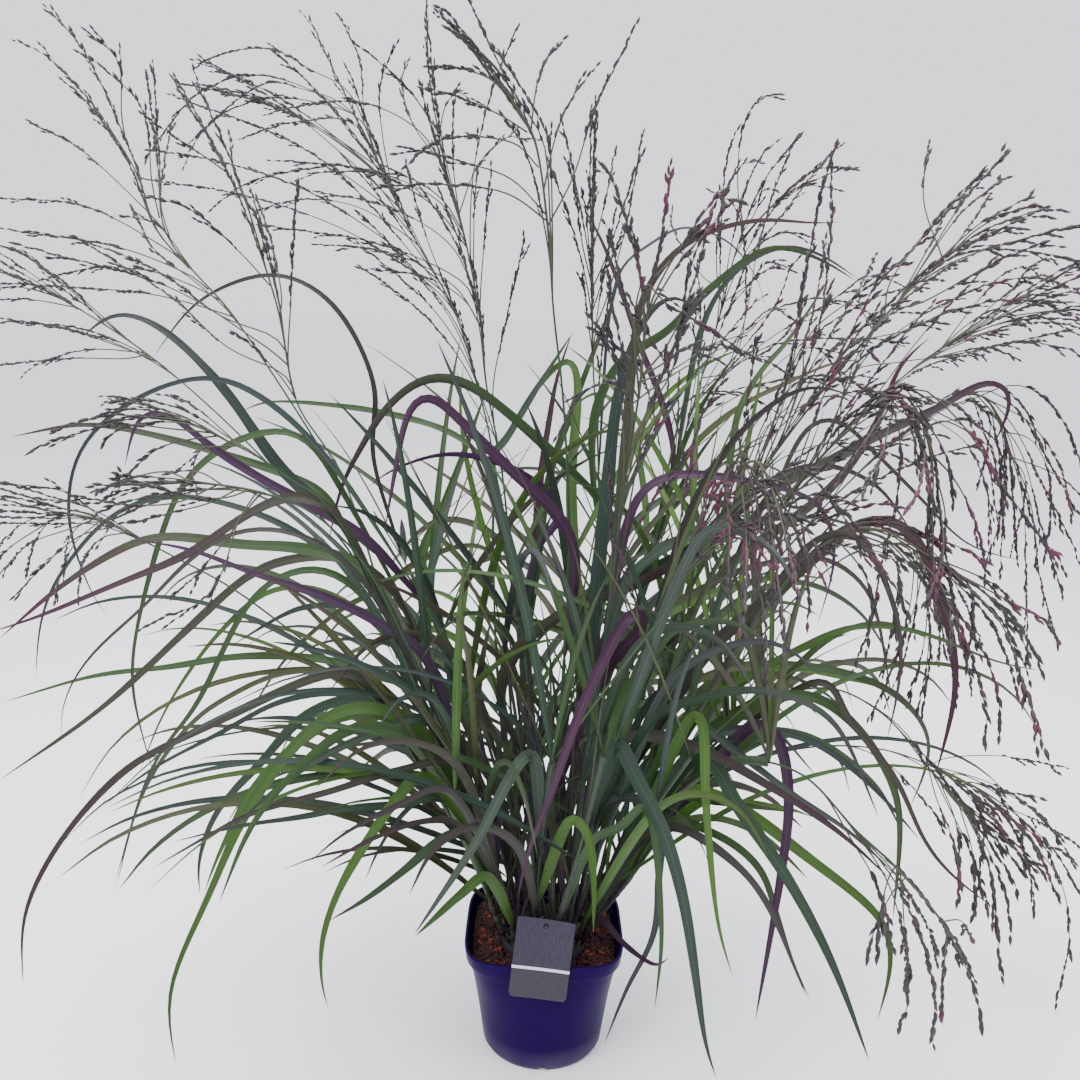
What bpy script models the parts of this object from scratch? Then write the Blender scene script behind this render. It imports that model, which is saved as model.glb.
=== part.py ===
"""A potted switchgrass: a clump of flowering stems in a three-litre nursery pot.

The frame has +Z up and its origin at the centre of the pot's underside. Lengths are metres, apart
from the strands' own drawing, which is in centimetres.

Every stem, leaf and flower branch is a strand. It is drawn as a few points on the upright plane
through the pot's axis, as they look to an eye standing at EYE, and each point is then slid along its
line of sight to the strand's own depth behind that plane. A strand that would touch another is slid
a little further or nearer until it is clear, as leaves grow round each other.
"""

import math

import bmesh
import bpy
import numpy as np
from mathutils import Vector
from mathutils.bvhtree import BVHTree

# Pot
ROUND_STEPS = 24
POT_HEIGHT = 0.148
RIM_RADIUS = 0.0918
NECK_RADIUS = 0.0875
FOOT_RADIUS = 0.070
RIM_SQUARENESS = 2.6
SQUARE_GROWTH = 3
MIDDLE = 0.062
LIP_DEPTH = 0.017
WALL = 0.0015
FLOOR = 0.0025
FOOT_ROUND = 0.006
DRAIN_COUNT = 6
DRAIN_RADIUS = 0.005
DRAIN_REACH = 0.0665
DRAIN_DEPTH = 0.009
GAP = 0.0004

# Soil and crown
SOIL_TOP = 0.117
SOIL_MOUND = 0.123
CROWN_RADIUS = 0.052
CROWN_FLOOR = 0.103
CROWN_TOP = 0.138

# Label card and its tie
CARD_WIDTH = 0.064
CARD_HEIGHT = 0.090
CARD_THICK = 0.0006
CARD_CENTRE = (-0.0025, -0.0942, 0.160)
CARD_LEAN = math.radians(-9.5)
CARD_ROLL = math.radians(-6.0)
HOLE_RADIUS = 0.0028
HOLE_DROP = 0.008
TIE_RADIUS = 0.0007
TIE_SLACK = 0.016

# Strands
EYE = np.array([-0.0134, -1.183, 0.863])
FEET_HEIGHT = CROWN_TOP + 0.0003
FORK_GAP = 0.0003
STEM_FOOT_RADIUS = 0.0024
STEM_TOP_RADIUS = 0.0016
HEAD_RADIUS = 0.0011
TWIG_RADIUS = 0.0004
TWIG_SPRAY_RADIUS = 0.0013
CLEARANCE = 0.0007
BEND_STEP = 38
DEPTH_STEP = 1.3
DEPTH_TRIES = 26
POT_CLEARANCE = 0.004


def leaf(joint, width, depth, *line, face=0.65):
    """A leaf blade: its joint's height on the stem in cm, its width in mm, its tip's depth and its line."""
    return {"joint": joint, "width": width, "depth": depth, "line": line, "face": face}


def twig(start, depth, *line):
    """A flower branch: where it leaves the head's axis, as a share, its tip's depth and its line."""
    return {"start": start, "depth": depth, "line": line}


def head(depth, line, *twigs):
    """The flower head above a stem: its axis beyond the main fork, and its branches."""
    return {"depth": depth, "line": line, "twigs": twigs}


def stem(foot, depth, line, *leaves, flower=None):
    """One stem: its foot on the crown, its top's depth, its line, its leaves and its flower head."""
    return {"foot": foot, "depth": depth, "line": line, "leaves": leaves, "flower": flower}


# Flowering stems, left to right round the clump
FLOWERING = [
    stem(
        (-2.9, 0.7), 6,
        [(-5, 24), (-9, 35), (-12.6, 45.3), (-16, 52.3), (-19.5, 60), (-25.3, 70.8), (-33.6, 83.9)],
        leaf(58, 13, 2, (-24.3, 63.7), (-29.8, 68.7), (-35.5, 77), (-41.5, 83), (-46.5, 84.7), (-50.5, 82)),
        leaf(54, 8, -6, (-23, 66), (-27.3, 72.4), (-33.9, 71.7), (-40.3, 66.7), (-44.6, 56), (-47.2, 45.1),
             (-46.3, 37), (-44.9, 30.9)),
        leaf(44, 11, -10, (-17.5, 55), (-22, 58.4), (-27.1, 58.7), (-33, 56.9), (-40.3, 50.4), (-50.8, 40.6),
             (-63.5, 31.4)),
        leaf(30, 9, 20, (-10, 42), (-15, 46), (-21, 45), (-26, 40)),
        flower=head(
            12, [(-37.5, 88.5), (-41.8, 93.4), (-43.8, 100.3), (-47.8, 109.9), (-51.5, 114.4)],
            twig(0.02, 20, (-39, 86), (-45, 87), (-58, 87.6)),
            twig(0.12, 2, (-39, 89), (-46, 91.5), (-57, 93)),
            twig(0.2, 12, (-41, 91.5), (-49, 95.5), (-58, 96.2)),
            twig(0.32, 18, (-43.5, 96), (-49, 101), (-53.9, 103.6)),
            twig(0.36, 4, (-42, 98), (-42.6, 105.1), (-47, 109.6)),
            twig(0.28, 20, (-41.2, 96), (-40.6, 100), (-39.6, 104)),
        ),
    ),
    stem(
        (-1.5, -0.9), -4,
        [(-3.8, 28), (-8, 42), (-13, 52), (-18.6, 61), (-24.5, 70.6), (-27.8, 76.1)],
        leaf(54, 11, -12, (-20, 60.5), (-24.5, 63.4), (-30.7, 66.7), (-36.4, 70.2), (-41.1, 73.9), (-43.4, 74.6),
             (-45.1, 73.3), (-46.6, 68.3)),
        leaf(57, 7, 6, (-21.8, 66), (-25.6, 71), (-30.4, 75.5), (-36.6, 78.3), (-44.7, 75.9), (-51.3, 70.2),
             (-53.1, 62), (-50.9, 53.5), (-49.2, 51)),
        leaf(36, 10, -16, (-9.5, 46), (-14, 50), (-20, 49), (-25, 43)),
        flower=head(
            -4, [(-29.5, 85.8), (-32.6, 95.5), (-35.7, 102.2), (-39.1, 108.3)],
            twig(0.03, 4, (-29.5, 79), (-35, 81.5), (-41, 86.8), (-49.1, 91.7)),
            twig(0.1, -12, (-31.5, 82), (-41, 87.6), (-55.3, 91.3)),
            twig(0.25, 6, (-29, 87), (-29.8, 92), (-31.2, 96.6)),
            twig(0.5, 2, (-32, 95), (-33.4, 99), (-33.8, 102)),
            twig(0.35, -14, (-33, 91), (-37.5, 95), (-41.5, 96.5)),
            twig(0.7, -10, (-37, 101), (-41, 103.5)),
        ),
    ),
    stem(
        (-4.1, 1.5), 14,
        [(-6.8, 24), (-11.5, 38), (-17, 50), (-22, 59), (-26.5, 64.5), (-31.3, 69.4), (-35.9, 74), (-41.5, 79)],
        leaf(55, 10, 10, (-24.5, 65.3), (-29.1, 67.8), (-36.6, 70.2), (-44.7, 72.2), (-51, 72.9), (-58.8, 71.4)),
        leaf(44, 8, 18, (-19, 55.5), (-24.6, 59.1), (-31, 63), (-40.4, 65.3), (-48, 63.2), (-54.5, 56.2),
             (-57.1, 50.5), (-58.1, 44)),
        leaf(33, 10, 12, (-16, 43.6), (-24.9, 46.8), (-34.6, 47.1), (-43.1, 45.6), (-51.7, 44.4), (-62.3, 41)),
        flower=head(
            20, [(-47, 83), (-53, 86.5), (-58.5, 88.8), (-63, 90.4)],
            twig(0.05, 10, (-45, 80.8), (-52, 83), (-59, 84)),
            twig(0.1, 24, (-46, 80), (-52, 79.9), (-60, 79)),
            twig(0.3, 12, (-50, 86), (-55, 90), (-58.5, 91.6)),
            twig(0.45, 26, (-56, 86), (-61.5, 85.6)),
        ),
    ),
    stem(
        (-4.0, -0.7), -14,
        [(-7.4, 26), (-12.6, 38), (-17.4, 50), (-21.4, 59), (-25, 64.8), (-28.5, 67.3), (-32.3, 69.9)],
        leaf(46, 12, -8, (-20, 56.6), (-27, 59.6), (-34.1, 59.9), (-42.6, 60.8), (-47.6, 59.2), (-54.8, 54.6),
             (-62, 48.5)),
        leaf(51, 11, -20, (-23, 62.5), (-28, 65.6), (-33.8, 63.1), (-40, 58.8), (-48, 55.3), (-57.4, 51.2),
             (-64, 49)),
        leaf(26, 10, 6, (-11, 37), (-17, 40.5), (-24, 38), (-29, 33)),
        flower=head(
            -18, [(-35.1, 71.3), (-39.6, 73.4), (-44.6, 73.9), (-47.6, 73.4)],
            twig(0.35, -24, (-41, 72.6), (-46.5, 73), (-51.2, 72), (-55.1, 70.7)),
            twig(0.1, -10, (-36, 72.8), (-38.6, 75), (-40.6, 76)),
            twig(0.15, -22, (-38, 70.5), (-39.2, 68), (-38.8, 66.3)),
            twig(0.5, -10, (-43, 75), (-46, 75.6)),
        ),
    ),
    stem(
        (-2.9, -2.5), -24,
        [(-5.8, 22), (-10.6, 36), (-15.6, 48), (-20, 57), (-24, 61.8), (-27.4, 64.3), (-31.3, 65.7)],
        leaf(42, 6, -24, (-20, 55), (-27, 61), (-34.4, 61.6), (-40, 58.2), (-45.3, 52.7), (-52.1, 46.5),
             (-55.6, 40.4), (-55.7, 36.2)),
        leaf(33, 11, -18, (-13.5, 46.5), (-17.8, 50.3), (-24.4, 53.9), (-32.8, 56.6), (-39.8, 59.3), (-47, 60.4)),
        leaf(24, 10, -30, (-9.5, 33), (-14.5, 37), (-21, 36.5), (-27, 31)),
        flower=head(
            -30, [(-35.5, 66.5), (-41, 66.8), (-47.2, 66.4)],
            twig(0.02, -20, (-33, 64.5), (-36, 60.4), (-39.3, 56.5), (-41.9, 54.3)),
            twig(0.06, -34, (-34.5, 62.5), (-36.4, 57), (-39, 53.4), (-43, 51.6)),
            twig(0.3, -24, (-38.6, 68), (-42, 67.9)),
            twig(0.35, -36, (-41, 64.6), (-46, 64.2), (-51.9, 65)),
            twig(0.5, -22, (-43, 67.9), (-50.2, 65.6)),
        ),
    ),
    stem(
        (-4.5, -2.2), -6,
        [(-9, 24), (-15, 35), (-20.6, 43.2), (-30.1, 51), (-35.6, 55.1), (-41.2, 58.2), (-46, 60.7)],
        leaf(20, 13, -26, (-12, 34), (-18, 41), (-24.7, 40.6), (-30.6, 34.5), (-35.5, 26.9), (-39.9, 16.7),
             (-43.6, 8.8), (-45.4, 2.6), (-44.6, -6)),
        leaf(32, 11, -8, (-20.5, 44.8), (-26, 44.9), (-33.5, 41.4), (-41.2, 37.4), (-47.8, 33.8), (-54, 27.6),
             (-58.8, 20.8), (-62, 13.6), (-62.6, 4.7)),
        leaf(26, 8, 10, (-15, 38.6), (-22, 42.8), (-30, 42), (-37.2, 38), (-45.7, 33.2), (-51.6, 28.4)),
        flower=head(
            -6, [(-50.2, 62.6), (-55.2, 63.4), (-60.8, 64.7)],
            twig(0.15, -12, (-52, 60.6), (-56, 57.4), (-59.3, 54)),
            twig(0.3, 2, (-53, 61.4), (-57.6, 59.6), (-61, 56.4)),
            twig(0.05, 2, (-49.6, 60.4), (-51.6, 58), (-52.6, 54.5)),
            twig(0.25, -16, (-52.4, 60), (-54.4, 56.4), (-55.2, 53.2)),
            twig(0.2, -14, (-53, 65.4), (-59.5, 66.3)),
            twig(0.5, 4, (-58, 62), (-62.4, 58)),
        ),
    ),
    stem(
        (-1.7, 2.2), 24,
        [(-4, 30), (-5.8, 45), (-6.5, 60), (-6.6, 70), (-8.5, 78.5), (-11, 86)],
        leaf(62, 9, 26, (-7.8, 70), (-11.5, 72.9), (-17.5, 74.6), (-24.1, 75.5), (-30.9, 75.7), (-34.4, 74.2)),
        leaf(40, 11, -22, (-4.8, 47.5), (0.7, 52.5), (7.2, 56.2), (12.8, 59.2), (18.5, 62.9), (21.2, 66.5),
             (24.6, 67.8)),
        leaf(31, 11, 42, (-6, 44), (-11, 50), (-17, 50.5), (-22, 46)),
        flower=head(
            30, [(-15, 93), (-19, 101), (-22.5, 108), (-25.3, 113.9)],
            twig(0.05, 36, (-14, 89), (-23, 94), (-33, 97), (-42.7, 98.3)),
            twig(0.1, 24, (-15.5, 91), (-25, 97), (-34, 100), (-42, 101.2)),
            twig(0.25, 34, (-18.5, 96.6), (-28, 102.5), (-38.6, 106.2)),
            twig(0.35, 26, (-20.5, 99.6), (-28, 105.5), (-36.1, 110)),
            twig(0.5, 38, (-20, 105), (-20.4, 110), (-22, 113.6)),
            twig(0.4, 22, (-18.2, 103), (-18.4, 107.6), (-17.1, 111.4)),
        ),
    ),
    stem(
        (-0.1, 0.6), 12,
        [(-1.5, 30), (-3, 46), (-4.6, 60), (-5.8, 70), (-7.4, 78), (-8, 84)],
        leaf(50, 10, 0, (-1.6, 60.5), (1, 64), (-1.7, 67.4), (-6.6, 69.8), (-12.1, 70.4), (-17.7, 68.5),
             (-20.2, 66.6)),
        leaf(28, 10, 34, (0, 40), (4, 46), (9, 47), (14, 41)),
        flower=head(
            14, [(-9.5, 92), (-12, 101), (-13.4, 109), (-13.7, 116.1)],
            twig(0.05, 8, (-10.5, 89), (-19, 92.4), (-30.2, 93.9)),
            twig(0.12, 20, (-11.5, 92.6), (-17.5, 96), (-25, 97.4)),
            twig(0.25, 4, (-13.5, 96.6), (-20, 99.6), (-27.7, 100.4)),
            twig(0.5, 22, (-15, 104), (-16.2, 108), (-15.6, 110)),
            twig(0.35, 22, (-8.6, 100), (-5.6, 103), (-3.6, 102.8)),
            twig(0.6, 8, (-15.6, 107.6), (-19.4, 110.8)),
        ),
    ),
    stem(
        (0.9, -1.1), -16,
        [(1.2, 30), (1.6, 46), (1.9, 60), (1, 75), (-0.4, 86), (-1, 93)],
        leaf(50, 11, -24, (2.6, 58.5), (0.8, 63.7), (-3.4, 67.6), (-9.7, 73.6), (-13.5, 77), (-15.7, 75.2),
             (-17.3, 68), (-18.4, 61.8)),
        leaf(34, 12, -34, (6, 46), (10.4, 51), (9.6, 54), (7.4, 50.5), (3.3, 40.6), (0.6, 31.3), (-2, 24.1),
             (-3.2, 17.6)),
        flower=head(
            -20, [(-2.4, 101.9), (-4.5, 105.6), (-8, 110), (-11.9, 114.3)],
            twig(0.05, -12, (1.4, 99.5), (3.4, 106), (6.6, 112.5)),
            twig(0.1, -28, (-5, 99), (-10, 100.6), (-16, 101.9)),
            twig(0.2, -14, (-0.6, 103), (0.8, 106.6), (2.5, 108.9)),
            twig(0.45, -26, (-6.2, 105.2), (-9.6, 106.6), (-12.8, 107.4)),
            twig(0.3, -28, (-5, 102.6), (-11, 103), (-14.8, 101.2)),
        ),
    ),
    stem(
        (1.3, 1.6), 8,
        [(2.6, 30), (4, 46), (5, 60), (4.8, 70), (3.9, 81)],
        leaf(56, 12, -2, (5.6, 64.5), (1.1, 69.5), (-5.6, 75.4), (-10, 78.3), (-14.1, 78.5), (-18.2, 75.2),
             (-20.8, 71), (-23.1, 66.6), (-24.6, 60.4)),
        leaf(45, 13, 22, (2.6, 58), (1.9, 68), (2.4, 78), (1, 81), (-3.9, 75)),
        leaf(25, 10, 26, (4.5, 36), (8, 41), (13, 40), (17, 34)),
        flower=head(
            6, [(3.6, 90), (3.4, 98), (3.5, 105.4)],
            twig(0.1, 12, (5.4, 88), (7, 95), (8.2, 102.8)),
            twig(0.3, 0, (2.4, 93), (1.6, 98), (0.8, 100.6)),
            twig(0.45, 10, (4.6, 96.5), (5.4, 101)),
            twig(0.2, -2, (5, 90), (6.4, 93.4)),
        ),
    ),
    stem(
        (2.5, -0.3), -30,
        [(3.9, 30), (5.6, 44), (6.8, 57), (7.6, 67), (8.9, 77)],
        leaf(42, 15, -16, (5.2, 56), (5.9, 66), (6.6, 76), (8.6, 84), (12, 88), (15, 86)),
        leaf(46, 10, -14, (8.4, 64), (12.7, 68.6), (19.6, 68.3), (24.7, 67.4), (29.3, 65.7), (31.1, 60.8),
             (31, 57.7), (29.7, 51.6)),
        leaf(36, 10, -40, (8.6, 47), (13.6, 51.6), (19, 50), (23.6, 43.6)),
        flower=head(
            -34, [(9.5, 86), (10.6, 93.5), (11.4, 99.7)],
            twig(0.1, -26, (12, 83), (14.4, 89.5), (15.5, 95.2)),
            twig(0.2, -40, (7.6, 86), (6, 91), (5, 94.4)),
            twig(0.4, -28, (12.6, 91), (16, 95), (17, 97.6)),
            twig(0.08, -22, (12.5, 80), (16.5, 82.6), (19, 82)),
            twig(0.3, -40, (8.6, 90), (7.4, 95)),
        ),
    ),
    stem(
        (2.3, 3.0), 34,
        [(5, 30), (8, 46), (11, 60), (14, 73), (17, 85)],
        leaf(66, 9, 24, (15, 83), (18, 89.6), (22.8, 92.7), (27, 92.2), (31.4, 89.7)),
        leaf(52, 9, 46, (10, 66), (8, 74), (4.6, 77.4), (1, 75)),
        leaf(30, 11, 44, (9, 43), (15, 49), (21, 48), (26, 43)),
        flower=head(
            38, [(18.5, 92.4), (20.7, 98.8), (24.1, 103.7)],
            twig(0.08, 30, (16.5, 91), (16.8, 97), (18.6, 100.8), (20.6, 101)),
            twig(0.2, 46, (21.6, 94), (25.6, 99.6), (28.3, 102.9)),
            twig(0.1, 28, (20, 89), (21.5, 91), (23.6, 91)),
            twig(0.4, 32, (22.6, 97.6), (26, 100.4), (29.6, 100.8)),
            twig(0.15, 44, (14.8, 90), (12, 94), (11.6, 96)),
        ),
    ),
    stem(
        (3.2, -1.6), -12,
        [(6, 28), (10, 42), (15, 55), (20.4, 65.6), (26.4, 75), (33, 84)],
        leaf(50, 11, -4, (19.5, 58.5), (25.8, 63.6), (30.2, 67.5), (33.1, 71.7), (35.1, 76.1), (36.5, 80.8),
             (39.6, 84)),
        leaf(40, 10, -30, (13, 57), (15.6, 66), (20.5, 74), (27, 78.6), (33, 77)),
        leaf(28, 10, -2, (12, 40), (18, 46), (25, 46.4), (31, 41)),
        flower=head(
            -10, [(38, 90), (43.6, 94.6), (49.7, 97.1)],
            twig(0.1, -2, (35, 90), (39.4, 96), (43.4, 100.5)),
            twig(0.3, -18, (42, 92), (50, 94.6), (58, 96.6)),
            twig(0.15, -20, (38.6, 87.6), (45, 91.4), (49.5, 93.4)),
            twig(0.02, 0, (31.6, 88), (33, 92.1)),
            twig(0.2, -2, (38.6, 93.4), (40, 97)),
        ),
    ),
    stem(
        (3.9, 1.1), 12,
        [(7, 28), (12, 42), (18, 55), (24, 64.6), (31, 73.4), (38, 80.6)],
        leaf(56, 12, 4, (23.6, 66.6), (29, 70), (35.6, 73.7), (41.2, 76.5), (45.9, 79.4), (48.7, 78.1),
             (48.1, 74.6), (47.2, 72.3)),
        leaf(42, 10, 30, (16, 58), (21, 66), (28, 70), (35, 68), (40, 62)),
        leaf(26, 11, 24, (12, 36), (18, 41), (25, 40), (31, 34)),
        flower=head(
            16, [(44, 84.6), (50, 87.6), (56, 89.6)],
            twig(0.1, 8, (43, 82), (48.6, 83.6), (54.1, 83)),
            twig(0.2, 24, (47, 85), (53, 85.6), (59, 83.6)),
            twig(0.3, 8, (48.6, 88), (54, 91.4), (58.6, 92)),
            twig(0.15, 24, (43.6, 87), (46.6, 90.6), (49.6, 91.4)),
            twig(0.5, 6, (54, 87), (58, 86)),
        ),
    ),
    stem(
        (4.6, -0.4), 22,
        [(8.4, 28), (14, 41), (20.6, 53), (27.6, 63), (34.4, 70.6), (40, 75.4)],
        leaf(52, 6, 32, (24, 66), (27, 74), (30.4, 75), (34.3, 71.8), (39.7, 66.9), (45.6, 61.6), (52, 59.8)),
        leaf(34, 10, 36, (14.6, 47), (20, 54), (27, 57), (34, 54), (38.6, 48)),
        flower=head(
            22, [(44.9, 78), (48.2, 74.5), (49.8, 68.2), (51.2, 60.6)],
            twig(0.15, 12, (48.6, 79), (52.4, 77.6), (55.6, 73.6), (58, 68)),
            twig(0.2, 30, (46.6, 75.4), (46.7, 72), (46.1, 68.6)),
            twig(0.3, 14, (50.4, 71.8), (53.4, 64), (56.6, 56.5)),
            twig(0.35, 30, (48.6, 69), (48.8, 64), (47.8, 59.4)),
            twig(0.45, 32, (52, 66.4), (54, 58), (56.8, 50.6)),
            twig(0.25, 10, (51, 75), (54.6, 70.6), (56.6, 65.6)),
        ),
    ),
    stem(
        (2.9, -3.0), -24,
        [(6.2, 24), (11, 38), (17, 51), (23, 62), (29.4, 71.6), (34, 76.5)],
        leaf(38, 14, -20, (17.4, 48.2), (22, 52.8), (27.1, 57.8), (31.5, 62.3), (35.8, 64.6), (39.7, 62.7),
             (42.4, 57.5), (45, 50.6), (46, 44.1), (44.6, 34)),
        leaf(30, 10, -38, (12.6, 43), (18, 48.6), (25, 50), (31, 46)),
        flower=head(
            -28, [(36.8, 77.9), (39.2, 75.4), (41.2, 70.6), (42.4, 64.4), (44.6, 55.6)],
            twig(0.15, -20, (39.6, 77.6), (43, 76.6), (45.4, 74.6)),
            twig(0.12, -38, (36, 75), (35.4, 71.4), (34, 68.4)),
            twig(0.3, -36, (40, 71.6), (39.8, 68), (38.6, 65.4)),
            twig(0.4, -22, (43.6, 68.6), (46, 64.6), (47.8, 59.6)),
            twig(0.6, -36, (43, 61.4), (42.6, 58), (41.6, 55)),
        ),
    ),
    stem(
        (4.4, -2.1), -27,
        [(8.6, 24), (14, 36), (19.6, 46.6), (25.2, 55.6), (30.9, 62.2)],
        leaf(40, 7, -40, (25.6, 57.6), (30.6, 62.8), (33.8, 62.4), (36.7, 57.8), (39.2, 51.4), (39.5, 44.6),
             (38.6, 38)),
        leaf(26, 8, -28, (14.6, 39.6), (21.7, 45.4), (27.9, 49.2), (33.1, 51.9), (39, 52), (44.4, 50.5),
             (50.3, 48), (56.2, 47.1)),
        flower=head(
            -32, [(36, 63), (40.9, 60.6), (46.9, 57), (51.4, 53.4), (54.4, 49.4)],
            twig(0.4, -24, (47.6, 54.6), (50.4, 50.6), (52.3, 46.5)),
            twig(0.5, -40, (50, 53), (53.4, 46), (56.6, 38.5)),
            twig(0.25, -40, (42.6, 57.6), (44.4, 54), (44.8, 50.6)),
            twig(0.12, -24, (37.6, 60.6), (38.6, 56), (38.4, 51.6)),
            twig(0.55, -26, (51.4, 55), (54.6, 53.4), (57, 50.6)),
        ),
    ),
    stem(
        (4.7, 0.9), 6,
        [(9.6, 26), (15.6, 38), (21.8, 48), (27.8, 55.8), (33.6, 60.6), (39.3, 61.2)],
        leaf(26, 12, -14, (16.6, 37), (22.5, 41.6), (27.4, 43.9), (31.5, 43.1), (36.6, 38.5), (40.4, 31.9),
             (41.3, 25.5), (41.3, 15.8)),
        leaf(33, 11, 10, (18.6, 45.8), (27.8, 47.2), (35.5, 45.9), (40.7, 42.9), (43.5, 38.8), (43.3, 34.5),
             (42, 30.2)),
        flower=head(
            6, [(41.4, 57), (42.6, 50), (42.6, 43.6)],
            twig(0.05, 14, (42, 60.6), (45.4, 56), (48.2, 50.6)),
            twig(0.3, -2, (43.4, 54), (44.8, 49), (46.1, 44.7)),
            twig(0.2, 16, (40.6, 55), (39.6, 51), (38.6, 48)),
        ),
    ),
    stem(
        (2.3, -3.6), -36,
        [(4.6, 24), (7.6, 37), (11.4, 50), (15.6, 61), (19.4, 68)],
        leaf(36, 10, -30, (11.6, 48), (16.4, 52), (22, 51.6), (27, 46.6)),
        leaf(46, 9, -50, (15.4, 60.4), (20, 62.6), (25, 60), (28, 54)),
        flower=head(
            -42, [(21.9, 70.3), (24.6, 65.6), (26.3, 60.9)],
            twig(0.1, -50, (20.6, 66.8), (21.4, 61), (21.6, 54)),
            twig(0.25, -34, (25.2, 68.6), (27.6, 62), (28.8, 54.1)),
            twig(0.35, -50, (23.6, 64.6), (24.8, 58.4), (26.3, 51.1)),
            twig(0.05, -34, (18.4, 70), (17, 67.6), (16.6, 64.6)),
        ),
    ),
    stem(
        (4.5, 2.2), 14,
        [(8.8, 20), (14, 28.5), (21.1, 34.6), (29.2, 37.4), (37.1, 37.6), (43.5, 35.8)],
        leaf(19, 11, 20, (13.6, 29), (19, 32.8), (25, 31.6), (30, 27.4)),
        leaf(24, 10, 30, (16.4, 33.6), (22, 38.8), (28.6, 39.2), (35, 35.8), (40.4, 30)),
        flower=head(
            14, [(50.4, 32.3), (56.7, 26.4), (60.1, 20)],
            twig(0.02, 22, (46, 36.6), (52, 36.9), (59.3, 35.7)),
            twig(0.2, 4, (50.6, 29), (51, 23), (50.8, 17)),
            twig(0.4, 24, (57, 29), (61.6, 26.4)),
            twig(0.6, 6, (60.4, 21.6), (62.4, 14.6), (62.2, 8)),
        ),
    ),
    stem(
        (3.6, 3.1), -8,
        [(9, 24), (16, 34), (24, 42.3), (31.4, 44.7), (38, 41.7), (43.2, 36)],
        leaf(24, 10, 2, (17.6, 38.6), (25, 44), (31, 50.4), (37, 52.6), (43, 50.4)),
        leaf(34, 8, -18, (30, 45.6), (34, 41), (40, 34.1), (44, 26.3), (47.8, 21.8), (53.5, 17.5)),
        flower=head(
            -8, [(47, 31.6), (52, 27), (56.3, 22.3)],
            twig(0.05, -14, (45, 31.6), (47, 27.4), (48.9, 21.4)),
            twig(0.15, 0, (47.4, 34.6), (52, 32.8), (56.6, 32)),
            twig(0.4, -16, (51.6, 24), (53.4, 17), (54.6, 10)),
        ),
    ),
    stem(
        (3.6, -3.3), -18,
        [(7, 20.5), (13, 29.4), (20.5, 35.4), (28.9, 34.4), (36.2, 27.2), (41, 22.8)],
        leaf(17, 10, -34, (11, 27), (16, 31.4), (22, 30), (26, 24)),
        flower=head(
            -22, [(45.8, 17.6), (49.6, 12.6), (51.9, 8)],
            twig(0.05, -16, (42.2, 19), (42.9, 14), (43.6, 9.6)),
            twig(0.1, -28, (41, 19.6), (39.6, 16), (38.8, 12.6)),
            twig(0.5, -14, (49.4, 16), (50.8, 13.6)),
        ),
    ),
]

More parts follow.
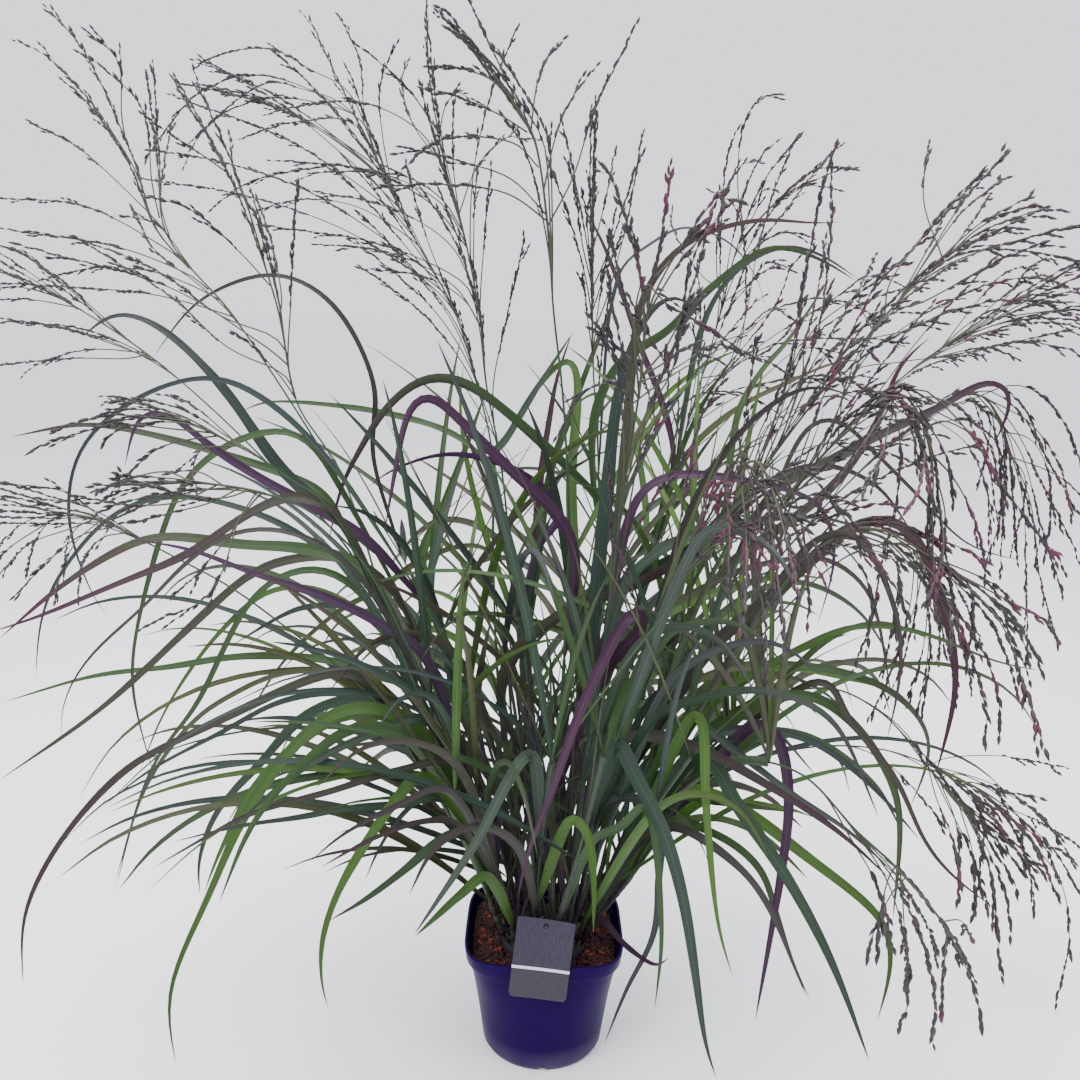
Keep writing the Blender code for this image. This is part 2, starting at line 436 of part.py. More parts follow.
# Leafy shoots without a flower head
LEAFY = [
    stem(
        (-3.6, 2.9), 10,
        [(-7, 24), (-12, 36), (-17, 46)],
        leaf(36, 9, -2, (-18.5, 51), (-23.5, 56.8), (-28.5, 57.2), (-33.2, 54), (-36.8, 47.6), (-40.1, 40.9),
             (-45.6, 33.4), (-50.8, 18.6)),
        leaf(30, 8, 10, (-17, 48), (-24, 54.4), (-31, 55), (-36.9, 50), (-40.8, 45), (-44.3, 39.2), (-47, 32.7)),
        leaf(22, 10, 34, (-11, 35), (-17, 40), (-24, 39.6), (-30, 35)),
    ),
    stem(
        (-2.4, 4.1), 20,
        [(-5.5, 30), (-10, 44), (-15, 56), (-19.6, 64)],
        leaf(54, 7, 20, (-19.7, 70), (-19.2, 77), (-22, 84), (-26, 88), (-31, 89), (-38, 86), (-43, 80)),
        leaf(42, 12, 26, (-14.4, 58), (-12.2, 64), (-9.8, 70.5), (-7.4, 77.4)),
        leaf(30, 10, 48, (-10, 44), (-16, 49), (-22, 48), (-27, 44)),
        leaf(20, 11, 40, (-6, 32), (-11, 37), (-17, 37), (-22, 33.6)),
    ),
    stem(
        (-3.0, -3.9), -14,
        [(-4.8, 19), (-7.4, 25), (-10.6, 31)],
        leaf(27, 12, -22, (-13.6, 33), (-17, 30.5), (-20, 26.1), (-23.9, 19.2), (-26.3, 12.3), (-26.6, 6),
             (-25.8, 2.6)),
        leaf(20, 12, -22, (-9, 25.6), (-12.4, 25), (-16, 21.6), (-21, 17.4), (-25.6, 14.4)),
        leaf(16.5, 13, -20, (-6.6, 20.4), (-9.6, 18.4), (-12.6, 15.4), (-15.3, 12.6)),
        leaf(24, 9, -30, (-11, 31), (-17, 29.4), (-23.6, 25.6), (-27.6, 22)),
    ),
    stem(
        (-0.8, -4.4), -14,
        [(-0.6, 22), (0, 30), (0.5, 35)],
        leaf(28, 12, -26, (-1.6, 36), (-4.6, 32.4), (-7.9, 25.3), (-11.8, 18.7), (-15.5, 12.7)),
        leaf(22, 12, -24, (2.4, 27.6), (4.8, 26.6), (5.8, 20.6), (5.9, 13.4)),
        leaf(18, 10, -30, (-3, 24), (-8, 27), (-13, 24), (-16, 18)),
    ),
    stem(
        (0.6, -4.7), -20,
        [(3, 20), (5, 29), (6.4, 36)],
        leaf(30, 14, -36, (7.6, 37.6), (9.7, 34.2), (13.5, 27.2), (16.3, 18.5), (18.1, 9.4), (20, -1.5),
             (21.6, -6)),
        leaf(27, 12, -36, (6.6, 36), (11, 38.6), (17.6, 37), (25, 33), (33.7, 27.4), (40.8, 21)),
        leaf(18, 9, -30, (5.4, 25.6), (8.4, 26.6), (11.8, 22), (14, 14.6), (13.6, 3.4)),
    ),
    stem(
        (4.4, -3.0), -20,
        [(7.6, 19), (11.6, 28), (16.4, 36)],
        leaf(32, 10, -32, (16.2, 41), (17.8, 39), (18.2, 32.5), (19.2, 24), (20.7, 14.6), (22.8, 8)),
        leaf(27, 14, -30, (17, 36.4), (22.1, 30), (26.9, 23.5), (31.5, 16), (35.6, 7.9), (40.2, -3.4)),
        leaf(21, 13, -14, (13, 30.4), (18, 32), (24.2, 28.7), (30.5, 23.9), (36.8, 19.1), (40.6, 15.1),
             (41.6, 9.4), (40.6, 2.5)),
        leaf(17, 11, -38, (10.6, 25), (15, 27.4), (21.2, 23.7), (26, 18.3), (31.8, 5.5)),
    ),
    stem(
        (4.7, -1.2), -2,
        [(9.4, 20), (15, 29), (21, 36.4)],
        leaf(29, 12, -24, (23, 40), (26.4, 38.4), (28, 31), (27.8, 23.2), (26.9, 13), (25.8, 2)),
        leaf(22, 11, 14, (15, 32), (21.6, 37.6), (29, 39), (37.5, 33.4), (41.6, 27)),
        leaf(17, 10, 8, (12, 25), (18, 28.6), (25, 26.6), (31, 21)),
    ),
    stem(
        (0.6, 4.5), 26,
        [(2.4, 30), (4, 42), (6, 54)],
        leaf(44, 11, 50, (7, 60), (12, 66), (18, 66), (23, 61)),
        leaf(36, 11, 46, (3, 50), (-1, 57), (-7, 59), (-12, 54)),
        leaf(26, 11, 52, (5, 40), (11, 45), (17, 43), (21, 38)),
        leaf(19, 10, 44, (1, 31), (-4, 37), (-10, 38), (-15, 34.6)),
    ),
    stem(
        (-0.6, 2.4), 18,
        [(-0.8, 26), (-1.6, 38), (-2.4, 50)],
        leaf(42, 11, 44, (-3, 56), (-7, 62), (-13, 63), (-18, 58)),
        leaf(33, 11, 50, (-2, 44), (2, 51), (8, 53), (14, 48)),
        leaf(24, 11, 48, (-4, 36), (-10, 42), (-17, 42.4), (-22, 38)),
    ),
]


def material(name, colour, roughness):
    """A plain finish with the part's colour and roughness."""
    made = bpy.data.materials.new(name)
    made.use_nodes = True
    shader = made.node_tree.nodes["Principled BSDF"]
    shader.inputs["Base Color"].default_value = (*colour, 1)
    shader.inputs["Roughness"].default_value = roughness
    made.diffuse_color = (*colour, 1)
    return made


def collection(name):
    """A new collection in the scene."""
    made = bpy.data.collections.new(name)
    bpy.context.scene.collection.children.link(made)
    return made


def place(name, mesh, folder, finish=None):
    """An object that shows the mesh, in the given collection and finish."""
    made = bpy.data.objects.new(name, mesh)
    folder.objects.link(made)
    if finish:
        mesh.materials.clear()
        mesh.materials.append(finish)
    return made


def pot_ring(radius, height, square=True):
    """A ring round the pot's axis: a circle at the foot that grows into a rounded square at the rim.

    The outline is |x|^n + |y|^n = radius^n, whose power n is 2 at the foot and grows fastest near the rim.
    """
    angle = np.arange(ROUND_STEPS) * math.tau / ROUND_STEPS
    share = min(max(height / POT_HEIGHT, 0), 1) ** SQUARE_GROWTH if square else 0
    power = 2 + RIM_SQUARENESS * share
    reach = radius / (np.abs(np.cos(angle)) ** power + np.abs(np.sin(angle)) ** power) ** (1 / power)
    return np.column_stack([reach * np.cos(angle), reach * np.sin(angle), np.full(ROUND_STEPS, height)])


def lofted_round(name, profile, folder, finish):
    """A closed shell through rings round the axis. Its profile runs from one point on the axis to another.

    Each entry is a radius, a height and whether the ring takes the pot's outline there.
    """
    rings = np.array([pot_ring(*entry) for entry in profile[1:-1]])
    count, steps = rings.shape[:2]
    points = [tuple(p) for p in rings.reshape(-1, 3)]
    points += [(0, 0, profile[0][1]), (0, 0, profile[-1][1])]
    start, end = len(points) - 2, len(points) - 1
    faces = []
    for j in range(steps):
        k = (j + 1) % steps
        faces.append((start, j, k))
        faces.append((end, (count - 1) * steps + k, (count - 1) * steps + j))
        for i in range(count - 1):
            low, high = i * steps, (i + 1) * steps
            if rings[i, 0, 2] > rings[i + 1, 0, 2]:
                low, high = high, low
            turn = 1 if low < high else -1
            faces += [(low + j, high + j, high + k)[::turn], (low + j, high + k, low + k)[::turn]]
    mesh = bpy.data.meshes.new(name)
    mesh.from_pydata(points, [], faces)
    fixed = bmesh.new()
    fixed.from_mesh(mesh)
    bmesh.ops.recalc_face_normals(fixed, faces=fixed.faces)
    fixed.to_mesh(mesh)
    fixed.free()
    return place(name, mesh, folder, finish)


def cutter(made):
    """Keeps an object out of the model, as a shape that only cuts."""
    made.hide_render = True
    made.display_type = "WIRE"
    return made


def cut(made, tool):
    """Takes the tool's volume out of the object."""
    taking = made.modifiers.new("Cut", "BOOLEAN")
    taking.operation = "DIFFERENCE"
    taking.object = tool


def wall_radius(height):
    """The pot's outer radius between its foot and its lip."""
    share = height / (POT_HEIGHT - LIP_DEPTH)
    return FOOT_RADIUS + (NECK_RADIUS - FOOT_RADIUS) * share


def make_pot(folder, cutters, finish):
    """One moulding: a tapered wall, a lip that stands out below the rim, and drain holes in the foot's corner."""
    under_lip = POT_HEIGHT - LIP_DEPTH
    profile = [
        (0, FLOOR),
        (wall_radius(FLOOR) - WALL - FOOT_ROUND / 2, FLOOR),
        (wall_radius(FLOOR + FOOT_ROUND) - WALL, FLOOR + FOOT_ROUND),
        (wall_radius(MIDDLE) - WALL, MIDDLE),
        (wall_radius(SOIL_TOP) - WALL, SOIL_TOP),
        (wall_radius(under_lip) - WALL, under_lip),
        (RIM_RADIUS - 2 * WALL, under_lip + 2 * WALL),
        (RIM_RADIUS - 2 * WALL, POT_HEIGHT),
        (RIM_RADIUS, POT_HEIGHT),
        (RIM_RADIUS - WALL / 2, under_lip),
        (wall_radius(under_lip), under_lip),
        (wall_radius(SOIL_TOP), SOIL_TOP),
        (wall_radius(MIDDLE), MIDDLE),
        (wall_radius(FOOT_ROUND), FOOT_ROUND),
        (FOOT_RADIUS - FOOT_ROUND / 2, 0),
        (0, 0),
    ]
    pot = lofted_round("nursery_pot", profile, folder, finish)
    drains = bmesh.new()
    for index in range(DRAIN_COUNT):
        angle = math.tau * (index + 0.5) / DRAIN_COUNT
        made = bmesh.ops.create_cone(
            drains, cap_ends=True, segments=4, radius1=DRAIN_RADIUS, radius2=DRAIN_RADIUS, depth=2 * DRAIN_DEPTH
        )
        place_at = Vector((math.cos(angle) * DRAIN_REACH, math.sin(angle) * DRAIN_REACH, 0))
        bmesh.ops.translate(drains, verts=made["verts"], vec=place_at)
    mesh = bpy.data.meshes.new("drain_holes")
    drains.to_mesh(mesh)
    drains.free()
    cut(pot, cutter(place("drain_holes", mesh, cutters)))
    return pot


def make_soil(folder, finish):
    """Bark and peat up to just under the rim, with a hollow where the crown sits."""
    hollow = CROWN_RADIUS + GAP
    top_radius = wall_radius(SOIL_TOP) - WALL - GAP
    profile = [
        (0, FLOOR + GAP),
        (wall_radius(FLOOR) - WALL - FOOT_ROUND / 2 - GAP, FLOOR + GAP),
        (wall_radius(FLOOR + FOOT_ROUND) - WALL - GAP, FLOOR + FOOT_ROUND),
        (wall_radius(MIDDLE) - WALL - GAP, MIDDLE),
        (top_radius, SOIL_TOP),
        ((hollow + top_radius) / 2, SOIL_MOUND - 0.0015),
        (hollow, SOIL_MOUND, False),
        (hollow, CROWN_FLOOR - GAP, False),
        (0, CROWN_FLOOR - GAP),
    ]
    return lofted_round("potting_soil", profile, folder, finish)


def make_crown(folder, finish):
    """The woody clump at soil level, flat where the stems stand on it."""
    profile = [
        (0, CROWN_TOP),
        (CROWN_RADIUS - 0.003, CROWN_TOP, False),
        (CROWN_RADIUS, CROWN_TOP - 0.006, False),
        (CROWN_RADIUS, CROWN_FLOOR, False),
        (0, CROWN_FLOOR),
    ]
    return lofted_round("crown", profile, folder, finish)


def card_point(across, up, out=0.0):
    """A point on the card, from its centre: to the right, upwards and out of its front."""
    x = across * math.cos(CARD_ROLL) - up * math.sin(CARD_ROLL)
    rise = across * math.sin(CARD_ROLL) + up * math.cos(CARD_ROLL)
    y = -rise * math.sin(CARD_LEAN) - out * math.cos(CARD_LEAN)
    z = rise * math.cos(CARD_LEAN) - out * math.sin(CARD_LEAN)
    return Vector(CARD_CENTRE) + Vector((x, y, z))


def make_label(folder, cutters, finish):
    """A thin card with rounded corners that leans on the rim, with a hole near its top edge."""
    drawn = bmesh.new()
    bmesh.ops.create_cube(drawn, size=1)
    for vert in drawn.verts:
        vert.co.x *= CARD_WIDTH
        vert.co.y *= CARD_THICK
        vert.co.z *= CARD_HEIGHT
    upright = [e for e in drawn.edges if abs(e.verts[0].co.y - e.verts[1].co.y) > CARD_THICK / 2]
    bmesh.ops.bevel(drawn, geom=upright, offset=0.003, segments=2, affect="EDGES", profile=0.5)
    for vert in drawn.verts:
        vert.co = card_point(vert.co.x, vert.co.z, -vert.co.y)
    mesh = bpy.data.meshes.new("plant_label")
    drawn.to_mesh(mesh)
    drawn.free()
    label = place("plant_label", mesh, folder, finish)
    hole = bmesh.new()
    bmesh.ops.create_cone(hole, cap_ends=True, segments=10, radius1=HOLE_RADIUS, radius2=HOLE_RADIUS, depth=0.01)
    for vert in hole.verts:
        vert.co = card_point(vert.co.x, CARD_HEIGHT / 2 - HOLE_DROP + vert.co.y, vert.co.z)
    bmesh.ops.recalc_face_normals(hole, faces=hole.faces)
    hole_mesh = bpy.data.meshes.new("label_hole")
    hole.to_mesh(hole_mesh)
    hole.free()
    cut(label, cutter(place("label_hole", hole_mesh, cutters)))
    return label


def smooth_path(points, count):
    """A smooth line through the points, read off at even steps along its length."""
    p = np.array(points, float)
    p = np.vstack([2 * p[0] - p[1], p, 2 * p[-1] - p[-2]])
    t = np.linspace(0, 1, 10, endpoint=False)[:, None]
    runs = []
    for a, b, c, d in zip(p, p[1:], p[2:], p[3:]):
        bend = (2 * a - 5 * b + 4 * c - d) * t**2 + (3 * b - a - 3 * c + d) * t**3
        runs.append(b + 0.5 * ((c - a) * t + bend))
    fine = np.vstack([*runs, p[-2:-1]])
    gone = np.concatenate([[0], np.cumsum(np.linalg.norm(np.diff(fine, axis=0), axis=1))])
    wanted = np.linspace(0, gone[-1], count)
    return np.column_stack([np.interp(wanted, gone, fine[:, k]) for k in range(3)])


def seen_from_eye(point):
    """Where a point in space lies on the drawing plane, as the eye sees it, in cm."""
    shrink = -EYE[1] / (point[1] - EYE[1])
    return np.array([EYE[0] + (point[0] - EYE[0]) * shrink, EYE[2] + (point[2] - EYE[2]) * shrink]) * 100


def drawn_path(root, line, depth):
    """The root, then the drawn points, each slid along its line of sight. Depth grows evenly with length."""
    flat = np.vstack([seen_from_eye(root), np.array(line, float)])
    gone = np.concatenate([[0], np.cumsum(np.linalg.norm(np.diff(flat, axis=0), axis=1))])
    depths = root[1] + (depth / 100 - root[1]) * gone / gone[-1]
    stretch = (depths - EYE[1]) / -EYE[1]
    x = EYE[0] + (flat[:, 0] / 100 - EYE[0]) * stretch
    z = EYE[2] + (flat[:, 1] / 100 - EYE[2]) * stretch
    return np.column_stack([x, depths, z])


def directions(path, first=None, last=None):
    """The line's direction at each of its points. Its two ends can be given."""
    way = np.gradient(path, axis=0)
    if first is not None:
        way[0] = first
    if last is not None:
        way[-1] = last
    return way / np.linalg.norm(way, axis=1)[:, None]


def across(way, aim):
    """The part of a direction that is square to the line, at each of its points."""
    made = aim - np.sum(aim * way, axis=1)[:, None] * way
    return made / np.linalg.norm(made, axis=1)[:, None]


def round_rings(path, radii, sides, first=None, last=None):
    """The corners of a tapering round strand, one ring to each point of its path."""
    way = directions(path, first, last)
    least = int(np.argmin(np.abs(way).max(axis=0)))
    side = across(way, np.tile(np.eye(3)[least], (len(path), 1)))
    other = np.cross(way, side)
    turn = np.arange(sides) * math.tau / sides
    ring = side[:, None] * np.cos(turn)[None, :, None] + other[:, None] * np.sin(turn)[None, :, None]
    return path[:, None] + ring * radii[:, None, None]


def blade_rings(path, width, face, extra=0.0):
    """The corners of a blade: a left edge, a right edge and a keel below, narrow at the joint and the tip.

    A blade's flat side looks up. The share called face turns it towards the eye.
    """
    way = directions(path)
    flat = np.cross(way, EYE - path)
    flat /= np.linalg.norm(flat, axis=1)[:, None]
    deep = np.cross(way, flat)
    level = np.cross([0.0, 0.0, 1.0], path[-1] - path[0])
    middle = len(path) // 2
    natural = math.atan2(level @ deep[middle], level @ flat[middle])
    natural -= math.pi * round(natural / math.pi)
    turn = (1 - face) * natural
    side = math.cos(turn) * flat + math.sin(turn) * deep
    up = np.cross(side, way)
    up *= np.sign(up[:, 2].sum())
    share = np.linspace(0, 1, len(path))
    spread = (0.12 + 0.88 * np.clip(share / 0.3, 0, 1) ** 0.5) * (1 - share**2.6) ** 0.8
    half = (width / 2000 * spread + extra)[:, None]
    lift = half * 0.30
    keel = half * 0.10 + 0.0003 + extra
    return np.stack([path - side * half + up * lift, path - up * keel, path + side * half + up * lift], axis=1)


def lofted(rings, tip=True):
    """Points and faces of a closed strand: walls between rings, a flat end, and a point or a second flat end."""
    count, sides = rings.shape[:2]
    last = count - 1 if tip else count
    points = [tuple(p) for ring in rings[:last] for p in ring]
    faces = [tuple(range(sides))[::-1]]
    for i in range(last - 1):
        for j in range(sides):
            k = (j + 1) % sides
            faces.append((i * sides + j, i * sides + k, (i + 1) * sides + k, (i + 1) * sides + j))
    start = (last - 1) * sides
    if tip:
        points.append(tuple(rings[-1].mean(axis=0)))
        faces += [(start + j, start + (j + 1) % sides, len(points) - 1) for j in range(sides)]
    else:
        faces.append(tuple(start + j for j in range(sides)))
    return points, faces


def tree_of(rings, tip=True):
    """A search tree of a strand's surface, to find what touches it."""
    points, faces = lofted(rings, tip)
    return BVHTree.FromPolygons(points, faces)


class Thicket:
    """Every strand placed so far, with the piece that it belongs to."""

    def __init__(self):
        """Starts with the pot, which leaves keep clear of."""
        barrel = np.array([pot_ring(RIM_RADIUS + POT_CLEARANCE, POT_HEIGHT)] * 2)
        barrel[:, :, 2] = [[-0.02], [POT_HEIGHT + POT_CLEARANCE]]
        self.strands = [("pot", tree_of(barrel, tip=False))]

    def settle(self, draw, depth, owners, tip=True):
        """Draws a strand at the depth nearest to the wanted one where it touches no other piece's strand."""
        for attempt in range(DEPTH_TRIES):
            step = (attempt + 1) // 2 * (1 if attempt % 2 else -1)
            found = depth + step * DEPTH_STEP
            rings, swollen = draw(found)
            tree = tree_of(swollen, tip)
            if not any(name not in owners and tree.overlap(other) for name, other in self.strands):
                break
        self.strands.append((owners[0], tree))
        return rings, found


def mesh_of(name, rings, tip=True):
    """A mesh of one strand, in triangles, with its faces pointing out."""
    points, faces = lofted(rings, tip)
    mesh = bpy.data.meshes.new(name)
    mesh.from_pydata(points, [], faces)
    fixed = bmesh.new()
    fixed.from_mesh(mesh)
    bmesh.ops.recalc_face_normals(fixed, faces=fixed.faces)
    bmesh.ops.triangulate(fixed, faces=fixed.faces)
    fixed.to_mesh(mesh)
    fixed.free()
    return mesh


def grown_together(name, main, others, folder, finish):
    """One solid of a stem and what grows from it."""
    made = place(name, main, folder)
    for mesh in others:
        limb = place("limb", mesh, folder)
        joined = made.modifiers.new("Grow", "BOOLEAN")
        joined.operation = "UNION"
        joined.object = limb
        shape = bpy.data.meshes.new_from_object(made.evaluated_get(bpy.context.evaluated_depsgraph_get()))
        made.modifiers.clear()
        made.data = shape
        bpy.data.objects.remove(limb)
    made.data.name = name
    made.data.materials.clear()
    made.data.materials.append(finish)
    return made


def stem_rings(path, last):
    """A stem's rings, flat where it stands on the crown, and the same a little swollen to test for touching."""
    radii = np.linspace(STEM_FOOT_RADIUS, STEM_TOP_RADIUS, len(path))
    upright = (0, 0, 1)
    return round_rings(path, radii, 3, upright, last), round_rings(path, radii + CLEARANCE, 3, upright, last)


def whole_line(plan, depth):
    """A stem's path from its foot to its top, its flower head's axis as one line with it, and their shared way."""
    foot = np.array([plan["foot"][0] / 100, plan["foot"][1] / 100, FEET_HEIGHT])
    below = drawn_path(foot, plan["line"], depth)
    if not plan["flower"]:
        return smooth_path(below, 6), None, None
    above = drawn_path(below[-1], plan["flower"]["line"], plan["flower"]["depth"])
    fine = smooth_path(np.vstack([below, above[1:]]), 240)
    fork = int(np.argmin(np.linalg.norm(fine - below[-1], axis=1)))
    return smooth_path(fine[: fork + 1], 8), smooth_path(fine[fork:], 5), fine[fork + 1] - fine[fork - 1]


def joint_on(path, height):
    """The point of a stem's path at a height in cm, below any droop of its top."""
    rise = path[: np.argmax(path[:, 2]) + 1]
    return np.array([np.interp(height / 100, rise[:, 2], rise[:, k]) for k in range(3)])


def bend_count(points):
    """How many rings a blade needs: more, the more its line bends."""
    way = directions(smooth_path(points, 30))
    turned_by = np.degrees(np.arccos(np.clip(np.sum(way[1:] * way[:-1], axis=1), -1, 1))).sum()
    return int(np.clip(4 + turned_by / BEND_STEP, 5, 10))


def blade_drawing(root, plan):
    """A function that draws this blade with its tip at a given depth."""
    count = bend_count(drawn_path(root, plan["line"], plan["depth"]))

    def draw(depth):
        path = smooth_path(drawn_path(root, plan["line"], depth), count)
        return (
            blade_rings(path, plan["width"], plan["face"]),
            blade_rings(path, plan["width"], plan["face"], CLEARANCE),
        )

    return draw


def axis_rings(path, first):
    """The rings of a flower head's axis, from its foot on the stem to its point."""
    radii = np.linspace(HEAD_RADIUS, HEAD_RADIUS * 0.8, len(path))
    return round_rings(path, radii, 3, first), round_rings(path, radii + CLEARANCE, 3, first)


def twig_drawing(root, plan):
    """A function that draws this flower branch: thin at first, thicker where its spikelets are."""

    def draw(depth):
        path = smooth_path(drawn_path(root, plan["line"], depth), 4)
        radii = np.array([TWIG_RADIUS, TWIG_SPRAY_RADIUS, TWIG_SPRAY_RADIUS, 0])
        return round_rings(path, radii, 3), round_rings(path, radii + CLEARANCE, 3)

    return draw


def make_plant(folder, stem_finish, head_finish):
    """Places every stem, then every blade, then every flower head, and joins each plant piece in one solid."""
    thicket = Thicket()
    plans = [(f"culm_{i + 1:02d}", p) for i, p in enumerate(FLOWERING)]
    plans += [(f"shoot_{i + 1:02d}", p) for i, p in enumerate(LEAFY)]
    lines, stems, blades = {}, {}, {}
    for name, plan in plans:
        def draw(depth, plan=plan):
            line = whole_line(plan, depth)
            return stem_rings(line[0], line[2])

        stems[name], depth = thicket.settle(draw, plan["depth"], (name, "pot"), tip=False)
        lines[name] = whole_line(plan, depth)
    for name, plan in plans:
        blades[name] = []
        for number, blade in enumerate(plan["leaves"]):
            root = joint_on(lines[name][0], blade["joint"])
            own = (f"{name}_leaf_{number}", name)
            blades[name].append(thicket.settle(blade_drawing(root, blade), blade["depth"], own)[0])
    for name, plan in plans:
        limbs = [mesh_of(name, rings) for rings in blades[name]]
        grown_together(name, mesh_of(name, stems[name], tip=False), limbs, folder, stem_finish)
    for index, (name, plan) in enumerate(p for p in plans if p[1]["flower"]):
        make_head(f"panicle_{index + 1:02d}", name, lines[name], plan["flower"], thicket, folder, head_finish)
    return thicket


def make_head(name, culm, lines, plan, thicket, folder, finish):
    """A flower head: its axis starts just above the stem's top, and its branches grow from the axis."""
    path, first = lines[1].copy(), lines[2]
    path[0] += first / np.linalg.norm(first) * FORK_GAP
    rings = thicket.settle(lambda depth: axis_rings(path, first), 0, (name, culm))[0]
    limbs = []
    for branch in plan["twigs"]:
        at = branch["start"] * (len(path) - 1)
        low = min(int(at), len(path) - 2)
        root = path[low] + (path[low + 1] - path[low]) * (at - low)
        limbs.append(thicket.settle(twig_drawing(root, branch), branch["depth"], (name, culm))[0])
    grown_together(name, mesh_of(name, rings), [mesh_of(name, r) for r in limbs], folder, finish)


def make_tie(folder, finish):
    """A thin tie from a small bead in front of the card, through its hole, and back to the nearest stems."""
    hole_height = CARD_HEIGHT / 2 - HOLE_DROP
    front = card_point(0, hole_height, 0.0035)
    back = card_point(0, hole_height, -0.005)
    held_at = Vector((-0.018, -0.052, 0.170))
    middle = (back + held_at) / 2 + Vector((0, 0, -TIE_SLACK / 4))
    points = smooth_path([front, back, middle, held_at], 12)
    curve = bpy.data.curves.new("label_tie", "CURVE")
    curve.dimensions = "3D"
    curve.bevel_depth = TIE_RADIUS
    curve.bevel_resolution = 0
    curve.use_fill_caps = True
    spline = curve.splines.new("POLY")
    spline.points.add(len(points) - 1)
    for point, place_at in zip(spline.points, points):
        point.co = (*place_at, 1)
    drawn = bpy.data.objects.new("tie_line", curve)
    folder.objects.link(drawn)
    mesh = bpy.data.meshes.new_from_object(drawn.evaluated_get(bpy.context.evaluated_depsgraph_get()))
    joined = bmesh.new()
    joined.from_mesh(mesh)
    bmesh.ops.remove_doubles(joined, verts=joined.verts, dist=0.00001)
    joined.to_mesh(mesh)
    joined.free()
    bpy.data.objects.remove(drawn)
    return place("label_tie", mesh, folder, finish)


for old in list(bpy.data.objects):
    bpy.data.objects.remove(old)

model = collection("potted_switchgrass")
tools = collection("cutters")
plastic = material("violet_pot_plastic", (0.028, 0.012, 0.09), 0.35)
bark = material("bark_and_peat", (0.08, 0.03, 0.02), 0.9)
straw = material("old_stubble", (0.12, 0.09, 0.05), 0.8)
card = material("grey_violet_card", (0.16, 0.15, 0.2), 0.5)
cord = material("black_tie", (0.01, 0.01, 0.012), 0.6)
green = material("blue_green_blade", (0.07, 0.14, 0.08), 0.5)
purple = material("dark_panicle", (0.12, 0.05, 0.09), 0.6)
make_pot(model, tools, plastic)
make_soil(model, bark)
make_crown(model, straw)
make_label(model, tools, card)
make_tie(model, cord)
make_plant(model, green, purple)
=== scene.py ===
import math

import bmesh
import bpy
import numpy as np
from mathutils import Matrix, Vector
from mathutils.bvhtree import BVHTree


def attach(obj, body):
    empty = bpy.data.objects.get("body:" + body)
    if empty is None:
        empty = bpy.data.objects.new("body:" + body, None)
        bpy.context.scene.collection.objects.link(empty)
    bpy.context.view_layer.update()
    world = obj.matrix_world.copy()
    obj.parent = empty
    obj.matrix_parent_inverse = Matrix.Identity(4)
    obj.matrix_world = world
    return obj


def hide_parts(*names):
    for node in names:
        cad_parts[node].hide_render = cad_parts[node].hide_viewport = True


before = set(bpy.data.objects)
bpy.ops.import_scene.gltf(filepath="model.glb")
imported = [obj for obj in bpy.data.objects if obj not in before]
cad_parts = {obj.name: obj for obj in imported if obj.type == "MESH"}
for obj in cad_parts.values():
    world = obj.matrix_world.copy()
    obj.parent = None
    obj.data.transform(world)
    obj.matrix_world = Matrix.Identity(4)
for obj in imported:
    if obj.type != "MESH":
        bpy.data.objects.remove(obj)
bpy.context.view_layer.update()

# The nursery pot: one thin moulding of dark indigo polypropylene, with a wall that tapers to the foot,
# a deeper lip at the rim, and drain holes cut through the corner of the foot. It stands on the floor.

POT_HEIGHT = 0.148
RIM_RADIUS = 0.0918
NECK_RADIUS = 0.0875
FOOT_RADIUS = 0.070
RIM_SQUARENESS = 2.6
SQUARE_GROWTH = 3
LIP_DEPTH = 0.017
WALL = 0.0015
WALL_RINGS = 9
FLOOR = 0.0025
FOOT_ROUND = 0.006
PROFILE_ROUND = 0.0008
DRAIN_COUNT = 6
DRAIN_RADIUS = 0.005
DRAIN_REACH = 0.0665
DRAIN_DEPTH = 0.009
DRAIN_SIDES = 20
POT_STEPS = 144
POT_CREASE = math.radians(50)

INDIGO = "#160038"
INDIGO_WORN = "#241444"
DUST = "#8a8494"
SCUFF_SIZE = 0.006
CLOUD_SCALE = 14
DUST_HEIGHT = 0.030
DUST_SHARE = 0.35


def linear(code):
    """Turns an sRGB hex colour to linear: c/12.92 below 0.04045, and ((c + 0.055) / 1.055)^2.4 above."""
    parts = np.array([int(code[i : i + 2], 16) for i in (1, 3, 5)]) / 255
    made = np.where(parts <= 0.04045, parts / 12.92, ((parts + 0.055) / 1.055) ** 2.4)
    return (*made.tolist(), 1.0)


def finish(name):
    """A new material, its node tree and its Principled shader."""
    made = bpy.data.materials.new(name)
    made.use_nodes = True
    return made, made.node_tree, made.node_tree.nodes["Principled BSDF"]


def feed(tree, node, inputs):
    """Fills a node's inputs: one that is given another node's output is linked, any other gets a value."""
    for key, value in inputs.items():
        if isinstance(value, bpy.types.NodeSocket):
            tree.links.new(value, node.inputs[key])
        else:
            node.inputs[key].default_value = value


def add_node(tree, kind, inputs=None, output=0, **settings):
    """Adds one node, sets its properties, fills its inputs and gives one of its outputs."""
    node = tree.nodes.new(kind)
    for key, value in settings.items():
        setattr(node, key, value)
    feed(tree, node, inputs or {})
    return node.outputs[output]


def wall_radius(height):
    """The pot's outer radius at a height: the foot's radius plus an even share of the way to the neck's."""
    return FOOT_RADIUS + (NECK_RADIUS - FOOT_RADIUS) * height / (POT_HEIGHT - LIP_DEPTH)


def unit(ways):
    """Directions made one long."""
    return ways / np.linalg.norm(ways, axis=-1, keepdims=True)


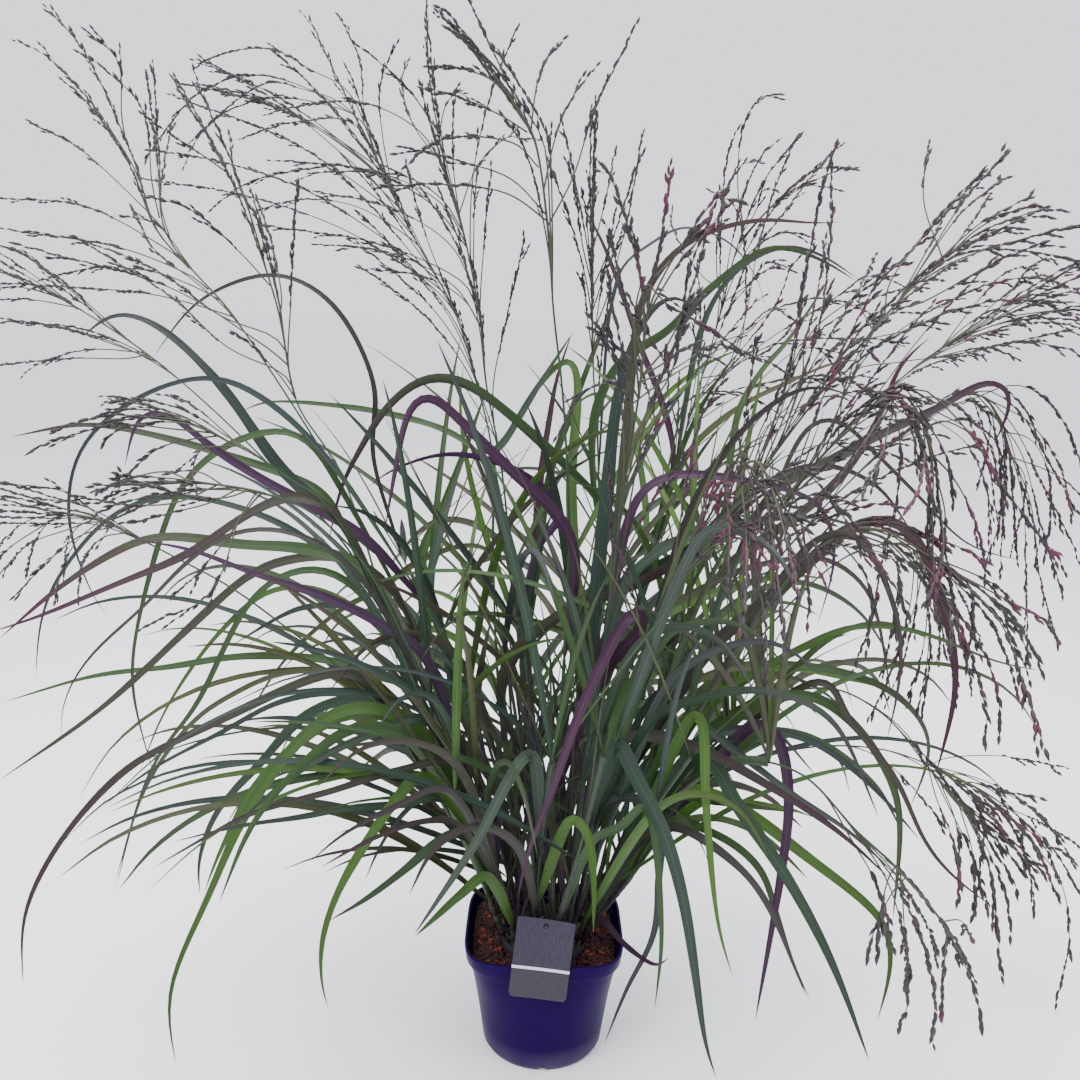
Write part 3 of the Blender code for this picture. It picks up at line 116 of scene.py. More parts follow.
def rounded(corners, radius, steps=4):
    """A closed or open outline with each inner corner cut to a short curve.

    Each corner P becomes points of the curve (1-t)^2 A + 2t(1-t) P + t^2 B, with A and B on its two sides.
    """
    p = np.array(corners, float)
    before, after = p[:-2] - p[1:-1], p[2:] - p[1:-1]
    shorter = np.minimum(np.linalg.norm(before, axis=1), np.linalg.norm(after, axis=1))
    reach = np.minimum(radius, 0.45 * shorter)
    a = p[1:-1] + unit(before) * reach[:, None]
    b = p[1:-1] + unit(after) * reach[:, None]
    t = np.linspace(0, 1, steps)[None, :, None]
    bend = (1 - t) ** 2 * a[:, None] + 2 * t * (1 - t) * p[1:-1][:, None] + t**2 * b[:, None]
    return np.vstack([p[:1], bend.reshape(-1, 2), p[-1:]])


def squared(angle, height, share=1.0):
    """How far the outline stands out as it squares up: (|cos a|^n + |sin a|^n)^(-1/n).

    The power n is 2 at the foot, for a circle, and grows by the cube of the height.
    """
    power = 2 + RIM_SQUARENESS * share * np.clip(height / POT_HEIGHT, 0, 1) ** SQUARE_GROWTH
    return (np.abs(np.cos(angle)) ** power + np.abs(np.sin(angle)) ** power) ** (-1 / power)


def walls_between(rings, steps):
    """The four-cornered faces between rings, whose points come ring by ring."""
    row, step = np.meshgrid(np.arange(rings - 1), np.arange(steps), indexing="ij")
    near, far = row * steps + step, row * steps + (step + 1) % steps
    return np.stack([near, far, far + steps, near + steps], axis=-1).reshape(-1, 4)


def turned(profile, steps, share=0.0):
    """A profile of (radius, height) carried about Z: x = r s cos a, y = r s sin a, with s from squared.

    Both ends lie on the axis. The share is how much of the squareness each ring takes.
    """
    inner = profile[1:-1]
    angle = np.arange(steps) * math.tau / steps
    share = np.broadcast_to(share, len(profile))[1:-1, None]
    reach = inner[:, 0, None] * squared(angle, inner[:, 1, None], share)
    x = reach * np.cos(angle)
    y = reach * np.sin(angle)
    z = np.broadcast_to(inner[:, 1, None], x.shape)
    points = np.stack([x, y, z], axis=-1).reshape(-1, 3)
    poles = np.array([[0, 0, profile[0, 1]], [0, 0, profile[-1, 1]]])
    walls = walls_between(len(inner), steps)[:, [0, 3, 2, 1]]
    step = np.arange(steps)
    after = (step + 1) % steps
    last = (len(inner) - 1) * steps
    top = np.stack([np.full(steps, len(points)), step, after], axis=-1)
    bottom = np.stack([np.full(steps, len(points) + 1), last + after, last + step], axis=-1)
    return np.vstack([points, poles]), [walls, top, bottom]


def mesh_from(name, points, faces):
    """A mesh from an array of points and a list of arrays of faces, all put in at once."""
    mesh = bpy.data.meshes.new(name)
    corners = np.concatenate([f.ravel() for f in faces])
    totals = np.concatenate([np.full(len(f), f.shape[1]) for f in faces])
    mesh.vertices.add(len(points))
    mesh.vertices.foreach_set("co", points.astype(np.float32).ravel())
    mesh.loops.add(len(corners))
    mesh.loops.foreach_set("vertex_index", corners.astype(np.int32))
    mesh.polygons.add(len(totals))
    mesh.polygons.foreach_set("loop_start", (np.cumsum(totals) - totals).astype(np.int32))
    mesh.polygons.foreach_set("loop_total", totals.astype(np.int32))
    mesh.update(calc_edges=True)
    mesh.shade_smooth()
    return mesh


def piece(name, mesh, *finishes):
    """An object at the origin that shows the mesh in its finishes, and rides on the one body."""
    made = bpy.data.objects.new(name, mesh)
    bpy.context.scene.collection.objects.link(made)
    for one in finishes:
        mesh.materials.append(one)
    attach(made, "root")
    return made


def cut_away(mesh, cutter):
    """The mesh less the cutter's volume, by an exact Boolean whose result is kept."""
    body = bpy.data.objects.new("cut_body", mesh)
    tool = bpy.data.objects.new("cut_tool", cutter)
    bpy.context.scene.collection.objects.link(body)
    bpy.context.scene.collection.objects.link(tool)
    taking = body.modifiers.new("Cut", "BOOLEAN")
    taking.operation = "DIFFERENCE"
    taking.object = tool
    made = bpy.data.meshes.new_from_object(body.evaluated_get(bpy.context.evaluated_depsgraph_get()))
    bpy.data.objects.remove(body)
    bpy.data.objects.remove(tool)
    return made


def drain_cutters():
    """Upright rods through the foot's corner, evenly round it, half a step off the X axis."""
    drawn = bmesh.new()
    for index in range(DRAIN_COUNT):
        angle = math.tau * (index + 0.5) / DRAIN_COUNT
        made = bmesh.ops.create_cone(
            drawn, cap_ends=True, segments=DRAIN_SIDES, radius1=DRAIN_RADIUS, radius2=DRAIN_RADIUS,
            depth=2 * DRAIN_DEPTH,
        )
        shift = (math.cos(angle) * DRAIN_REACH, math.sin(angle) * DRAIN_REACH, 0)
        bmesh.ops.translate(drawn, verts=made["verts"], vec=shift)
    mesh = bpy.data.meshes.new("drain_cutters")
    drawn.to_mesh(mesh)
    drawn.free()
    return mesh


def indigo_polypropylene():
    """Moulded polypropylene: a semi-gloss skin, paler where it is scuffed, with a little dust at the foot."""
    made, tree, shader = finish("indigo_polypropylene")
    place = add_node(tree, "ShaderNodeTexCoord", output="Object")
    scuffing = {"Vector": place, "Scale": 1 / SCUFF_SIZE, "Detail": 6, "Roughness": 0.7}
    scuffs = add_node(tree, "ShaderNodeTexNoise", scuffing)
    worn = add_node(tree, "ShaderNodeMapRange", {"Value": scuffs, 1: 0.58, 2: 0.78, "To Max": 0.55})
    clouds = add_node(tree, "ShaderNodeTexNoise", {"Vector": place, "Scale": CLOUD_SCALE, "Detail": 3})
    tones = {0: worn, 6: linear(INDIGO), 7: linear(INDIGO_WORN)}
    skin = add_node(tree, "ShaderNodeMix", tones, 2, data_type="RGBA")
    height = add_node(tree, "ShaderNodeSeparateXYZ", {"Vector": place}, "Z")
    low = add_node(
        tree, "ShaderNodeMapRange", {"Value": height, 1: DUST_HEIGHT, 2: 0.0, "To Max": DUST_SHARE}
    )
    dusty = add_node(tree, "ShaderNodeMath", {0: low, 1: clouds}, operation="MULTIPLY")
    feed(tree, shader, {
        "Base Color": add_node(
            tree, "ShaderNodeMix", {0: dusty, 6: skin, 7: linear(DUST)}, 2, data_type="RGBA"
        ),
        "Roughness": add_node(tree, "ShaderNodeMapRange", {"Value": clouds, "To Min": 0.30, "To Max": 0.46}),
        "Normal": add_node(tree, "ShaderNodeBump", {"Height": scuffs, "Strength": 0.12, "Distance": 0.0004}),
        "IOR": 1.49,
        "Specular IOR Level": 0.04,
    })
    return made


under_lip = POT_HEIGHT - LIP_DEPTH
wall_heights = np.linspace(FLOOR + FOOT_ROUND, under_lip, WALL_RINGS)
pot_profile = rounded(
    [
        (0, FLOOR),
        (wall_radius(FLOOR) - WALL - FOOT_ROUND / 2, FLOOR),
        *[(wall_radius(h) - WALL, h) for h in wall_heights],
        (RIM_RADIUS - 2 * WALL, under_lip + 2 * WALL),
        (RIM_RADIUS - 2 * WALL, POT_HEIGHT),
        (RIM_RADIUS - WALL / 2, POT_HEIGHT),
        (RIM_RADIUS, POT_HEIGHT - WALL / 2),
        (RIM_RADIUS - WALL / 2, under_lip),
        *[(wall_radius(h), h) for h in wall_heights[::-1]],
        (wall_radius(FOOT_ROUND), FOOT_ROUND),
        (FOOT_RADIUS - FOOT_ROUND / 2, 0),
        (0, 0),
    ],
    PROFILE_ROUND,
)
pot_shell = mesh_from("pot_moulding", *turned(pot_profile, POT_STEPS, 1.0))
pot_shell = cut_away(pot_shell, drain_cutters())
pot_shell.name = "pot_moulding"
pot = piece("pot_moulding", pot_shell, indigo_polypropylene())
pot_shell.set_sharp_from_angle(angle=POT_CREASE)
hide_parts("nursery_pot")

# The growing mix: composted bark and peat, heaped at the back and sides and a little round the crown. It is
# one loose fill that takes the pot's inner shape. Red-brown chips and a few orange ones lie over dark,
# fibrous peat.

SOIL_TOP = 0.117
SOIL_MOUND = 0.123
MOUND_FALL = 1.6
SOIL_RINGS = 26
SOIL_STEPS = 120
SOIL_EDGE = 8
CROWN_RADIUS = 0.052
CROWN_FLOOR = 0.103
CROWN_TOP = 0.138
GAP = 0.0004
LUMP_WAVES = 40
LUMP_LENGTH = 0.014
LUMP_HEIGHT = 0.0016
CHIP_COUNT = 2400
CHIP_SIZE = (0.0014, 0.0052)
CHIP_BREADTH = (0.45, 0.9)
CHIP_THICK = (0.2, 0.5)
CHIP_RISE = (-0.0004, 0.0022)
CHIP_ROUGH = 0.10
SOIL_SEED = 11

# Each heap's height, width and centre. The last is the sunk place in front.
HEAPS = (
    (0.024, 0.030, (-0.062, 0.052)),
    (0.019, 0.028, (0.064, 0.052)),
    (0.009, 0.028, (-0.080, -0.005)),
    (0.009, 0.028, (0.080, -0.005)),
    (-0.005, 0.020, (-0.040, -0.070)),
)

PEAT = "#2f1f20"
BARK_RED = "#56191f"
BARK_ORANGE = "#94401a"
FIBRE_SIZE = 0.0012
PEAT_SHADE = 0.22


def lumps(x, y, rng, longest, height):
    """A rough relief: the sum over k of cos(x u_k + y v_k + p_k) / sqrt(count), times the height."""
    turn = rng.uniform(0, math.tau, LUMP_WAVES)
    pitch = math.tau / (longest * rng.uniform(0.2, 1.0, LUMP_WAVES))
    phase = rng.uniform(0, math.tau, LUMP_WAVES)
    inner = x[..., None] * pitch * np.cos(turn) + y[..., None] * pitch * np.sin(turn) + phase
    return np.cos(inner).sum(axis=-1) / math.sqrt(LUMP_WAVES) * height


def random_frames(rng, count):
    """Three square axes for each of a number of shapes: a random axis, and two more from cross products."""
    one = unit(rng.normal(size=(count, 3)))
    two = unit(np.cross(one, rng.normal(size=(count, 3))))
    return np.stack([one, two, np.cross(one, two)], axis=1)


def copies(unit_points, unit_faces, frames, places):
    """Copies of a unit shape: each point is place + a * axis1 + b * axis2 + c * axis3, for its (a, b, c)."""
    points = places[:, None] + np.einsum("pk,nkd->npd", unit_points, frames)
    shift = (np.arange(len(places)) * len(unit_points))[:, None, None]
    faces = [(f[None] + shift).reshape(-1, f.shape[1]) for f in unit_faces]
    return points.reshape(-1, 3), faces


def joined(shapes):
    """Several (points, faces) shapes as one: all the points in a row, and each face's corners moved on."""
    points, faces, start = [], [], 0
    for more, more_faces in shapes:
        points.append(more)
        faces += [f + start for f in more_faces]
        start += len(more)
    return np.vstack(points), faces


def tag(mesh, name, values):
    """Puts a number or a triple on each point of the mesh, for its material to read."""
    kind, slot = ("FLOAT", "value") if values.ndim == 1 else ("FLOAT_VECTOR", "vector")
    mesh.attributes.new(name, kind, "POINT").data.foreach_set(slot, values.astype(np.float32).ravel())


def chip_unit():
    """A rough chip: an icosahedron, whose corners are the turns of (0, 1, g) with g = (1 + sqrt 5) / 2."""
    drawn = bmesh.new()
    bmesh.ops.create_icosphere(drawn, subdivisions=1, radius=1)
    points = np.array([v.co[:] for v in drawn.verts])
    faces = np.array([[v.index for v in f.verts] for f in drawn.faces])
    drawn.free()
    return points, faces


def composted_bark():
    """Composted bark: matt and fibrous, from near-black peat through red-brown to fresh orange breaks."""
    made, tree, shader = finish("composted_bark")
    place = add_node(tree, "ShaderNodeTexCoord", output="Object")
    kind = add_node(tree, "ShaderNodeAttribute", output="Fac", attribute_name="chip")
    fibres = {"Vector": place, "Scale": 1 / FIBRE_SIZE, "Detail": 4, "Roughness": 0.7}
    fibre = add_node(tree, "ShaderNodeTexNoise", fibres)
    grain = add_node(
        tree, "ShaderNodeMapRange", {"Value": fibre, 1: 0.3, 2: 0.7, "To Min": -0.18, "To Max": 0.18}
    )
    shade = add_node(tree, "ShaderNodeMath", {0: kind, 1: grain}, operation="ADD")
    colour = add_node(tree, "ShaderNodeValToRGB", {"Fac": shade})
    stops = colour.node.color_ramp.elements
    stops[0].position, stops[0].color = 0.1, linear(PEAT)
    stops[1].position, stops[1].color = 1.0, linear(BARK_ORANGE)
    stops.new(0.7).color = linear(BARK_RED)
    feed(tree, shader, {
        "Base Color": colour,
        "Roughness": 0.88,
        "Normal": add_node(tree, "ShaderNodeBump", {"Height": fibre, "Strength": 0.6, "Distance": 0.0006}),
    })
    return made


def heap(x, y):
    """The mix's heaps and its sunk place: a sum of height * exp(-d^2 / 2w^2)."""
    made = np.zeros_like(x)
    for height, width, centre in HEAPS:
        made += height * np.exp(-((x - centre[0]) ** 2 + (y - centre[1]) ** 2) / (2 * width**2))
    return made


def mound(share):
    """The mix's height at a share of the way from the crown to the wall: it falls by a power of the share."""
    return SOIL_MOUND - (SOIL_MOUND - SOIL_TOP) * share**MOUND_FALL


def soil_fill(rng):
    """The fill: a plug of the pot's inner shape, with lumps and heaps on its top outside the crown."""
    hollow = CROWN_RADIUS + GAP
    top_radius = wall_radius(SOIL_TOP) - WALL - GAP
    across_top = np.linspace(hollow, top_radius, SOIL_RINGS)
    share = (across_top - hollow) / (top_radius - hollow)
    sides = np.linspace(SOIL_TOP, FLOOR + FOOT_ROUND, WALL_RINGS)[1:]
    profile = np.vstack([
        [(0, CROWN_FLOOR - GAP), (hollow, CROWN_FLOOR - GAP)],
        np.column_stack([across_top, mound(share)]),
        np.column_stack([wall_radius(sides) - WALL - GAP, sides]),
        [(wall_radius(FLOOR) - WALL - FOOT_ROUND / 2 - GAP, FLOOR + GAP), (0, FLOOR + GAP)],
    ])
    squareness = np.ones(len(profile))
    squareness[:2] = 0
    squareness[2 : 2 + len(share)] = share
    points, faces = turned(profile, SOIL_STEPS, squareness)
    mask, rise = np.zeros((2, len(profile) - 2))
    mask[1 : 1 + len(share)] = np.clip(np.minimum(share, 1 - share) * SOIL_EDGE, 0, 1)
    rise[1 : 1 + len(share)] = np.clip(share * SOIL_EDGE, 0, 1)
    x, y = points[:-2, 0], points[:-2, 1]
    bumps = lumps(x, y, rng, LUMP_LENGTH, LUMP_HEIGHT) * np.repeat(mask, SOIL_STEPS)
    points[:-2, 2] += bumps + heap(x, y) * np.repeat(rise, SOIL_STEPS)
    return points, faces


def soil_chips(rng):
    """Loose chips on the fill: flattened icosahedra, evenly spread from the crown to the wall.

    The squares of their distances from the axis are spread evenly, up to the wall's reach at their angle.
    """
    corners, faces = chip_unit()
    angle = rng.uniform(0, math.tau, CHIP_COUNT)
    reach = (wall_radius(SOIL_TOP) - WALL) * squared(angle, SOIL_TOP) - CHIP_SIZE[1] / 2
    radius = np.sqrt(rng.uniform(CROWN_RADIUS**2, reach**2))
    height = mound((radius - CROWN_RADIUS) / (reach - CROWN_RADIUS)) + rng.uniform(*CHIP_RISE, CHIP_COUNT)
    places = np.column_stack([radius * np.cos(angle), radius * np.sin(angle), height])
    places[:, 2] += heap(places[:, 0], places[:, 1])
    size = CHIP_SIZE[0] + (CHIP_SIZE[1] - CHIP_SIZE[0]) * rng.random(CHIP_COUNT) ** 2.2
    broad = size * rng.uniform(*CHIP_BREADTH, CHIP_COUNT)
    thick = size * rng.uniform(*CHIP_THICK, CHIP_COUNT)
    frames = random_frames(rng, CHIP_COUNT) * np.stack([size, broad, thick]).T[:, :, None]
    points, made = copies(corners, [faces], frames, places)
    points += rng.normal(scale=CHIP_ROUGH, size=points.shape) * np.repeat(size, len(corners))[:, None]
    return (points, made), np.repeat(rng.random(CHIP_COUNT) ** 1.8, len(corners))


soil_rng = np.random.default_rng(SOIL_SEED)
fill_shape = soil_fill(soil_rng)
chip_shape, chip_kind = soil_chips(soil_rng)
soil_mesh = mesh_from("bark_and_peat_mix", *joined([fill_shape, chip_shape]))
tag(soil_mesh, "chip", np.concatenate([np.full(len(fill_shape[0]), PEAT_SHADE), chip_kind]))
soil = piece("bark_and_peat_mix", soil_mesh, composted_bark())
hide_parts("potting_soil")

# The crown: the woody clump that all stems stand on, just proud of the mix. It is a dense mat of old stem
# bases cut or broken off short, with dry, papery sheaths round them, straw-brown to grey.

MAT_TOP = CROWN_TOP - 0.0016
MAT_SHOULDER = CROWN_TOP - 0.006
MAT_FLAT = CROWN_TOP - 0.003
MAT_RINGS = 24
MAT_STEPS = 96
MAT_LENGTH = 0.008
MAT_HEIGHT = 0.0011
STUB_COUNT = 420
STUB_RADIUS = (0.0009, 0.0024)
STUB_TAPER = (1.0, 0.94, 0.8)
STUB_HEIGHT = (0.003, 0.016)
STUB_SINK = 0.003
STUB_LEAN = 0.16
STUB_SIDES = 6
CROWN_SEED = 23

STRAW = "#5d5140"
DARK_STRAW = "#1c1420"
GREEN_BASE = "#2b3327"
MAT_TONE = 0.12


def directions(paths, first=None, last=None):
    """The direction at each point of each path: the difference of its two neighbours, made one long.

    The directions at its two ends can be given.
    """
    way = np.gradient(paths, axis=-2)
    if first is not None:
        way[..., 0, :] = first
    if last is not None:
        way[..., -1, :] = last
    return unit(way)


def swept(paths, radii, sides):
    """Round tubes along paths: p + r (s cos t + o sin t), with s square to the path's way and o = way x s."""
    way = directions(paths)
    mean = np.abs(way).max(axis=-2, keepdims=True)
    side = unit(np.cross(way, np.eye(3)[np.argmin(mean, axis=-1)]))
    other = np.cross(way, side)
    turn = (np.arange(sides) * math.tau / sides)[:, None]
    ring = side[..., None, :] * np.cos(turn) + other[..., None, :] * np.sin(turn)
    points = paths[..., None, :] + ring * np.broadcast_to(radii, paths.shape[:-1])[..., None, None]
    return points.reshape(-1, 3), tube_faces(paths.shape[0], paths.shape[1], sides)


def tube_faces(count, rings, sides):
    """The walls and the two end caps of a number of tubes, whose points come tube by tube, ring by ring."""
    tube = np.arange(count)[:, None, None] * rings * sides
    ring = np.arange(rings - 1)[None, :, None] * sides
    step = np.arange(sides)[None, None, :]
    near, far = tube + ring + step, tube + ring + (step + 1) % sides
    walls = np.stack([near, far, far + sides, near + sides], axis=-1).reshape(-1, 4)
    start = (np.arange(count) * rings * sides)[:, None]
    caps = np.vstack([start + np.arange(sides)[::-1], start + (rings - 1) * sides + np.arange(sides)])
    return [walls, caps]


def dry_stubble():
    """Dead sheath and stem bases: papery, matt, straw-brown, with the mat at their feet near-black."""
    made, tree, shader = finish("dry_stubble")
    kind = add_node(tree, "ShaderNodeAttribute", output="Fac", attribute_name="straw_tone")
    place = add_node(tree, "ShaderNodeTexCoord", output="Object")
    streak = add_node(tree, "ShaderNodeTexNoise", {"Vector": place, "Scale": 700, "Detail": 3})
    colour = add_node(tree, "ShaderNodeValToRGB", {"Fac": kind})
    stops = colour.node.color_ramp.elements
    stops[0].position, stops[0].color = 0.0, linear(DARK_STRAW)
    stops[1].position, stops[1].color = 1.0, linear(STRAW)
    stops.new(0.55).color = linear(GREEN_BASE)
    feed(tree, shader, {
        "Base Color": colour,
        "Roughness": 0.8,
        "Normal": add_node(tree, "ShaderNodeBump", {"Height": streak, "Strength": 0.5, "Distance": 0.0003}),
    })
    return made


def crown_mat(rng):
    """The mat itself: a turned bun whose flat top gets a fine relief, never above the crown's own height."""
    rings = np.linspace(0.002, CROWN_RADIUS - 0.003, MAT_RINGS)
    profile = np.vstack([
        [(0, MAT_TOP)],
        np.column_stack([rings, np.full(MAT_RINGS, MAT_TOP)]),
        [(CROWN_RADIUS, MAT_SHOULDER), (CROWN_RADIUS, CROWN_FLOOR), (0, CROWN_FLOOR)],
    ])
    points, faces = turned(profile, MAT_STEPS)
    relief = np.clip(lumps(points[:, 0], points[:, 1], rng, MAT_LENGTH, MAT_HEIGHT), -0.002, 0.0014)
    points[:, 2] += np.where(points[:, 2] > MAT_FLAT, relief, 0)
    return points, faces


def stubs(rng):
    """Short stem bases: tubes of three rings that lean out from the middle, spread evenly over the mat."""
    radius = np.sqrt(rng.uniform(0, (CROWN_RADIUS - 0.002) ** 2, STUB_COUNT))
    angle = rng.uniform(0, math.tau, STUB_COUNT)
    height = np.full(STUB_COUNT, CROWN_TOP - STUB_SINK)
    foot = np.column_stack([radius * np.cos(angle), radius * np.sin(angle), height])
    tall = rng.uniform(*STUB_HEIGHT, STUB_COUNT) * (1.2 - radius / CROWN_RADIUS * 0.5)
    lean = np.column_stack([foot[:, :2] / CROWN_RADIUS * 0.5, np.ones(STUB_COUNT)])
    lean = unit(lean + rng.normal(scale=STUB_LEAN, size=(STUB_COUNT, 3)))
    share = np.array([0.0, 0.5, 1.0])[None, :, None]
    paths = foot[:, None] + lean[:, None] * (tall[:, None, None] + STUB_SINK) * share
    thick = rng.uniform(*STUB_RADIUS, STUB_COUNT)[:, None] * np.array(STUB_TAPER)
    shape = swept(paths, thick, STUB_SIDES)
    return shape, np.repeat(rng.random(STUB_COUNT), len(STUB_TAPER) * STUB_SIDES)


crown_rng = np.random.default_rng(CROWN_SEED)
mat_shape = crown_mat(crown_rng)
stub_shape, stub_kind = stubs(crown_rng)
crown_mesh = mesh_from("old_stem_bases", *joined([mat_shape, stub_shape]))
tag(crown_mesh, "straw_tone", np.concatenate([np.full(len(mat_shape[0]), MAT_TONE), stub_kind]))
crown = piece("old_stem_bases", crown_mesh, dry_stubble())
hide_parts("crown")

# The stems and leaves: living grass, each stem grown in one with its blades. A blade is thin, with a pale
# midrib and fine veins. A stem is jointed and wrapped by leaf sheaths. Blue-green, fresh or wine-purple.
# Every strand is drawn as it looks to the eye, then slid along its sight lines to its own depth, and a
# strand that would touch another is slid a little further or nearer, so it lies just where its solid does.

EYE = np.array([-0.0134, -1.183, 0.863])
FEET_HEIGHT = CROWN_TOP + 0.0003
STEM_FOOT_RADIUS = 0.0024
STEM_TOP_RADIUS = 0.0016
CLEARANCE = 0.0007
BEND_STEP = 38
DEPTH_STEP = 1.3
DEPTH_TRIES = 26
POT_CLEARANCE = 0.004
BARREL_FOOT = -0.02
BARREL_STEPS = 24
BLADE_RINGS = 54
BLADE_THICK = 0.00035
BLADE_WIDEN = 1.14
SOLID_FOLD = 0.30
SOLID_KEEL = 0.10
SOLID_THICK = 0.0003
BLADE_CREASE = math.radians(60)
STEM_SLIM = 0.80
STEM_END = 0.72
STEM_RINGS = 56
STEM_SIDES = 8
SHEATH_LENGTH = 0.105
SHEATH_THICK = 0.00042
SHEATH_EASE = 0.004
COLLAR_RINGS = (-0.003, -0.0002, 0.0004)
KNUCKLE = 0.00055
KNUCKLE_REACH = 0.0022
KNUCKLE_LOWEST = 0.012
KNUCKLE_RINGS = (-0.0035, -0.0015, 0, 0.0015, 0.0035)
LEAST_RUN = 0.0001
SHADED_BELOW = 0.13
SHADED_OVER = 0.45
SHADED_LEAST = 0.54
LEAF_SEED = 37

# A leaf's tone: how fresh a green it is, how purple, and how bright. The brightness is partly the leaf's own
# and partly painted light and shade; the lit tone is painted light.
TONES = {
    "blue": (0.12, 0.04, 0.50),
    "grey": (0.05, 0.16, 0.58),
    "green": (0.55, 0.02, 0.50),
    "fresh": (0.92, 0.0, 0.58),
    "dark": (0.45, 0.46, 0.34),
    "violet": (0.05, 0.80, 0.44),
    "purple": (0.15, 0.95, 0.38),
    "wine": (0.42, 0.95, 0.40),
    "dusk": (0.62, 0.42, 0.52),
    "olive": (0.88, 0.36, 0.54),
    "lit": (1.0, 0.0, 0.76),
}

# The tones that a leaf without one of its own draws from, by where it is in the clump. Leaves at the back may
# draw the lit tone, which is painted light.
MIXED = {
    "left": ["green", "fresh", "blue", "dusk", "olive", "grey"],
    "middle": ["blue", "olive", "dark", "green", "dusk", "blue"],
    "right": ["green", "blue", "dusk", "fresh", "olive", "grey"],
    "back": ["lit", "green", "fresh", "blue", "green", "dusk"],
}
BLUE_GREEN = "#20352b"
FRESH_GREEN = "#345317"
PURPLE = "#37153f"
RUSSET = "#46141c"
RIB_GREEN = "#6f8468"
VEIN_SPACING = 0.0011


def leaf(joint, width, depth, *line, face=0.65, tone=None, tip=0.35):
    """A blade: its joint's height in cm, width in mm, tip's depth, line, face, tone and purple tip.

    The face is how far its flat side is turned towards the eye, and the tip how purple its end becomes.
    """
    return dict(joint=joint, width=width, depth=depth, line=line, face=face, tone=tone, tip=tip)


def twig(start, depth, *line):
    """A flower branch: where it starts, its tip's depth in cm and its line.

    The start is a share of the head's axis or, below zero, metres under the fork.
    """
    return dict(start=start, depth=depth, line=line)


def head(depth, line, *twigs, rose=0.0, full=8, low=0.04, grain=1.0):
    """A flower head: its axis beyond the fork, its branches, its pinkness, and its further branches.

    Up to full and a half more branches grow among the drawn ones, from as far as low metres below the fork.
    The grain is how large its spikelets are; large ones stand as much further apart.
    """
    return dict(depth=depth, line=line, twigs=twigs, rose=rose, full=full, low=low, grain=grain)


def stem(foot, depth, line, *leaves, flower=None):
    """One stem: its foot on the crown, its top's depth, its line, its leaves and its flower head."""
    return dict(foot=foot, depth=depth, line=line, leaves=leaves, flower=flower)


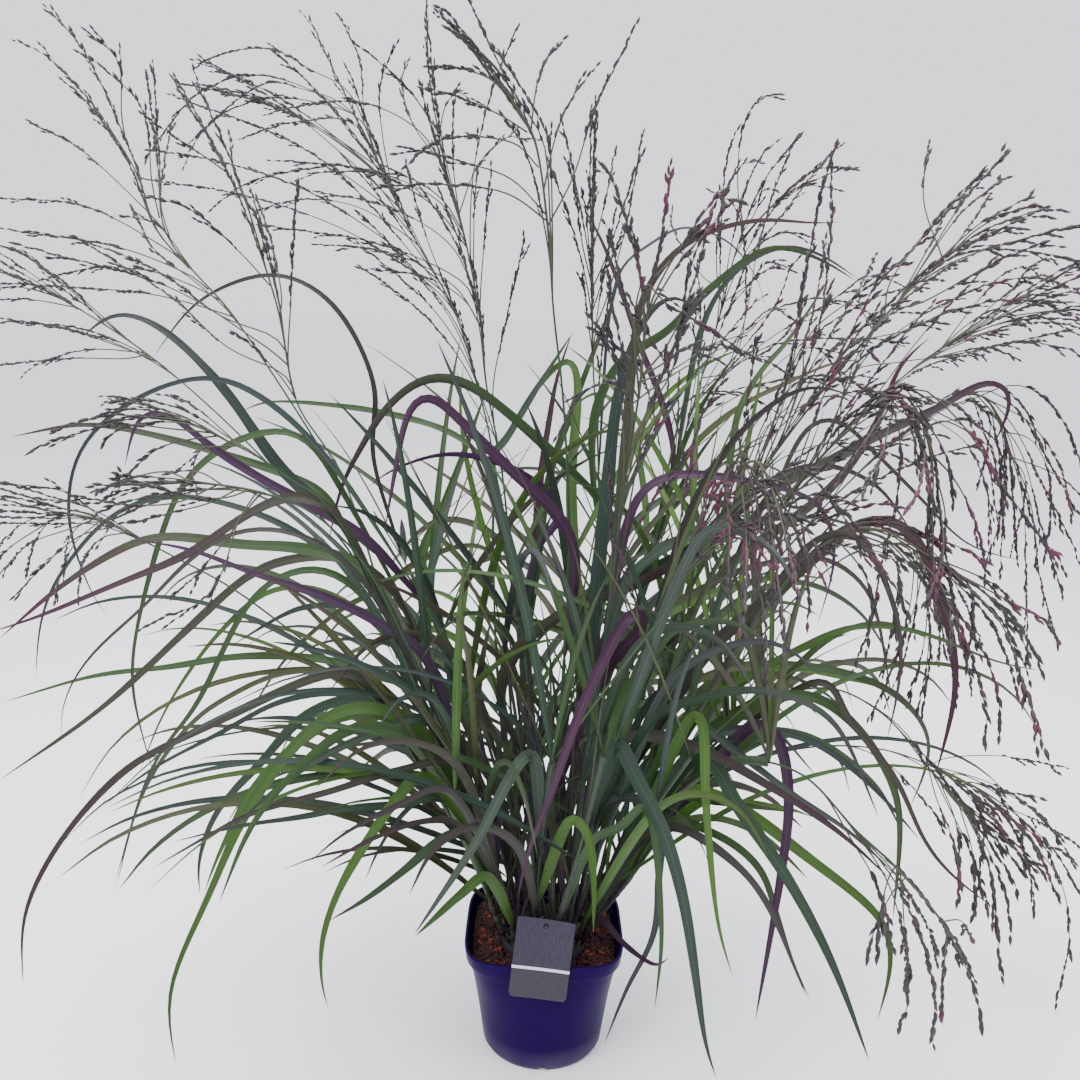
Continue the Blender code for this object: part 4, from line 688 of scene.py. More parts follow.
# Flowering stems, left to right round the clump
FLOWERING = [
    stem(
        (-2.9, 0.7), 6,
        [(-5, 24), (-9, 35), (-12.6, 45.3), (-16, 52.3), (-19.5, 60), (-25.3, 70.8), (-33.6, 83.9)],
        leaf(58, 13, 2, (-24.3, 63.7), (-29.8, 68.7), (-35.5, 77), (-41.5, 83), (-46.5, 84.7), (-50.5, 82),
             tone="grey", tip=0.3),
        leaf(54, 8, -6, (-23, 66), (-27.3, 72.4), (-33.9, 71.7), (-40.3, 66.7), (-44.6, 56), (-47.2, 45.1),
             (-46.3, 37), (-44.9, 30.9), tone="green", tip=0.25),
        leaf(44, 11, -10, (-17.5, 55), (-22, 58.4), (-27.1, 58.7), (-33, 56.9), (-40.3, 50.4),
             (-50.8, 40.6),
             (-63.5, 31.4), tone="dark", tip=0.2),
        leaf(30, 9, 20, (-10, 42), (-15, 46), (-21, 45), (-26, 40)),
        flower=head(
            12, [(-37.5, 88.5), (-41.8, 93.4), (-43.8, 100.3), (-47.8, 109.9), (-51.5, 114.4)],
            twig(0.02, 20, (-39, 86), (-45, 87), (-58, 87.6)),
            twig(0.12, 2, (-39, 89), (-46, 91.5), (-57, 93)),
            twig(0.2, 12, (-41, 91.5), (-49, 95.5), (-58, 96.2)),
            twig(0.32, 18, (-43.5, 96), (-49, 101), (-53.9, 103.6)),
            twig(0.36, 4, (-42, 98), (-42.6, 105.1), (-47, 109.6)),
            twig(0.28, 20, (-41.2, 96), (-40.6, 100), (-39.6, 104)),
            full=6, low=0.03,
        ),
    ),
    stem(
        (-1.5, -0.9), -4,
        [(-3.8, 28), (-8, 42), (-13, 52), (-18.6, 61), (-24.5, 70.6), (-27.8, 76.1)],
        leaf(54, 11, -12, (-20, 60.5), (-24.5, 63.4), (-30.7, 66.7), (-36.4, 70.2), (-41.1, 73.9),
             (-43.4, 74.6),
             (-45.1, 73.3), (-46.6, 68.3), tone="purple", tip=0.6),
        leaf(57, 7, 6, (-21.8, 66), (-25.6, 71), (-30.4, 75.5), (-36.6, 78.3), (-44.7, 75.9), (-51.3, 70.2),
             (-53.1, 62), (-50.9, 53.5), (-49.2, 51), tone="grey", tip=0.2),
        leaf(36, 10, -16, (-9.5, 46), (-14, 50), (-20, 49), (-25, 43)),
        flower=head(
            -4, [(-29.5, 85.8), (-32.6, 95.5), (-35.7, 102.2), (-39.1, 108.3)],
            twig(0.03, 4, (-29.5, 79), (-35, 81.5), (-41, 86.8), (-49.1, 91.7)),
            twig(0.1, -12, (-31.5, 82), (-41, 87.6), (-55.3, 91.3)),
            twig(0.25, 6, (-29, 87), (-29.8, 92), (-31.2, 96.6)),
            twig(0.5, 2, (-32, 95), (-33.4, 99), (-33.8, 102)),
            twig(0.35, -14, (-33, 91), (-37.5, 95), (-41.5, 96.5)),
            twig(0.7, -10, (-37, 101), (-41, 103.5)),
            full=5, low=0.03,
        ),
    ),
    stem(
        (-4.1, 1.5), 14,
        [(-6.8, 24), (-11.5, 38), (-17, 50), (-22, 59), (-26.5, 64.5), (-31.3, 69.4), (-35.9, 74),
         (-41.5, 79)],
        leaf(55, 10, 10, (-24.5, 65.3), (-29.1, 67.8), (-36.6, 70.2), (-44.7, 72.2), (-51, 72.9),
             (-58.8, 71.4), tone="green", tip=0.75),
        leaf(44, 8, 18, (-19, 55.5), (-24.6, 59.1), (-31, 63), (-40.4, 65.3), (-48, 63.2), (-54.5, 56.2),
             (-57.1, 50.5), (-58.1, 44), tone="blue", tip=0.3),
        leaf(33, 10, 12, (-16, 43.6), (-24.9, 46.8), (-34.6, 47.1), (-43.1, 45.6), (-51.7, 44.4),
             (-62.3, 41), tone="green", tip=0.1),
        flower=head(
            20, [(-47, 83), (-53, 86.5), (-58.5, 88.8), (-63, 90.4)],
            twig(0.05, 10, (-45, 80.8), (-52, 83), (-59, 84)),
            twig(0.1, 24, (-46, 80), (-52, 79.9), (-60, 79)),
            twig(0.3, 12, (-50, 86), (-55, 90), (-58.5, 91.6)),
            twig(0.45, 26, (-56, 86), (-61.5, 85.6)),
            full=6, low=0.04,
        ),
    ),
    stem(
        (-4.0, -0.7), -14,
        [(-7.4, 26), (-12.6, 38), (-17.4, 50), (-21.4, 59), (-25, 64.8), (-28.5, 67.3), (-32.3, 69.9)],
        leaf(46, 12, -8, (-20, 56.6), (-27, 59.6), (-34.1, 59.9), (-42.6, 60.8), (-47.6, 59.2),
             (-54.8, 54.6),
             (-62, 48.5), tone="green", tip=0.95),
        leaf(51, 11, -20, (-23, 62.5), (-28, 65.6), (-33.8, 63.1), (-40, 58.8), (-48, 55.3), (-57.4, 51.2),
             (-64, 49), tone="dark", tip=0.8),
        leaf(26, 10, 6, (-11, 37), (-17, 40.5), (-24, 38), (-29, 33)),
        flower=head(
            -18, [(-35.1, 71.3), (-39.6, 73.4), (-44.6, 73.9), (-47.6, 73.4)],
            twig(0.35, -24, (-41, 72.6), (-46.5, 73), (-51.2, 72), (-55.1, 70.7)),
            twig(0.1, -10, (-36, 72.8), (-38.6, 75), (-40.6, 76)),
            twig(0.15, -22, (-38, 70.5), (-39.2, 68), (-38.8, 66.3)),
            twig(0.5, -10, (-43, 75), (-46, 75.6)),
            full=5, low=0.03,
        ),
    ),
    stem(
        (-2.9, -2.5), -24,
        [(-5.8, 22), (-10.6, 36), (-15.6, 48), (-20, 57), (-24, 61.8), (-27.4, 64.3), (-31.3, 65.7)],
        leaf(42, 6, -24, (-20, 55), (-27, 61), (-34.4, 61.6), (-40, 58.2), (-45.3, 52.7), (-52.1, 46.5),
             (-55.6, 40.4), (-55.7, 36.2), tone="dark", tip=0.3),
        leaf(33, 11, -18, (-13.5, 46.5), (-17.8, 50.3), (-24.4, 53.9), (-32.8, 56.6), (-39.8, 59.3),
             (-47, 60.4), tone="violet", tip=0.9),
        leaf(24, 10, -30, (-9.5, 33), (-14.5, 37), (-21, 36.5), (-27, 31)),
        flower=head(
            -30, [(-35.5, 66.5), (-41, 66.8), (-47.2, 66.4)],
            twig(0.02, -20, (-33, 64.5), (-36, 60.4), (-39.3, 56.5), (-41.9, 54.3)),
            twig(0.06, -34, (-34.5, 62.5), (-36.4, 57), (-39, 53.4), (-43, 51.6)),
            twig(0.3, -24, (-38.6, 68), (-42, 67.9)),
            twig(0.35, -36, (-41, 64.6), (-46, 64.2), (-51.9, 65)),
            twig(0.5, -22, (-43, 67.9), (-50.2, 65.6)),
            full=5, low=0.03,
        ),
    ),
    stem(
        (-4.5, -2.2), -6,
        [(-9, 24), (-15, 35), (-20.6, 43.2), (-30.1, 51), (-35.6, 55.1), (-41.2, 58.2), (-46, 60.7)],
        leaf(20, 13, -26, (-12, 34), (-18, 41), (-24.7, 40.6), (-30.6, 34.5), (-35.5, 26.9), (-39.9, 16.7),
             (-43.6, 8.8), (-45.4, 2.6), (-44.6, -6), tone="fresh", tip=0.05),
        leaf(32, 11, -8, (-20.5, 44.8), (-26, 44.9), (-33.5, 41.4), (-41.2, 37.4), (-47.8, 33.8),
             (-54, 27.6),
             (-58.8, 20.8), (-62, 13.6), (-62.6, 4.7), tone="dark", tip=0.6),
        leaf(26, 8, 10, (-15, 38.6), (-22, 42.8), (-30, 42), (-37.2, 38), (-45.7, 33.2), (-51.6, 28.4),
             tone="blue", tip=0.2),
        flower=head(
            -6, [(-50.2, 62.6), (-55.2, 63.4), (-60.8, 64.7)],
            twig(0.15, -12, (-52, 60.6), (-56, 57.4), (-59.3, 54)),
            twig(0.3, 2, (-53, 61.4), (-57.6, 59.6), (-61, 56.4)),
            twig(0.05, 2, (-49.6, 60.4), (-51.6, 58), (-52.6, 54.5)),
            twig(0.25, -16, (-52.4, 60), (-54.4, 56.4), (-55.2, 53.2)),
            twig(0.2, -14, (-53, 65.4), (-59.5, 66.3)),
            twig(0.5, 4, (-58, 62), (-62.4, 58)),
            full=6, low=0.03,
        ),
    ),
    stem(
        (-1.7, 2.2), 24,
        [(-4, 30), (-5.8, 45), (-6.5, 60), (-6.6, 70), (-8.5, 78.5), (-11, 86)],
        leaf(62, 9, 26, (-7.8, 70), (-11.5, 72.9), (-17.5, 74.6), (-24.1, 75.5), (-30.9, 75.7),
             (-34.4, 74.2), tone="green", tip=0.1),
        leaf(40, 11, -22, (-4.8, 47.5), (0.7, 52.5), (7.2, 56.2), (12.8, 59.2), (18.5, 62.9), (21.2, 66.5),
             (24.6, 67.8), tone="grey", tip=0.1),
        leaf(31, 11, 42, (-6, 44), (-11, 50), (-17, 50.5), (-22, 46)),
        flower=head(
            30, [(-15, 93), (-19, 101), (-22.5, 108), (-25.3, 113.9)],
            twig(0.05, 36, (-14, 89), (-23, 94), (-33, 97), (-42.7, 98.3)),
            twig(0.1, 24, (-15.5, 91), (-25, 97), (-34, 100), (-42, 101.2)),
            twig(0.25, 34, (-18.5, 96.6), (-28, 102.5), (-38.6, 106.2)),
            twig(0.35, 26, (-20.5, 99.6), (-28, 105.5), (-36.1, 110)),
            twig(0.5, 38, (-20, 105), (-20.4, 110), (-22, 113.6)),
            twig(0.4, 22, (-18.2, 103), (-18.4, 107.6), (-17.1, 111.4)),
            full=12, low=0.14,
        ),
    ),
    stem(
        (-0.1, 0.6), 12,
        [(-1.5, 30), (-3, 46), (-4.6, 60), (-5.8, 70), (-7.4, 78), (-8, 84)],
        leaf(50, 10, 0, (-1.6, 60.5), (1, 64), (-1.7, 67.4), (-6.6, 69.8), (-12.1, 70.4), (-17.7, 68.5),
             (-20.2, 66.6), tone="purple", tip=0.5),
        leaf(28, 10, 34, (0, 40), (4, 46), (9, 47), (14, 41)),
        flower=head(
            14, [(-9.5, 92), (-12, 101), (-13.4, 109), (-13.7, 116.1)],
            twig(0.05, 8, (-10.5, 89), (-19, 92.4), (-30.2, 93.9)),
            twig(0.12, 20, (-11.5, 92.6), (-17.5, 96), (-25, 97.4)),
            twig(0.25, 4, (-13.5, 96.6), (-20, 99.6), (-27.7, 100.4)),
            twig(0.5, 22, (-15, 104), (-16.2, 108), (-15.6, 110)),
            twig(0.35, 22, (-8.6, 100), (-5.6, 103), (-3.6, 102.8)),
            twig(0.6, 8, (-15.6, 107.6), (-19.4, 110.8)),
            full=12, low=0.16,
        ),
    ),
    stem(
        (0.9, -1.1), -16,
        [(1.2, 30), (1.6, 46), (1.9, 60), (1, 75), (-0.4, 86), (-1, 93)],
        leaf(50, 11, -24, (2.6, 58.5), (0.8, 63.7), (-3.4, 67.6), (-9.7, 73.6), (-13.5, 77), (-15.7, 75.2),
             (-17.3, 68), (-18.4, 61.8), tone="purple", tip=0.9),
        leaf(34, 12, -34, (6, 46), (10.4, 51), (9.6, 54), (7.4, 50.5), (3.3, 40.6), (0.6, 31.3), (-2, 24.1),
             (-3.2, 17.6), tone="wine", tip=0.9),
        flower=head(
            -20, [(-2.4, 101.9), (-4.5, 105.6), (-8, 110), (-11.9, 114.3)],
            twig(0.05, -12, (1.4, 99.5), (3.4, 106), (6.6, 112.5)),
            twig(0.1, -28, (-5, 99), (-10, 100.6), (-16, 101.9)),
            twig(0.2, -14, (-0.6, 103), (0.8, 106.6), (2.5, 108.9)),
            twig(0.45, -26, (-6.2, 105.2), (-9.6, 106.6), (-12.8, 107.4)),
            twig(0.3, -28, (-5, 102.6), (-11, 103), (-14.8, 101.2)),
            full=6, low=0.06,
        ),
    ),
    stem(
        (1.3, 1.6), 8,
        [(2.6, 30), (4, 46), (5, 60), (4.8, 70), (3.9, 81)],
        leaf(56, 12, -2, (5.6, 64.5), (1.1, 69.5), (-5.6, 75.4), (-10, 78.3), (-14.1, 78.5), (-18.2, 75.2),
             (-20.8, 71), (-23.1, 66.6), (-24.6, 60.4), tone="green", tip=0.9),
        leaf(45, 13, 22, (2.6, 58), (1.9, 68), (2.4, 78), (1, 81), (-3.9, 75), tone="fresh", tip=0.05),
        leaf(25, 10, 26, (4.5, 36), (8, 41), (13, 40), (17, 34)),
        flower=head(
            6, [(3.6, 90), (3.4, 98), (3.5, 105.4)],
            twig(0.1, 12, (5.4, 88), (7, 95), (8.2, 102.8)),
            twig(0.3, 0, (2.4, 93), (1.6, 98), (0.8, 100.6)),
            twig(0.45, 10, (4.6, 96.5), (5.4, 101)),
            twig(0.2, -2, (5, 90), (6.4, 93.4)),
            full=8, low=0.12,
        ),
    ),
    stem(
        (2.5, -0.3), -30,
        [(3.9, 30), (5.6, 44), (6.8, 57), (7.6, 67), (8.9, 77)],
        leaf(42, 15, -16, (5.2, 56), (5.9, 66), (6.6, 76), (8.6, 84), (12, 88), (15, 86),
             tone="blue", tip=0.15),
        leaf(46, 10, -14, (8.4, 64), (12.7, 68.6), (19.6, 68.3), (24.7, 67.4), (29.3, 65.7), (31.1, 60.8),
             (31, 57.7), (29.7, 51.6), tone="purple", tip=0.6),
        leaf(36, 10, -40, (8.6, 47), (13.6, 51.6), (19, 50), (23.6, 43.6)),
        flower=head(
            -34, [(9.5, 86), (10.6, 93.5), (11.4, 99.7)],
            twig(0.1, -26, (12, 83), (14.4, 89.5), (15.5, 95.2)),
            twig(0.2, -40, (7.6, 86), (6, 91), (5, 94.4)),
            twig(0.4, -28, (12.6, 91), (16, 95), (17, 97.6)),
            twig(0.08, -22, (12.5, 80), (16.5, 82.6), (19, 82)),
            twig(0.3, -40, (8.6, 90), (7.4, 95)),
            rose=0.28, full=9, low=0.24, grain=1.15,
        ),
    ),
    stem(
        (2.3, 3.0), 34,
        [(5, 30), (8, 46), (11, 60), (14, 73), (17, 85)],
        leaf(66, 9, 24, (15, 83), (18, 89.6), (22.8, 92.7), (27, 92.2), (31.4, 89.7), tone="grey", tip=0.2),
        leaf(52, 9, 46, (10, 66), (8, 74), (4.6, 77.4), (1, 75), tone="fresh", tip=0.1),
        leaf(30, 11, 44, (9, 43), (15, 49), (21, 48), (26, 43)),
        flower=head(
            38, [(18.5, 92.4), (20.7, 98.8), (24.1, 103.7)],
            twig(0.08, 30, (16.5, 91), (16.8, 97), (18.6, 100.8), (20.6, 101)),
            twig(0.2, 46, (21.6, 94), (25.6, 99.6), (28.3, 102.9)),
            twig(0.1, 28, (20, 89), (21.5, 91), (23.6, 91)),
            twig(0.4, 32, (22.6, 97.6), (26, 100.4), (29.6, 100.8)),
            twig(0.15, 44, (14.8, 90), (12, 94), (11.6, 96)),
            rose=0.25, full=11, low=0.32, grain=1.15,
        ),
    ),
    stem(
        (3.2, -1.6), -12,
        [(6, 28), (10, 42), (15, 55), (20.4, 65.6), (26.4, 75), (33, 84)],
        leaf(50, 11, -4, (19.5, 58.5), (25.8, 63.6), (30.2, 67.5), (33.1, 71.7), (35.1, 76.1), (36.5, 80.8),
             (39.6, 84), tone="dusk", tip=0.95),
        leaf(40, 10, -30, (13, 57), (15.6, 66), (20.5, 74), (27, 78.6), (33, 77), tone="dark", tip=0.3),
        leaf(28, 10, -2, (12, 40), (18, 46), (25, 46.4), (31, 41)),
        flower=head(
            -10, [(38, 90), (43.6, 94.6), (49.7, 97.1)],
            twig(0.1, -2, (35, 90), (39.4, 96), (43.4, 100.5)),
            twig(0.3, -18, (42, 92), (50, 94.6), (58, 96.6)),
            twig(0.15, -20, (38.6, 87.6), (45, 91.4), (49.5, 93.4)),
            twig(0.02, 0, (31.6, 88), (33, 92.1)),
            twig(0.2, -2, (38.6, 93.4), (40, 97)),
            rose=0.40, full=13, low=0.30, grain=1.15,
        ),
    ),
    stem(
        (3.9, 1.1), 12,
        [(7, 28), (12, 42), (18, 55), (24, 64.6), (31, 73.4), (38, 80.6)],
        leaf(56, 12, 4, (23.6, 66.6), (29, 70), (35.6, 73.7), (41.2, 76.5), (45.9, 79.4), (48.7, 78.1),
             (48.1, 74.6), (47.2, 72.3), tone="dark", tip=0.8),
        leaf(42, 10, 30, (16, 58), (21, 66), (28, 70), (35, 68), (40, 62), tone="dark", tip=0.3),
        leaf(26, 11, 24, (12, 36), (18, 41), (25, 40), (31, 34)),
        flower=head(
            16, [(44, 84.6), (50, 87.6), (56, 89.6)],
            twig(0.1, 8, (43, 82), (48.6, 83.6), (54.1, 83)),
            twig(0.2, 24, (47, 85), (53, 85.6), (59, 83.6)),
            twig(0.3, 8, (48.6, 88), (54, 91.4), (58.6, 92)),
            twig(0.15, 24, (43.6, 87), (46.6, 90.6), (49.6, 91.4)),
            twig(0.5, 6, (54, 87), (58, 86)),
            rose=0.5, full=14, low=0.26, grain=1.15,
        ),
    ),
    stem(
        (4.6, -0.4), 22,
        [(8.4, 28), (14, 41), (20.6, 53), (27.6, 63), (34.4, 70.6), (40, 75.4)],
        leaf(52, 6, 32, (24, 66), (27, 74), (30.4, 75), (34.3, 71.8), (39.7, 66.9), (45.6, 61.6),
             (52, 59.8), tone="dark", tip=0.7),
        leaf(34, 10, 36, (14.6, 47), (20, 54), (27, 57), (34, 54), (38.6, 48), tone="green", tip=0.2),
        flower=head(
            22, [(44.9, 78), (48.2, 74.5), (49.8, 68.2), (51.2, 60.6)],
            twig(0.15, 12, (48.6, 79), (52.4, 77.6), (55.6, 73.6), (58, 68)),
            twig(0.2, 30, (46.6, 75.4), (46.7, 72), (46.1, 68.6)),
            twig(0.3, 14, (50.4, 71.8), (53.4, 64), (56.6, 56.5)),
            twig(0.35, 30, (48.6, 69), (48.8, 64), (47.8, 59.4)),
            twig(0.45, 32, (52, 66.4), (54, 58), (56.8, 50.6)),
            twig(0.25, 10, (51, 75), (54.6, 70.6), (56.6, 65.6)),
            rose=0.3, full=14, low=0.28, grain=1.25,
        ),
    ),
    stem(
        (2.9, -3.0), -24,
        [(6.2, 24), (11, 38), (17, 51), (23, 62), (29.4, 71.6), (34, 76.5)],
        leaf(38, 14, -20, (17.4, 48.2), (22, 52.8), (27.1, 57.8), (31.5, 62.3), (35.8, 64.6), (39.7, 62.7),
             (42.4, 57.5), (45, 50.6), (46, 44.1), (44.6, 34), tone="dark", tip=0.9),
        leaf(30, 10, -38, (12.6, 43), (18, 48.6), (25, 50), (31, 46)),
        flower=head(
            -28, [(36.8, 77.9), (39.2, 75.4), (41.2, 70.6), (42.4, 64.4), (44.6, 55.6)],
            twig(0.15, -20, (39.6, 77.6), (43, 76.6), (45.4, 74.6)),
            twig(0.12, -38, (36, 75), (35.4, 71.4), (34, 68.4)),
            twig(0.3, -36, (40, 71.6), (39.8, 68), (38.6, 65.4)),
            twig(0.4, -22, (43.6, 68.6), (46, 64.6), (47.8, 59.6)),
            twig(0.6, -36, (43, 61.4), (42.6, 58), (41.6, 55)),
            rose=0.62, full=14, low=0.30, grain=1.2,
        ),
    ),
    stem(
        (4.4, -2.1), -27,
        [(8.6, 24), (14, 36), (19.6, 46.6), (25.2, 55.6), (30.9, 62.2)],
        leaf(40, 7, -40, (25.6, 57.6), (30.6, 62.8), (33.8, 62.4), (36.7, 57.8), (39.2, 51.4), (39.5, 44.6),
             (38.6, 38), tone="dark", tip=0.4),
        leaf(26, 8, -28, (14.6, 39.6), (21.7, 45.4), (27.9, 49.2), (33.1, 51.9), (39, 52), (44.4, 50.5),
             (50.3, 48), (56.2, 47.1), tone="fresh", tip=0.1),
        flower=head(
            -32, [(36, 63), (40.9, 60.6), (46.9, 57), (51.4, 53.4), (54.4, 49.4)],
            twig(0.4, -24, (47.6, 54.6), (50.4, 50.6), (52.3, 46.5)),
            twig(0.5, -40, (50, 53), (53.4, 46), (56.6, 38.5)),
            twig(0.25, -40, (42.6, 57.6), (44.4, 54), (44.8, 50.6)),
            twig(0.12, -24, (37.6, 60.6), (38.6, 56), (38.4, 51.6)),
            twig(0.55, -26, (51.4, 55), (54.6, 53.4), (57, 50.6)),
            rose=0.5, full=9, low=0.12, grain=1.3,
        ),
    ),
    stem(
        (4.7, 0.9), 6,
        [(9.6, 26), (15.6, 38), (21.8, 48), (27.8, 55.8), (33.6, 60.6), (39.3, 61.2)],
        leaf(26, 12, -14, (16.6, 37), (22.5, 41.6), (27.4, 43.9), (31.5, 43.1), (36.6, 38.5), (40.4, 31.9),
             (41.3, 25.5), (41.3, 15.8), tone="green", tip=0.3),
        leaf(33, 11, 10, (18.6, 45.8), (27.8, 47.2), (35.5, 45.9), (40.7, 42.9), (43.5, 38.8), (43.3, 34.5),
             (42, 30.2), tone="green", tip=0.5),
        flower=head(
            6, [(41.4, 57), (42.6, 50), (42.6, 43.6)],
            twig(0.05, 14, (42, 60.6), (45.4, 56), (48.2, 50.6)),
            twig(0.3, -2, (43.4, 54), (44.8, 49), (46.1, 44.7)),
            twig(0.2, 16, (40.6, 55), (39.6, 51), (38.6, 48)),
            rose=0.3, full=7, low=0.12, grain=1.3,
        ),
    ),
    stem(
        (2.3, -3.6), -36,
        [(4.6, 24), (7.6, 37), (11.4, 50), (15.6, 61), (19.4, 68)],
        leaf(36, 10, -30, (11.6, 48), (16.4, 52), (22, 51.6), (27, 46.6), tone="green", tip=0.3),
        leaf(46, 9, -50, (15.4, 60.4), (20, 62.6), (25, 60), (28, 54)),
        flower=head(
            -42, [(21.9, 70.3), (24.6, 65.6), (26.3, 60.9)],
            twig(0.1, -50, (20.6, 66.8), (21.4, 61), (21.6, 54)),
            twig(0.25, -34, (25.2, 68.6), (27.6, 62), (28.8, 54.1)),
            twig(0.35, -50, (23.6, 64.6), (24.8, 58.4), (26.3, 51.1)),
            twig(0.05, -34, (18.4, 70), (17, 67.6), (16.6, 64.6)),
            rose=0.62, full=12, low=0.24, grain=1.1,
        ),
    ),
    stem(
        (4.5, 2.2), 14,
        [(8.8, 20), (14, 28.5), (21.1, 34.6), (29.2, 37.4), (37.1, 37.6), (43.5, 35.8)],
        leaf(19, 11, 20, (13.6, 29), (19, 32.8), (25, 31.6), (30, 27.4)),
        leaf(24, 10, 30, (16.4, 33.6), (22, 38.8), (28.6, 39.2), (35, 35.8), (40.4, 30)),
        flower=head(
            14, [(50.4, 32.3), (56.7, 26.4), (60.1, 20)],
            twig(0.02, 22, (46, 36.6), (52, 36.9), (59.3, 35.7)),
            twig(0.2, 4, (50.6, 29), (51, 23), (50.8, 17)),
            twig(0.4, 24, (57, 29), (61.6, 26.4)),
            twig(0.6, 6, (60.4, 21.6), (62.4, 14.6), (62.2, 8)),
            rose=0.35, full=8, low=0.12, grain=1.5,
        ),
    ),
    stem(
        (3.6, 3.1), -8,
        [(9, 24), (16, 34), (24, 42.3), (31.4, 44.7), (38, 41.7), (43.2, 36)],
        leaf(24, 10, 2, (17.6, 38.6), (25, 44), (31, 50.4), (37, 52.6), (43, 50.4), tone="green", tip=0.1),
        leaf(34, 8, -18, (30, 45.6), (34, 41), (40, 34.1), (44, 26.3), (47.8, 21.8), (53.5, 17.5),
             tone="dark", tip=0.5),
        flower=head(
            -8, [(47, 31.6), (52, 27), (56.3, 22.3)],
            twig(0.05, -14, (45, 31.6), (47, 27.4), (48.9, 21.4)),
            twig(0.15, 0, (47.4, 34.6), (52, 32.8), (56.6, 32)),
            twig(0.4, -16, (51.6, 24), (53.4, 17), (54.6, 10)),
            rose=0.45, full=8, low=0.12, grain=1.5,
        ),
    ),
    stem(
        (3.6, -3.3), -18,
        [(7, 20.5), (13, 29.4), (20.5, 35.4), (28.9, 34.4), (36.2, 27.2), (41, 22.8)],
        leaf(17, 10, -34, (11, 27), (16, 31.4), (22, 30), (26, 24)),
        flower=head(
            -22, [(45.8, 17.6), (49.6, 12.6), (51.9, 8)],
            twig(0.05, -16, (42.2, 19), (42.9, 14), (43.6, 9.6)),
            twig(0.1, -28, (41, 19.6), (39.6, 16), (38.8, 12.6)),
            twig(0.5, -14, (49.4, 16), (50.8, 13.6)),
            rose=0.3, full=7, low=0.10, grain=1.6,
        ),
    ),
]

